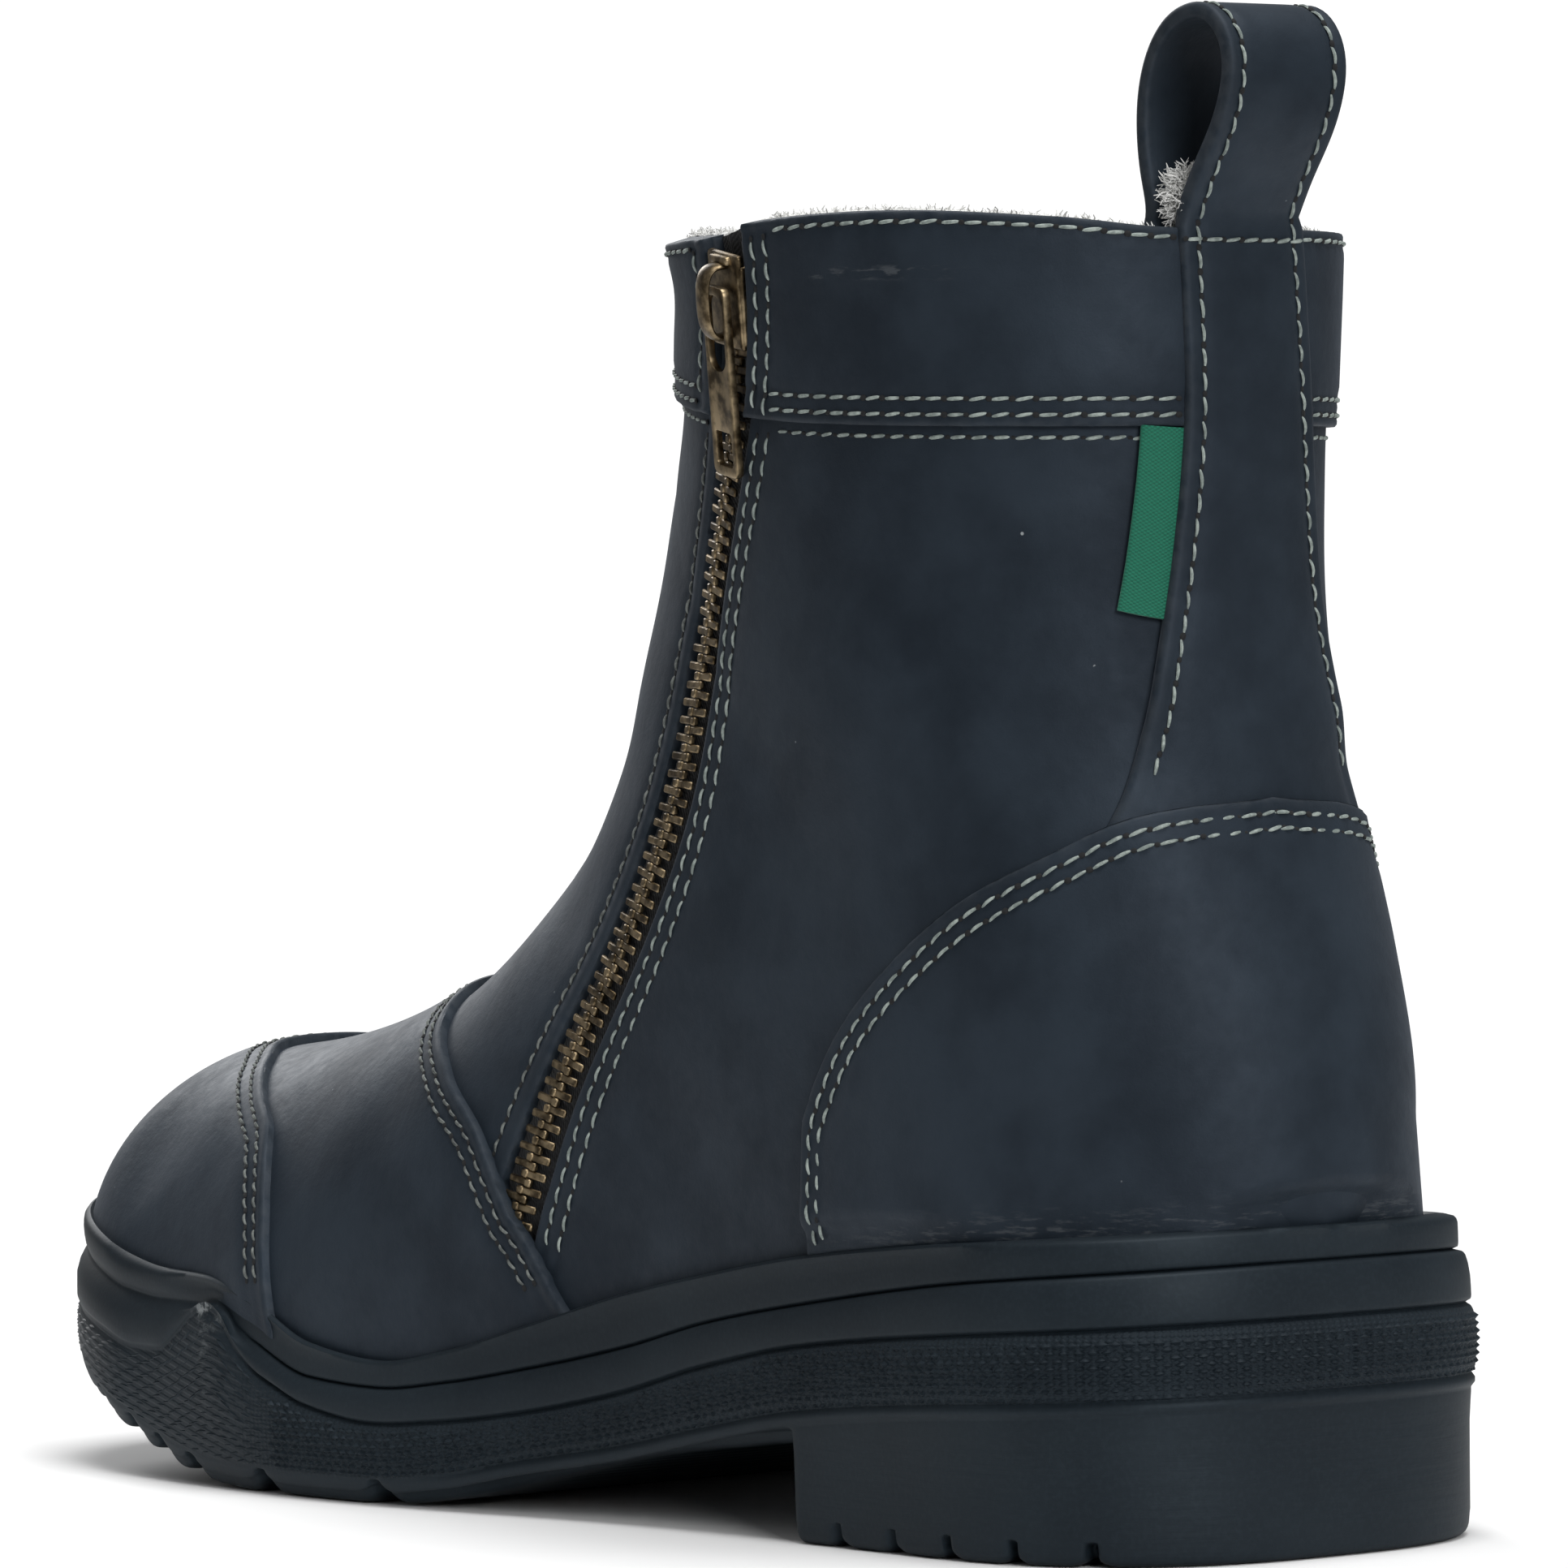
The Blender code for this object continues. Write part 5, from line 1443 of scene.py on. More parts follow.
@dataclass
class Upper:
    """The leather of the shaft and foot, with the zip's slot, and the fleece inside it."""

    wall: float = 2
    fleece: float = -5
    rim: float = 0.1
    pile: Places = ((-2.1, -1.5), (-2.2, -0.9), (-2.8, -0.5), (-3.6, -0.5), (-4.6, -0.9), (-5, -1.8),
                    (-5, -4.4))
    clump: tuple[float, float, float] = (2.4, 1.3, 3.4)
    clump_place: tuple[float, float, float] = (6.8, -1.5, 4)
    slider_free: float = 28
    rear_rows: tuple[float, ...] = (2.4, 5.2)
    front_rows: tuple[float, ...] = (3.4,)

    def grid(self, row_step: float, column_step: float) -> tuple[Array, Array, Array]:
        """Sections, shares and open cells of the wall round the zip's slot."""
        keel = LAST.section(LAST.dense)[:, 2:4]
        reach = arc_length(keel)
        foot = float(np.interp(ZIP.foot, LAST.dense, reach))
        lower = np.linspace(0.02 * reach[-1], foot, int(foot / row_step))
        upper = foot + (reach[-1] - foot) * graded(reach[-1] - foot, row_step, False, True)
        s = np.interp(np.concatenate([lower[:-1], upper]), reach, LAST.dense)
        rear, front = ZIP.share(s, ZIP.slot_half), ZIP.share(s, -ZIP.slot_half)
        rear = np.minimum(rear, 0.95)
        back = graded(95, column_step, True, False)
        nose = graded(60, column_step, True, False)
        inner = np.linspace(0, 1, int(130 / column_step))[1:]
        shares = np.concatenate([
            (rear[:, None] + (1 - rear)[:, None] * back)[:, ::-1],
            front[:, None] * (1 - nose),
            np.broadcast_to(-inner, (len(s), len(inner)))], axis=1)
        skip = np.zeros((len(s) - 1, shares.shape[1] - 1), bool)
        skip[s[:-1] >= ZIP.foot - 1e-9, len(back) - 1] = True
        return np.broadcast_to(s[:, None], shares.shape), shares, skip

    def build_leather(self, finishes: Finishes, thread: Thread, shade_painted_thread: Thread) -> None:
        """Makes the leather wall and the stitch rows beside the zip."""
        s, u, skip = self.grid(1.65, 1.7)
        rear = Cut(ZIP.beside(ZIP.slot_half), self.rear_rows)
        front = Cut(ZIP.beside(-ZIP.slot_half), self.front_rows)
        collar = Cut(Line(np.ones(300), np.linspace(-1, 1, 300)))
        panel = Panel("upper_leather", s, u, (rear, front, collar), 0, -self.wall, skip, edge_round=0.9)
        settle(panel.build(finishes.leather), Body.BOOT, Slot.LEATHER, "upper")
        panel.sew(thread, rear, -1, 1, self.slider_free)
        # front rows in the darker copy of the thread: painted shade
        panel.sew(shade_painted_thread, front, 1, 3, self.slider_free)

    def build_lining(self, finishes: Finishes) -> None:
        """Makes the fleece lining with its soft roll above the collar."""
        s, u, skip = self.grid(2.6, 2.6)
        lump = np.random.default_rng(5).normal(0, 1, s.shape)
        for _ in range(2):
            lump = (lump + sum(np.roll(lump, step, axis) for step in (1, -1) for axis in (0, 1))) / 3
        lump *= soft_step(np.minimum(np.abs(np.abs(u) - 1), 1), 0, 0.05)
        top = SKIN.at(s, u, -self.wall - 0.1)
        under = SKIN.at(s, u, self.fleece + 0.3 * lump)
        up = unit(SKIN.read(SKIN.along, np.ones(s.shape[1]), u[-1]))
        roll = ((-0.5, -2, -5), (-0.2, -2.2, -4.8), (self.rim, -2.8, -4.2))
        roll_top = [SKIN.at(1, u[-1], outer) + up * rise for rise, outer, _ in roll]
        roll_under = [SKIN.at(1, u[-1], inner) + up * (rise - 0.2) for rise, _, inner in roll]
        skip = np.concatenate([skip, np.repeat(skip[-1:], len(roll), axis=0)])
        top, under = np.concatenate([top, roll_top]), np.concatenate([under, roll_under])
        points, faces, _ = closed_shell(top, under, skip)
        settle(make_piece("fleece_lining", points, faces, finishes.fleece), Body.BOOT, Slot.FLEECE)

    def build_pile(self, spread: Repeat, finishes: Finishes) -> None:
        """Scatters short curly fibres over the collar's roll and the top of the lining."""
        u = np.concatenate([np.linspace(float(ZIP.share(1, 6.6)), 1, 160),
                            np.linspace(-1, float(ZIP.share(1, -6.6)), 330)])
        up = unit(SKIN.read(SKIN.along, np.ones(len(u)), u))
        rows = np.array([SKIN.at(1, u, lift) + up * rise for lift, rise in self.pile])
        faces = cells_of(np.arange(len(rows) * len(u)).reshape(rows.shape[:2])).reshape(-1, 4).tolist()
        bed = make_piece("collar_bed", rows.reshape(-1, 3), faces, finishes.fleece)
        x = np.linspace(0, 1, 3)
        path = np.stack([0.45 * (1 - np.cos(1.9 * x)), 0.7 * np.sin(1.9 * x) + 0.3 * x], axis=1)
        hair = swept_bar(path, np.array([0.12, 0.11, 0.05]), 3)
        shape = from_bmesh("hair", hair, finishes.fleece)
        values = {"Finish": finishes.fleece, "Size": 1.0, "Swell": 0.4, "Turn": 3.14, "Lean": 0.6,
                  "Density": 3.2e6, "Seed": 3}
        settle(spread.lay("fleece_pile", bed, shape, values), Body.BOOT, Slot.FLEECE)
        wide, deep, tall = self.clump
        polar = np.linspace(0, math.pi, 10)
        spine = np.stack([0 * polar, -tall * np.cos(polar)], axis=1)
        knot = swept_bar(spine, deep * np.sin(polar), 14, wide / deep)
        place = Vector(self.clump_place) + Vector((0, *SKIN.at(1, 1)[1:]))
        bed = from_bmesh("clump_bed", knot, finishes.fleece, Matrix.Translation(place))
        long_hair = swept_bar(path * 1.6, np.array([0.1, 0.09, 0.04]), 3)
        shape = from_bmesh("long_hair", long_hair, finishes.fleece)
        piece = spread.lay("loop_fray", bed, shape, {**values, "Density": 14.0e6, "Lean": 0.9, "Seed": 4})
        settle(piece, Body.BOOT, Slot.FLEECE)


@dataclass
class FrontSeam:
    """A seam across the foot, drawn in side view and mirrored to the inner side."""

    side_view: Places

    def __post_init__(self) -> None:
        """Finds the section of each place against its share of the way to the sole."""
        places = []
        for side in (1, -1):
            for y, z in self.side_view:
                s, share = LAST.locate(y, z, side)
                across = abs(share) / max(float(tuck_share(s, side)), 1e-3)
                if side > 0 or across > 0.05:
                    places.append((side * across if across > 0.05 else 0, s))
        places.sort()
        self.across, self.sections = (np.array(values) for values in zip(*places))

    def section(self, across: Array) -> Array:
        """Section at a share across the foot, from -1 (inner) to 1 (outer)."""
        return monotone(self.across, self.sections, across)

    def line(self, across: Array) -> Line:
        """The seam as a line on the leather."""
        s = self.section(across)
        return Line(s, across * np.where(across >= 0, tuck_share(s, 1), tuck_share(s, -1)))


@dataclass
class Overlays:
    """Toe cap, vamp and heel counter."""

    cap_edge: Places = (
        (-97, 60), (-84, 58), (-72, 54.5), (-58, 47.5), (-50.5, 36), (-47, 24))
    vamp_edge: Places = (
        (-42, 73), (-29, 67.5), (-17, 60.5), (-4, 51.5), (6, 39), (14, 28.5))
    counter_edge: Places = (
        (64, 38), (67, 51), (71.5, 60.5), (78.5, 70),
        (89, 79), (101, 87), (111, 92.5), (118.5, 96.8), (123.6, 98.4))
    counter_top: float = 98.4
    counter_foot: float = 35.6
    upright: float = 56
    cap_rise: float = 1.3
    cap_reach: float = 14
    cap_row_rise: float = 1.25
    strap_rise: float = 0.8
    strap_edge: tuple[float, float] = (18.5, 23)
    lip_free: float = 9
    rows: tuple[float, ...] = (2.1, 4.3)
    across: int = 150

    def front_grid(self, start: Array, end: Array, parts: Array) -> tuple[Array, Array]:
        """Grid between two seams across the foot."""
        across = np.linspace(-1, 1, self.across)
        s = start[None, :] + (end - start)[None, :] * parts[:, None]
        return s, across * np.where(across >= 0, tuck_share(s, 1), tuck_share(s, -1))

    def build_front(self, finishes: Finishes, thread: Thread) -> None:
        """Makes the toe cap over the vamp, and the vamp over the zip's foot."""
        across = np.linspace(-1, 1, self.across)
        cap, vamp = FrontSeam(self.cap_edge), FrontSeam(self.vamp_edge)
        begin = float(LAST.dense[np.flatnonzero(TUCK[1] > 0)[0]]) + 0.003
        cap_s, vamp_s = cap.section(across), vamp.section(across)
        fine = np.linspace(-1, 1, 400)
        edge = Cut(cap.line(fine), self.rows)
        parts = graded(70, 1.3, False, True) ** 1.4
        s, u = self.front_grid(np.full(across.shape, begin), cap_s, parts)
        near = distance_to(SKIN.at(s, u).reshape(-1, 3), edge.line.points()).reshape(s.shape)
        rise = self.cap_rise * hump(near, 0, self.cap_reach)
        panel = Panel("toe_cap_leather", s, u, (edge,), 1.8, extra=rise, row_rise=self.cap_row_rise)
        settle(panel.build(finishes.leather), Body.BOOT, Slot.LEATHER, "toe_cap")
        panel.sew(thread, edge, -1, self.lip_free, self.lip_free)
        edge = Cut(vamp.line(fine), self.rows)
        s, u = self.front_grid(cap_s - 0.012, vamp_s, graded(75, 1.4, False, True))
        panel = Panel("vamp_leather", s, u, (edge,), 1.6)
        settle(panel.build(finishes.leather), Body.BOOT, Slot.LEATHER, "vamp")
        panel.sew(thread, edge, -1, self.lip_free, self.lip_free)

    def counter_grid(self, side: int) -> tuple[Array, Array, Array]:
        """Grid of one side of the heel counter, in level rows from its front edge to the middle of the back.

        Args:
            side: 1 for lateral, -1 for medial.

        Returns:
            Sections, shares and how far each row lies straight below the last level row.
        """
        curve = side_curve(self.counter_edge)
        levels = self.counter_foot + (self.counter_top - self.counter_foot) * graded(63, 1, False, True)
        part = graded(62, 1.3, True, False)
        s, u = [], []
        for z in np.maximum(levels, self.upright):
            line = SKIN.level(float(z), side)
            points = line.points()
            reach = arc_length(points)
            whole = float(np.interp(-float(curve(z)), -points[:, 1], reach))
            places = whole * (1 - part)
            s.append(np.interp(places, reach, line.s))
            u.append(np.interp(places, reach, line.u))
        return np.array(s), np.array(u), np.maximum(self.upright - levels, 0)

    def over_strap(self, x: Array) -> Array:
        """Lift of the counter over the strap's foot."""
        return self.strap_rise * (1 - soft_step(np.abs(x), *self.strap_edge))

    def build_counter(self, finishes: Finishes, thread: Thread) -> None:
        """Makes the heel counter round the back from lip to lip, over the strap's foot."""
        outer, inner = self.counter_grid(1), self.counter_grid(-1)
        s, u = (np.concatenate([a, b[:, -2::-1]], axis=1) for a, b in zip(outer[:2], inner[:2]))
        fall = np.broadcast_to(outer[2][:, None], s.shape)
        edge = Line(np.concatenate([s[:, 0], s[-2::-1, -1]]), np.concatenate([u[:, 0], u[-2::-1, -1]]))
        drop = np.concatenate([fall[:, 0], fall[-2::-1, 0]])
        cut = Cut(edge, self.rows)
        flat = SKIN.at(s, u) - fall[..., None] * (0, 0, 1)
        over = soft_step(flat[..., 2], 84, 93) * self.over_strap(flat[..., 0])
        panel = Panel("heel_counter_leather", s, u, (cut,), 1.6, extra=over, fall=fall)
        over_lip = flat[..., 2] - sole_height("lip", flat[..., 1])
        scuff = hump(over_lip, 1, 2.2) * soft_step(flat[..., 1], 60, 100)
        settle(panel.build(finishes.leather, scuff), Body.BOOT, Slot.LEATHER, "heel_counter")
        for row in self.rows:
            line = edge.shifted(-row)
            lift = panel.thread_lift() + self.over_strap(line.points()[:, 0])
            points = dropped(line.points(lift), line.normals(), drop, -THREAD_LIFT)
            shown = points[:, 2] > sole_height("lip", points[:, 1]) + 0.8
            thread.sew(points[shown], line.normals()[shown])


@dataclass
class Collar:
    """Band round the collar in two lengths, each side of the back strap."""

    depth: float = 25.8
    low_rows: tuple[float, ...] = (1.5, 3.6)
    top_row: float = 1.3
    under_row: float = 1.5
    strap_half: float = 7.8
    under_lift: float = -0.05
    scuff_weight: float = 1.8
    scuff_height: float = 0.71
    scuff_half: float = 0.55
    scuff_run: tuple[float, ...] = (0.14, 0.26, 0.42, 0.56)

    def low_section(self, share: Array) -> Array:
        """Section where the band's lower edge crosses lines of constant share."""
        found = []
        upper = LAST.dense > LAST.corner
        for value in share:
            z = SKIN.at(LAST.dense, np.full(LAST.dense.shape, value))[:, 2]
            top = float(LAST.point(1, value)[2])
            found.append(np.interp(top - self.depth, z[upper], LAST.dense[upper]))
        return np.array(found)

    def build(self, finishes: Finishes, thread: Thread) -> None:
        """Makes both lengths of the band with their rows."""
        strap = float(strap_share(1, self.strap_half))
        zip_rear, zip_front = ZIP.slot_half + 0.2, -ZIP.slot_half - 0.2
        self._length("collar_band_outer", lambda s: ZIP.share(s, zip_rear),
                     lambda s: np.full(np.shape(s), strap), 75, True, finishes, thread, Upper.rear_rows)
        self._length("collar_band_front", lambda s: np.full(np.shape(s), -strap),
                     lambda s: ZIP.share(s, zip_front), 150, False, finishes, thread, Upper.front_rows)

    def _length(self, node: str, start: Callable[[Array], Array], end: Callable[[Array], Array], reach: float,
                zip_first: bool, finishes: Finishes, thread: Thread, rows: tuple[float, ...]) -> None:
        """Makes one length of the band.

        Args:
            node: CAD node it stands for.
            start: share of its first upright edge on a section.
            end: share of its last upright edge.
            reach: its length in millimetres.
            zip_first: whether the zip is at its first edge.
            finishes: the finishes.
            thread: the stitches of the boot.
            rows: distances of the upright rows from the zip edge.
        """
        part = graded(reach, 1.4, zip_first, not zip_first)
        level = 0.985
        low = self.low_section(float(start(level)) + float(end(level) - start(level)) * part)
        rise = graded(self.depth, 1.1, True, True)
        s = low[None, :] + (1 - low)[None, :] * rise[:, None]
        first, last = start(s), end(s)
        u = first + (last - first) * part[None, :]
        low_edge = Cut(Line(s[0], u[0]), self.low_rows)
        top_edge = Cut(Line(s[-1], u[-1]), (self.top_row,))
        column = 0 if zip_first else -1
        zip_edge = Cut(Line(s[:, column], u[:, column]), rows)
        panel = Panel(node + "_leather", s, u, (low_edge, top_edge, zip_edge), 1.6)
        begin, full, fade, stop = self.scuff_run
        streak = soft_step(part, begin, full) * (1 - soft_step(part, fade, stop)) * zip_first
        place = self.scuff_height * self.depth
        scuff = self.scuff_weight * hump(rise * self.depth, place, self.scuff_half)[:, None] * streak
        settle(panel.build(finishes.leather, scuff), Body.BOOT, Slot.LEATHER, node)
        clear = rows[-1] + 0.6
        free = (clear, 2) if zip_first else (2, clear)
        panel.sew(thread, low_edge, 1, *free)
        thread.run(low_edge.line.shifted(-self.under_row), self.under_lift, *free)
        panel.sew(thread, top_edge, -1, *free)
        panel.sew(thread, zip_edge, -1 if zip_first else 1, 1.5, 1.5)


STRAP_HALF = ((88, 22), (96, 19.4), (112, 15.2), (130, 12.1), (150, 10.5), (173, 10))
STRAP_LEAN = ((88, 0), (96, 0.4), (120, 1.4), (145, 1.7), (173, 0.5))


def strap_share(s: Array, half: Array) -> Array:
    """Share at which a closed section is a given half width from its keel."""
    values = LAST.section(s)
    ratio = np.clip(half / values[..., 4], 0, 1) ** (1 / values[..., 7])
    return 1 - np.arcsin(ratio) / math.pi


@dataclass
class Strap:
    """Back strap and pull loop, one strip from the counter to the inside of the collar."""

    thick: float = 2.3
    height: float = 28
    loop: Places = (
        (0.4, 2), (3, 7), (6.2, 12), (8.4, 17), (8.9, 21.5), (7.4, 25.4), (4.2, 27.8), (0.4, 28),
        (-3.4, 26.5), (-6.8, 22.6), (-8.4, 17.5), (-8.4, 12), (-7.2, 6.5), (-6.2, 1.5))
    row: float = 2.3
    press: float = 0.3
    press_width: float = 0.95
    edge_round: float = 0.8
    bow: float = 0.018
    tail: float = 14

    def half(self, z: Array) -> Array:
        """Half width at a height."""
        return monotone(*zip(*STRAP_HALF), z)

    def lean(self, z: Array) -> Array:
        """How far the strap lies to the inner side at a height."""
        return monotone(*zip(*STRAP_LEAN), z)

    def loop_path(self) -> Array:
        """Centre line of the loop in side view, up, over and down inside the back."""
        outside = SKIN.at(1, 1, 1.45)
        inside = SKIN.at(1, 1, -6.9)
        points = [(outside[1] + y, outside[2] + z) for y, z in self.loop]
        points += [(inside[1], inside[2] - 3), (inside[1], inside[2] - self.tail)]
        return smooth_path(points, 90)

    def build(self, finishes: Finishes, thread: Thread) -> None:
        """Makes the strip with its two rows of stitches."""
        part = np.linspace(-1, 1, 45)
        part = np.sign(part) * (1 - (1 - np.abs(part)) ** 1.35)
        behind = LAST.dense[LAST.dense > LAST.corner]
        s = np.linspace(np.interp(STRAP_HALF[0][0], LAST.section(behind)[:, 3], behind), 1, 110)
        z = LAST.section(s)[:, 3]
        half, lean = self.half(z), self.lean(z)
        shift = part * half[:, None] - lean[:, None]
        shares = np.array([strap_share(v, np.abs(x)) for v, x in zip(s, shift)])
        u = np.where(shift < 0, 2 - shares, shares)
        sink = 1 - soft_step(z, 97, 108)[:, None]
        lifts = (0.3 + self.thick - 1.3 * sink, 0.2 - 0.8 * sink)
        face, back = (SKIN.at(s[:, None], u, lift) for lift in lifts)
        path = self.loop_path()
        run = unit(np.gradient(path, axis=0))
        out = np.stack([run[:, 1], -run[:, 0]], axis=1) * self.thick / 2
        rise = np.clip((path[:, 1] - SKIN.at(1, 1)[2]) / self.height, 0, 1)
        bow = self.bow * (1 - rise) ** 2
        x = np.broadcast_to(half[-1] * part - lean[-1], (len(path), len(part)))

        def swept(line: Array) -> Array:
            """Rows across the strip at a centre line."""
            y = line[:, :1] - bow[:, None] * x * x
            return np.stack([x, y, np.broadcast_to(line[:, 1:], x.shape)], axis=-1)

        outer, inner = np.concatenate([face, swept(path + out)]), np.concatenate([back, swept(path - out)])
        span = np.concatenate([half, np.full(len(path), half[-1])])[:, None]
        apart = span * (1 - np.abs(part))[None, :]
        edge, out_way = rounding(apart, self.edge_round), unit(outer - inner)
        outer = outer - (edge + self.press * hump(apart, self.row, self.press_width))[..., None] * out_way
        inner = inner + 0.5 * edge[..., None] * out_way
        points, faces, first = closed_shell(outer, inner)
        wear = np.exp(-apart / WEAR_REACH).ravel()[first]
        masks = {"wear": np.concatenate([wear, wear])}
        piece = make_piece("back_strap_leather", points, faces, finishes.leather, masks)
        settle(piece, Body.BOOT, Slot.LEATHER, "back_strap")
        crossing = len(s) - 3
        thread.sew(outer[crossing, 2:-2] + 0.15 * out_way[crossing, 2:-2], out_way[crossing, 2:-2])
        last = len(s) + 62
        for side in (1, -1):
            place = np.array([np.interp(h - self.row, side * part[::side] * h, np.arange(len(part))[::side])
                              for h in span[:, 0]])
            low = np.floor(place).astype(int)
            mix = (place - low)[:, None]
            rows = np.arange(len(span))
            row = outer[rows, low] * (1 - mix) + outer[rows, low + 1] * mix
            thread.sew(row[14:last] + THREAD_LIFT * out_way[rows, low][14:last], out_way[rows, low][14:last])


@dataclass
class RibbonTab:
    """Bare folded ribbon caught in the strap's seam on the outer side."""

    width: float = 5.3
    length: float = 25
    top_z: float = 147
    thick: float = 1
    fold: float = 0.6

    def build(self, finishes: Finishes, strap: Strap) -> None:
        """Makes the tab with its rounded fold."""
        back = LAST.dense[LAST.dense > LAST.corner]
        z = LAST.section(back)[:, 3]
        seam = SKIN.at(back, strap_share(back, strap.half(z) - strap.lean(z)))
        low, high = np.interp((self.top_z - self.length, self.top_z), seam[:, 2], back)
        s = np.linspace(low, high, 40)[:, None]
        half = strap.half(LAST.section(s)[..., 3]) - strap.lean(LAST.section(s)[..., 3])
        tip = self.width - np.array([0.4, 0.2, 0.08, 0])
        part = np.concatenate([np.linspace(-2, self.width - self.fold, 14), tip])
        u = np.concatenate([strap_share(s, half + p) for p in part], axis=1)
        round_off = 0.5 * self.thick / self.fold * rounding(self.width - part, self.fold)
        wave = 0.25 * np.sin(np.linspace(0, 2.6, 40))[:, None] * (np.clip(part, 0, None) / self.width)
        lifts = (self.thick - round_off, round_off)
        top, under = (SKIN.at(s, u, 0.35 + lift + wave) for lift in lifts)
        points, faces, first = closed_shell(top, under)
        piece = make_piece("ribbon_tab", points, faces, finishes.ribbon)
        flat = np.stack(np.broadcast_arrays(part[None, :], self.length * np.linspace(0, 1, 40)[:, None]), -1)
        wrap = np.tile(flat.reshape(-1, 2)[first], (2, 1)) * MM
        write_wrap(piece, wrap)
        settle(piece, Body.BOOT, Slot.RIBBON, "label_tab")


def write_wrap(piece: Piece, places: Array) -> None:
    """Writes a UV map named wrap from a place for each point."""
    mesh = piece.data
    corners = np.zeros(len(mesh.loops), int)
    mesh.loops.foreach_get("vertex_index", corners)
    layer = mesh.uv_layers.new(name="wrap")
    layer.data.foreach_set("uv", np.ascontiguousarray(places[corners], np.float32).ravel())


# Zip

def add_block(shape: Shape, low: Sequence[float], high: Sequence[float], bevel: float, segments: int) -> None:
    """Adds a bevelled block between two corners.

    Args:
        shape: shape to add to.
        low: its lowest corner.
        high: its highest corner.
        bevel: width of its bevels.
        segments: steps in each bevel.
    """
    made = bmesh.ops.create_cube(shape, size=1)["verts"]
    bmesh.ops.scale(shape, vec=[b - a for a, b in zip(low, high)], verts=made)
    bmesh.ops.translate(shape, vec=[(a + b) / 2 for a, b in zip(low, high)], verts=made)
    edges = list(dict.fromkeys(e for v in made for e in v.link_edges))
    bmesh.ops.bevel(shape, geom=edges, offset=bevel, segments=segments, affect="EDGES", profile=0.5)


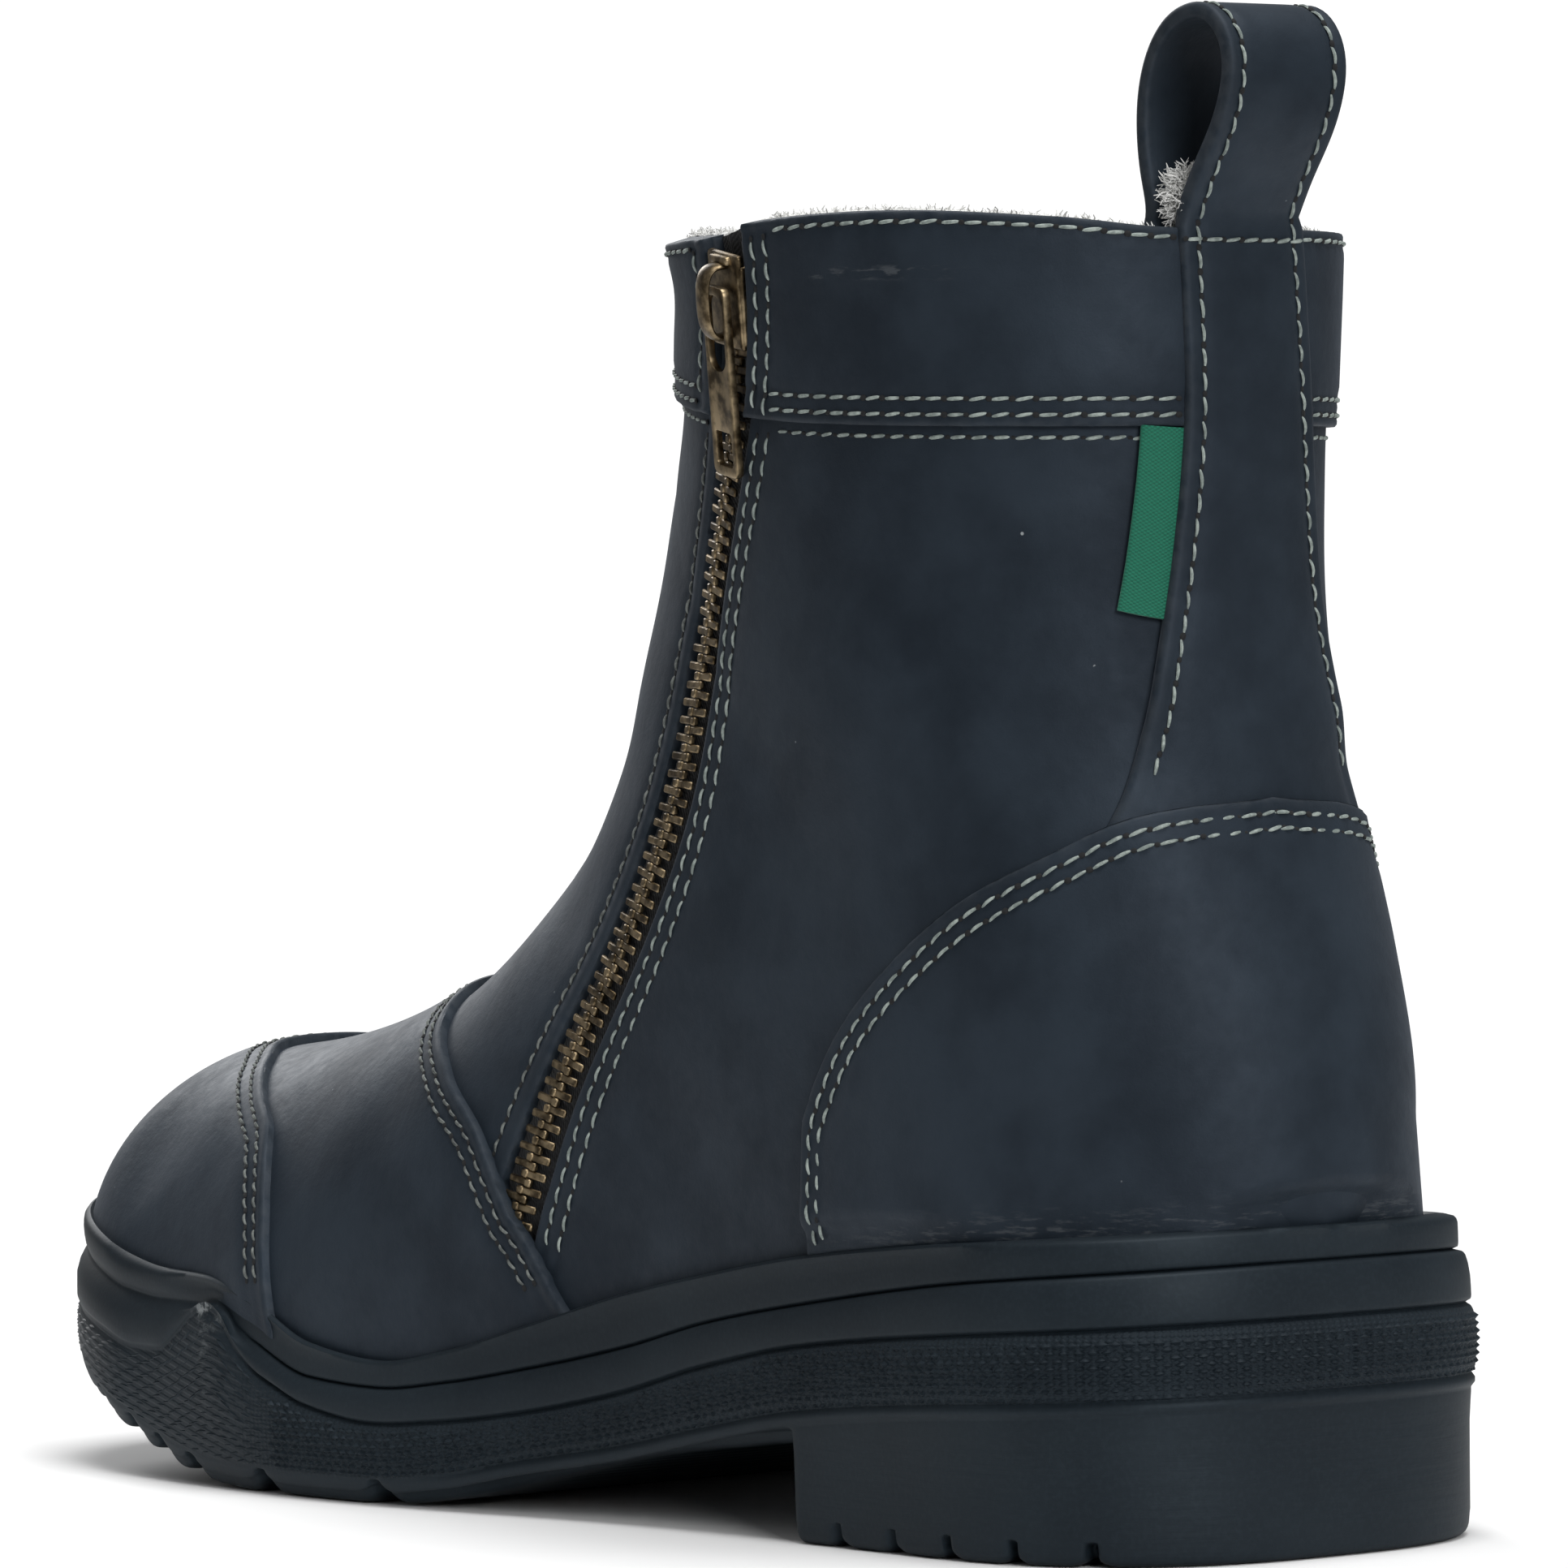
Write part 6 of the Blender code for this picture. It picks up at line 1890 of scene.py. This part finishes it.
@dataclass
class Zip:
    """Tape, two combs of teeth, slider and hinged pull tab."""

    pitch: float = 2.5
    tape_half: float = 5.9
    slider_drop: float = 8.5
    bar_place: float = 1.6
    bar_height: float = 4.7
    slider_half: float = 6.5
    levelled: float = 0.55
    teeth_lift: float = -0.55
    slider_depth: float = 1.9
    pull_thick: float = 1.1
    bridge: Places = ((-4.6, 2.6), (-4.9, 4.2), (-4.5, 5.6), (-3.2, 6.4), (0, 6.7),
                      (3, 6.4), (4.4, 5.6), (4.8, 4.2), (4.6, 2.6))

    def slider_section(self) -> float:
        """Section at which the slider rests."""
        z = ZIP.centre.points()[:, 2]
        return float(np.interp(z[-1] - self.slider_drop, z, ZIP.centre.s))

    def slider_place(self) -> Matrix:
        """Frame of the slider: x across to the heel side, y up the zip, z out of the leather."""
        tiny = 0.004
        s = self.slider_section()
        below, u, above = np.interp((s - tiny, s, s + tiny), ZIP.centre.s, ZIP.centre.u)
        here = LAST.point(s, u) - self.slider_depth * SKIN.normal(s, u)
        up = Vector(LAST.point(s + tiny, above) - LAST.point(s - tiny, below)).normalized()
        across = Vector(LAST.point(s, u + tiny) - LAST.point(s, u - tiny))
        out = across.cross(up).normalized()
        out = -out if out.x < 0 else out
        place = Matrix((up.cross(out), up, out)).transposed().to_4x4()
        place.translation = Vector(here)
        return place

    def build_tape(self, finishes: Finishes) -> None:
        """Makes the woven tape behind the teeth."""
        s = np.linspace(ZIP.foot - 0.004, 0.999, 150)
        part = np.linspace(-1, 1, 13)
        u = np.stack([ZIP.share(s, p * (self.tape_half + 1.2)) for p in part], axis=1)
        bead = 0.5 * hump(np.abs(part), 0.2, 0.12)
        top, under = SKIN.at(s[:, None], u, -1.75 + bead), SKIN.at(s[:, None], u, -2.6)
        points, faces, first = closed_shell(top, under)
        piece = make_piece("zip_tape_weave", points, faces, finishes.tape)
        reach = arc_length(top[:, 6])
        flat = np.stack(np.broadcast_arrays(part[None, :] * self.tape_half, reach[:, None]), -1)
        write_wrap(piece, np.tile(flat.reshape(-1, 2)[first], (2, 1)) * MM)
        settle(piece, Body.BOOT, Slot.TAPE, "zip_tape")

    def tooth(self, finishes: Finishes) -> Piece:
        """One tooth: a bar clamped on the tape with a raised head at the middle of the zip."""
        shape = bmesh.new()
        add_block(shape, (-1, -0.55, -0.3), (3.7, 0.55, 0.3), 0.2, 1)
        add_block(shape, (-1.25, -0.575, -0.28), (0.05, 0.575, 0.52), 0.2, 1)
        return from_bmesh("tooth", shape, finishes.brass)

    def build_teeth(self, repeat: Repeat, finishes: Finishes) -> None:
        """Sets the two combs of teeth along the tape, half a pitch apart."""
        points, normals = ZIP.centre.points(self.teeth_lift), ZIP.centre.normals()
        reach = arc_length(points)
        end = float(np.interp(self.slider_section(), ZIP.centre.s, reach)) - self.slider_half + 1
        beds, across, out = [], [], []
        for side in (1, -1):
            places = np.arange(2 + (side < 0) * self.pitch / 2, end, self.pitch)
            spots, up, normal = frames_at(points, normals, places, 0.5)
            beds.append(spots)
            square, level = np.cross(up, normal), unit(np.cross((0, 0, 1), normal))
            across.append(side * unit(square + self.levelled * (level - square)))
            out.append(normal)
        bed = point_bed(np.vstack(beds), np.vstack(across), np.vstack(out))
        values = {"Finish": finishes.brass, "Size": 1.0, "Swell": 0.02, "Turn": 0.04, "Lean": 0.02, "Seed": 7}
        piece = repeat.lay("zip_teeth", bed, self.tooth(finishes), values)
        settle(piece, Body.BOOT, Slot.BRASS, "zip_chain")

    def build_slider(self, finishes: Finishes) -> None:
        """Makes the slider's bridge, plate, side rails and stop."""
        half = self.slider_half
        path = smooth_path(self.bridge, 28)
        shape = swept_bar(path, np.full(len(path), 1.7), 14, 0.3)
        bmesh.ops.transform(shape, matrix=Matrix.Rotation(math.pi / 2, 4, "Z"), verts=shape.verts)
        add_block(shape, (-4.3, -half, 2.2), (4.3, half, 3.4), 0.5, 3)
        for low, high in ((-4.6, -3.5), (3.5, 4.6)):
            add_block(shape, (low, -half + 0.6, 0.4), (high, half - 1.5, 3.2), 0.45, 3)
        add_block(shape, (-2.4, 5, 3), (2.4, 6.2, 4.1), 0.4, 3)
        piece = from_bmesh("zip_slider_brass", shape, finishes.brass, self.slider_place())
        settle(piece, Body.BOOT, Slot.BRASS, "zip_slider")

    def build_pull(self, finishes: Finishes) -> None:
        """Makes the pull tab: a plate with an oval eye, a window and a bottom bar."""
        shape = bmesh.new()

        def loop(points: Sequence[tuple[float, float]]) -> list[bmesh.types.BMEdge]:
            """Adds a closed outline."""
            verts = [shape.verts.new((x, y, -self.pull_thick / 2)) for x, y in points]
            return [shape.edges.new((a, b)) for a, b in zip(verts, verts[1:] + verts[:1])]

        def rounded(low: tuple[float, float], high: tuple[float, float], radius: float,
                    taper: float = 0) -> list[tuple[float, float]]:
            """Corners of a rounded box, narrowed at its top by a taper."""
            points = []
            left, right = low[0] + radius, high[0] - radius
            foot, head = low[1] + radius, high[1] - radius
            for cx, cy, start in ((right, head, 0), (left, head, 90), (left, foot, 180), (right, foot, 270)):
                for turn in np.radians(np.linspace(start, start + 90, 7)):
                    x, y = cx + radius * math.cos(turn), cy + radius * math.sin(turn)
                    points.append((x * (1 - taper * (y - low[1]) / (high[1] - low[1])), y))
            return points

        edges = loop(rounded((-3.4, -25.5), (3.4, 0.6), 1.2, 0.06))
        edges += loop(rounded((-2.3, -11), (2.3, -0.65), 2))
        edges += loop(rounded((-2.2, -24.1), (2.2, -19.4), 0.6))
        made = bmesh.ops.triangle_fill(shape, use_beauty=True, use_dissolve=False, edges=edges)
        faces = [g for g in made["geom"] if isinstance(g, bmesh.types.BMFace)]
        pushed = bmesh.ops.extrude_face_region(shape, geom=faces)["geom"]
        raised = [g for g in pushed if isinstance(g, bmesh.types.BMVert)]
        bmesh.ops.translate(shape, vec=(0, 0, self.pull_thick), verts=raised)
        bmesh.ops.recalc_face_normals(shape, faces=shape.faces)
        rims = [e for e in shape.edges if len(e.link_faces) == 2 and e.calc_face_angle() > 1]
        bmesh.ops.bevel(shape, geom=rims, offset=0.22, segments=2, affect="EDGES", profile=0.5)
        hinge = self.slider_place() @ Matrix.Translation((0, self.bar_place, self.bar_height))
        piece = from_bmesh("zip_pull_brass", shape, finishes.brass, hinge, 30)
        settle(piece, Body.PULL, Slot.BRASS, "zip_pull")


# Sole

@dataclass
class Sole:
    """Moulded sole unit: lip, groove, side bands, toe bumper, waist, heel block and tread."""

    forefoot_notches: tuple[float, ...] = (-131, -122, -109.5, -98, -87, -78.4, -68.7, -48.7, -21.3)
    heel_notches: tuple[float, ...] = (76, 88, 100, 112, 123)
    notch_depth: float = 2.4
    knurl_start: float = -46
    cap_count: int = 150
    side_count: int = 300
    between: int = 2
    tread_columns: int = 26
    insole_inset: float = 11.5

    def touch(self, station: Array, side: int) -> Array:
        """Distance from the outline in to the leather at the height of the lip."""
        shares = lip_shares(0.5)[side]
        shown = (shares > 0) & (shares < 1)
        contour = SKIN.at(LAST.dense[shown], side * shares[shown])
        contour[:, 2] = 0
        ring = OUTLINE.ring(station, 0, 0, side)
        return np.clip(distance_to(ring, contour[np.argsort(contour[:, 1])]), 2, 9)

    def ground(self, y: Array) -> Array:
        """Height of the ground side: the arch ends at the heel's breast."""
        arch = sole_height("tread", np.minimum(y, HEEL_BREAST))
        return arch * (1 - soft_step(y, HEEL_BREAST - 1, HEEL_BREAST + 2))

    def block(self, y: Array) -> Array:
        """Inset of the tread and heel block under the bands."""
        places = (-136, -30, -6, 4, HEEL_BREAST - 3, HEEL_BREAST + 2.5, 136)
        return monotone(places, np.array((1.3, 1.3, 3, 5.5, 5.5, 0.9, 0.9)), y)

    def notch(self, y: Array) -> Array:
        """1 in the notches of the tread's edge and 0 between them."""
        total = np.zeros_like(y)
        for places, half in ((self.forefoot_notches, 0.85), (self.heel_notches, 0.62)):
            total += sum(np.exp(-((y - place) / half) ** 4) for place in places)
        return np.clip(total, 0, 1)

    def scallop(self, y: Array) -> Array:
        """Rise of the forefoot's lugs towards their notches."""
        fore, heel = (np.min([np.abs(y - place) for place in places], axis=0)
                      for places in (self.forefoot_notches, self.heel_notches))
        return 1.9 * hump(fore, 0, 2.3) * (1 - soft_step(y, -20, -10)) + 0.9 * hump(heel, 0, 1.5)

    def profile(self, station: Array, side: int) -> tuple[Array, Array]:
        """Insets and heights of the wall's lines, from inside the cup down to the ground.

        Args:
            station: places round the outline.
            side: 1 for lateral, -1 for medial.

        Returns:
            Two arrays with a row for each line and a column for each station.
        """
        y = OUTLINE.run_y(station, 0)
        lip, edge, ground = sole_height("lip", y), sole_height("edge", y), self.ground(y)
        texture = sole_height("texture", y)
        groove = np.minimum(np.maximum(sole_height("groove", y), texture + 1.3), lip - 1.6)
        touch = self.touch(station, side)
        crown = np.clip(touch - 2.9, 2.3, 4.6)
        sides = soft_step(y, -58, -46)
        toe = 1 - soft_step(y, -80, -68)
        block, notch, scallop = self.block(y), self.notch(y), self.scallop(y)
        bead = soft_step(y, -16, 4)
        shoulder = np.maximum(edge - 2.4, ground + 1.8)
        span = shoulder - ground
        wing = (1 - sides) * (1 - toe)
        lines = [
            (touch + 0.8, lip - 7),
            (touch - 0.4, lip - 2.4),
            (crown + 0.75, lip - 0.55),
            (crown + 0.2, lip),
            (np.minimum(crown - 0.5, 2.6) - 0.2 * toe, lip - 0.45 - 0.35 * toe),
            (2.15 - 0.7 * toe, lip - 1.3 - 0.8 * toe),
            (2.1 - 0.4 * toe, groove + 1),
            (2.2 - 0.2 * toe, groove + 0.3),
            (2.25 - 0.15 * toe + 0.6 * sides, groove),
            (2.2 - 0.45 * sides - 0.2 * toe, groove - 0.3),
            (1.3 + 0.5 * wing + 0.1 * toe, groove - 0.75 - 0.4 * toe),
            (0.75 - 0.45 * toe, 0.5 * groove + 0.5 * texture),
            (0.65 - 0.4 * toe, texture + 0.9),
            (0.75 - 0.2 * toe, texture + 0.4),
            (1.4 - 0.8 * toe - 0.7 * wing, texture),
            (0.8 - 0.15 * toe, texture - 0.45),
            (0.45, texture - 1.1),
            (0.05 + 0.2 * toe, 0.55 * texture + 0.45 * edge),
            (0.35, edge + 1),
            (0.45 + 0.4 * bead, edge + 0.2),
            (0.5 - 0.1 * bead, edge - 0.5),
            (0.7 - 0.3 * bead, edge - 1.1),
            (1 - 0.1 * bead, edge - 1.8),
            (block, shoulder),
            (block + 0.25, ground + np.maximum(0.8 * span, span - 6)),
            (block + 0.4, ground + np.minimum(3.4, 0.66 * span)),
            (block + 0.45, ground + np.minimum(3.05, 0.6 * span)),
            (block + 0.6, ground + np.minimum(1.5, 0.42 * span)),
            (block + 0.95, ground + np.minimum(0.6, 0.2 * span)),
            (block + 1.7, ground + 0.12),
            (block + 3, ground),
        ]
        last = len(lines) - 1
        rows = np.linspace(0, last, last * self.between + 1)
        inset, z = (monotone(np.arange(last + 1), [np.broadcast_to(line, y.shape) for line in column], rows)
                    for column in zip(*lines))
        above = z - ground
        inset += self.notch_depth * notch * (1 - soft_step(above, 2.5, 3.2))
        return inset, z + scallop * (1 - soft_step(above, 0, 5))

    def masks(self, station: Array, rows: int) -> dict[str, Array]:
        """Weights of the textures for each row of the wall and each station."""
        y = OUTLINE.run_y(station, 0)
        k = np.arange(rows)[:, None] / self.between
        band = soft_step(k, 14.2, 15.2) * (1 - soft_step(k, 18.4, 19.3))
        fore = 1 - soft_step(y, -58, -38)
        ribs = band * fore
        wall = soft_step(k, 23, 24) * (1 - soft_step(k, 29, 30))
        waist = soft_step(y, -4, 6) * (1 - soft_step(y, 60, 68))
        streak = soft_step(y, 66, 72) * wall + 0.15
        # pale spot on the wing's peak: worn rubber with a painted highlight
        wing = 2.6 * hump(y, -63, 3.6) * hump(k, 13.4, 2.3)
        scrape = 0.3 * hump(y, -60, 12) * hump(k, 28, 1.6)
        return {"knurl": band * (1 - fore) * (1 - 0.3 * waist), "ribs": ribs, "streak": streak,
                "rub": wing + scrape}

    def tread(self, x: Array, y: Array) -> Array:
        """Depth of the ground side's channels and ribs."""
        deep = np.zeros_like(x)
        for place in self.forefoot_notches:
            deep = np.maximum(deep, 2.2 * np.exp(-((y - place - 0.16 * np.abs(x)) / 1.5) ** 4))
        for place in self.heel_notches:
            deep = np.maximum(deep, 2 * np.exp(-((y - place + 0.12 * np.abs(x)) / 1.3) ** 4))
        centre = 1.8 * np.exp(-((np.abs(x) - 13) / 1.4) ** 4) * (1 - soft_step(y, -26, -20))
        waist = soft_step(y, 0, 8) * (1 - soft_step(y, 58, 66))
        return np.maximum(deep, centre) + 0.35 * waist * (1 + np.sin(2 * math.pi * y / 3.4))

    def build(self, repeat: Repeat, finishes: Finishes) -> None:
        """Makes the sole as one closed mesh with its own wrap map, and the scales on its side."""
        station = OUTLINE.stations(self.cap_count, self.side_count)
        count = len(station)
        sides = []
        for side in (1, -1):
            inset, z = self.profile(station, side)
            sides.append(OUTLINE.ring(np.broadcast_to(station, z.shape), inset, z, side))

        def around(outer: Array, inner: Array) -> Array:
            """Both sides as rows round the whole outline."""
            return np.concatenate([outer, inner[:, -2:0:-1]], axis=1)

        def closed(grid: Array) -> Array:
            """Rows with their first column again at the end."""
            return np.concatenate([grid, grid[:, :1]], axis=1)

        wall = around(*sides)
        ids = np.arange(wall[..., 0].size).reshape(wall.shape[:2])
        reach = arc_length(OUTLINE.ring(station, 0, 0, 1))
        reach = np.concatenate([reach, 2 * reach[-1] - reach[-2::-1]])
        wrap = cells_of(np.stack(np.broadcast_arrays(reach, closed(wall[..., 2])), -1)).reshape(-1, 4, 2)
        faces = cells_of(closed(ids)).reshape(-1, 4).tolist()
        points = [wall.reshape(-1, 3)]
        start = ids.size
        for ring, inner in ((ids[-1], self.tread_columns), (ids[0], 0)):
            lateral = ring[:count]
            medial = np.concatenate([ring[:1], ring[:count - 1:-1], ring[count - 1:count]])
            part = np.linspace(0, 1, inner + 2)[1:-1]
            ends = points[0][lateral][:, None], points[0][medial][:, None]
            grid = ends[0] * (1 - part)[None, :, None] + ends[1] * part[None, :, None]
            inside = np.clip(np.minimum(part, 1 - part) * 8, 0, 1)[None, :]
            ground = self.ground(grid[..., 1]) + self.tread(grid[..., 0], grid[..., 1])
            grid[..., 2] += (ground - grid[..., 2]) * inside
            own = np.repeat(lateral[:, None], inner, axis=1)
            own[1:-1] = start + np.arange((count - 2) * inner).reshape(count - 2, inner)
            quads = cells_of(np.concatenate([lateral[:, None], own, medial[:, None]], axis=1)).reshape(-1, 4)
            faces += [cell[::-1] for cell in tidy_cells(quads if inner else quads[:, ::-1])]
            points.append(grid[1:-1].reshape(-1, 3))
            start += (count - 2) * inner
        points = np.vstack(points)
        plain = np.zeros(len(points) - ids.size)
        masks = {key: np.concatenate([around(m, m).ravel(), plain])
                 for key, m in self.masks(station, len(wall)).items()}
        turned = facing_out(points, faces)
        piece = make_piece("sole_rubber", points, turned, finishes.rubber, masks, 60)
        corners = np.zeros((len(piece.data.loops), 2))
        corners[:4 * len(wrap)] = (wrap if turned is faces else wrap[:, ::-1]).reshape(-1, 2)
        layer = piece.data.uv_layers.new(name="wrap")
        layer.data.foreach_set("uv", np.ascontiguousarray(corners * MM, np.float32).ravel())
        settle(piece, Body.BOOT, Slot.RUBBER, "sole_unit")
        self.build_knurl(wall, reach[:-1], repeat, finishes)

    def build_knurl(self, wall: Array, reach: Array, repeat: Repeat, finishes: Finishes) -> None:
        """Raises the scales of the side band: short diamonds behind the ball and slanted ribs ahead of it.

        Args:
            wall: points of the sole's wall in rows round the outline.
            reach: distance of each column round the outline.
            repeat: tree that sets a shape on points.
            finishes: the finishes.
        """
        upright, around = np.gradient(wall, axis=0), np.gradient(wall, axis=1)
        normals = unit(np.cross(upright, around))
        normals *= np.where(np.sum(normals * (wall - wall.mean(axis=(0, 1))), -1, keepdims=True) < 0, -1, 1)
        kinds = (("sole_knurl", 1.95, 0.98, (1, 0.56, 0.42), 0, True),
                 ("sole_ribs", 3.3, 0.95, (2.1, 0.42, 0.15), 9, False))
        for name, pitch, rise, size, slant, rear in kinds:
            spots, along, out = [], [], []
            for j in range(24):
                places = (np.arange(int(reach[-1] / pitch)) + 0.5 * (j % 2)) * pitch
                columns = np.clip(np.searchsorted(reach, places), 1, len(reach) - 2)
                for i in columns:
                    y = wall[30, i, 1]
                    low, high = float(sole_height("edge", y)), float(sole_height("texture", y))
                    z = low + 0.75 + j * rise
                    if z > high - 1 or (y > self.knurl_start) != rear:
                        continue
                    k = int(np.argmin(np.abs(wall[28:40, i, 2] - z))) + 28
                    spots.append(wall[k, i] + (0, 0, z - wall[k, i, 2]))
                    along.append(around[k, i])
                    out.append(normals[k, i])
            shape = bmesh.new()
            a, b, high = size
            base = [shape.verts.new(v) for v in ((a, 0, -0.2), (0, b, -0.2), (-a, 0, -0.2), (0, -b, -0.2))]
            top = [shape.verts.new(v) for v in ((0.35 * a, 0, high), (-0.35 * a, 0, high))]
            for corners in ((base[0], base[1], top[0]), (base[1], base[2], top[1]), (base[1], top[1], top[0]),
                            (base[2], base[3], top[1]), (base[3], base[0], top[0]), (base[3], top[0], top[1]),
                            tuple(base[::-1])):
                shape.faces.new(corners)
            scale = from_bmesh("scale", shape, finishes.rubber, Matrix.Rotation(math.radians(slant), 4, "Z"))
            bed = point_bed(np.array(spots), unit(np.array(along)), np.array(out))
            values = {"Finish": finishes.rubber, "Size": 1.0, "Swell": 0.12, "Turn": 0.06, "Lean": 0.03,
                      "Seed": 21}
            settle(repeat.lay(name, bed, scale, values), Body.BOOT, Slot.RUBBER)

    def build_insole(self, finishes: Finishes) -> None:
        """Makes the fleece-covered insole."""
        station = OUTLINE.stations(24, 60)
        z = LAST.keel_height(OUTLINE.run_y(station, self.insole_inset))
        part = np.linspace(0, 1, 22)
        lateral, medial = (OUTLINE.ring(station, self.insole_inset, z, side) for side in (1, -1))
        grid = lateral[:, None] * (1 - part)[None, :, None] + medial[:, None] * part[None, :, None]
        top, under = grid.copy(), grid.copy()
        lump = np.random.default_rng(9).normal(0, 0.18, grid.shape[:2])
        lump[[0, -1]] = 0
        dish = 1.2 * (np.abs(2 * part - 1) ** 3)[None, :]
        top[..., 2] += 3.3 + lump + dish
        under[..., 2] += 0.2
        points, faces, _ = closed_shell(top[1:-1], under[1:-1])
        settle(make_piece("insole_fleece", points, faces, finishes.fleece), Body.BOOT, Slot.FLEECE, "insole")


# Studio

@dataclass(frozen=True)
class Studio:
    """Camera at the photograph's angle, pale floor and soft lights."""

    azimuth: float = 143
    elevation: float = 0.8
    roll: float = -1.2
    distance: float = 1235
    focal: float = 10850 / 1932
    target: tuple[float, float, float] = (0, 17, 100.4)
    sensor: float = 36
    fill: float = 0.23
    paper: float = 1.1
    floor_half: float = 1600
    floor_drop: float = 0.05

    def build_camera(self) -> None:
        """Sets the camera."""
        a, e, r = (math.radians(v) for v in (self.azimuth, self.elevation, self.roll))
        back = Vector((math.sin(a) * math.cos(e), -math.cos(a) * math.cos(e), math.sin(e)))
        right = Vector((math.cos(a), math.sin(a), 0))
        up = back.cross(right)
        side, top = right * math.cos(r) + up * math.sin(r), up * math.cos(r) - right * math.sin(r)
        data = bpy.data.cameras.new("camera")
        data.sensor_width = self.sensor
        data.lens = self.focal * self.sensor
        data.clip_start, data.clip_end = 0.05, 50
        camera = linked(data)
        place = Matrix((side, top, back)).transposed().to_4x4()
        place.translation = (Vector(self.target) + back * self.distance) * MM
        camera.matrix_world = place
        bpy.context.scene.camera = camera

    def light(self, name: str, place: Sequence[float], aim: Sequence[float], size: float,
              power: float) -> None:
        """Adds a soft square light in metres."""
        data = bpy.data.lights.new(name, "AREA")
        data.shape, data.size, data.energy = "SQUARE", size, power
        lamp = linked(data)
        lamp.location = place
        lamp.rotation_euler = (Vector(aim) - Vector(place)).to_track_quat("-Z", "Y").to_euler()

    def build(self) -> None:
        """Sets the floor, lights, background and picture tone."""
        self.build_camera()
        half = self.floor_half
        square = ((-half, -half), (half, -half), (half, half), (-half, half))
        corners = np.array([(x, y, -self.floor_drop) for x, y in square])
        floor = make_piece("floor", corners, [[0, 1, 2, 3]], Floor().make())
        world = bpy.data.worlds.new("studio")
        world.use_nodes = True
        tree = Tree(world.node_tree)
        seen = tree.node("ShaderNodeLightPath", out="Is Camera Ray")
        sky = world.node_tree.nodes["Background"].inputs
        tree.feed(sky["Strength"], self.fill + seen * (self.paper - self.fill))
        sky["Color"].default_value = (1, 1, 1, 1)
        bpy.context.scene.world = world
        middle = (0, 0, 0.09)
        self.light("key", (0, 0.3, 1.8), middle, 1, 31)
        self.light("front", (-0.55, -1.7, 1), middle, 0.8, 17)
        self.light("back", (0.55, 1.9, 0.75), middle, 0.7, 23)
        bpy.context.scene.view_settings.view_transform = "Standard"


def main() -> None:
    """Builds every piece of the boot and its studio, in order."""
    logging.basicConfig(level=logging.INFO, format="%(name)s: %(message)s")
    finishes = Finishes()
    repeat, spread = Repeat("set_on_points", False), Repeat("scatter_on_faces", True)
    thread = Thread()
    # stitches in the darker copy of the thread, which is painted shade on the front of the zip, the toe cap
    # and the vamp
    shade_painted_thread = Thread(pitch=2.7, length=2.05, radius=0.25, name="front_stitches")
    sole = Sole()
    sole.build(repeat, finishes)
    sole.build_insole(finishes)
    upper = Upper()
    upper.build_leather(finishes, thread, shade_painted_thread)
    upper.build_lining(finishes)
    upper.build_pile(spread, finishes)
    overlays = Overlays()
    overlays.build_front(finishes, shade_painted_thread)
    overlays.build_counter(finishes, thread)
    Collar().build(finishes, thread)
    strap = Strap()
    strap.build(finishes, thread)
    RibbonTab().build(finishes, strap)
    zipper = Zip()
    zipper.build_tape(finishes)
    zipper.build_teeth(repeat, finishes)
    zipper.build_slider(finishes)
    zipper.build_pull(finishes)
    thread.build(repeat, finishes, finishes.thread)
    shade_painted_thread.build(repeat, finishes, finishes.shade_painted_thread)
    Studio().build()


if __name__ == "__main__":
    main()
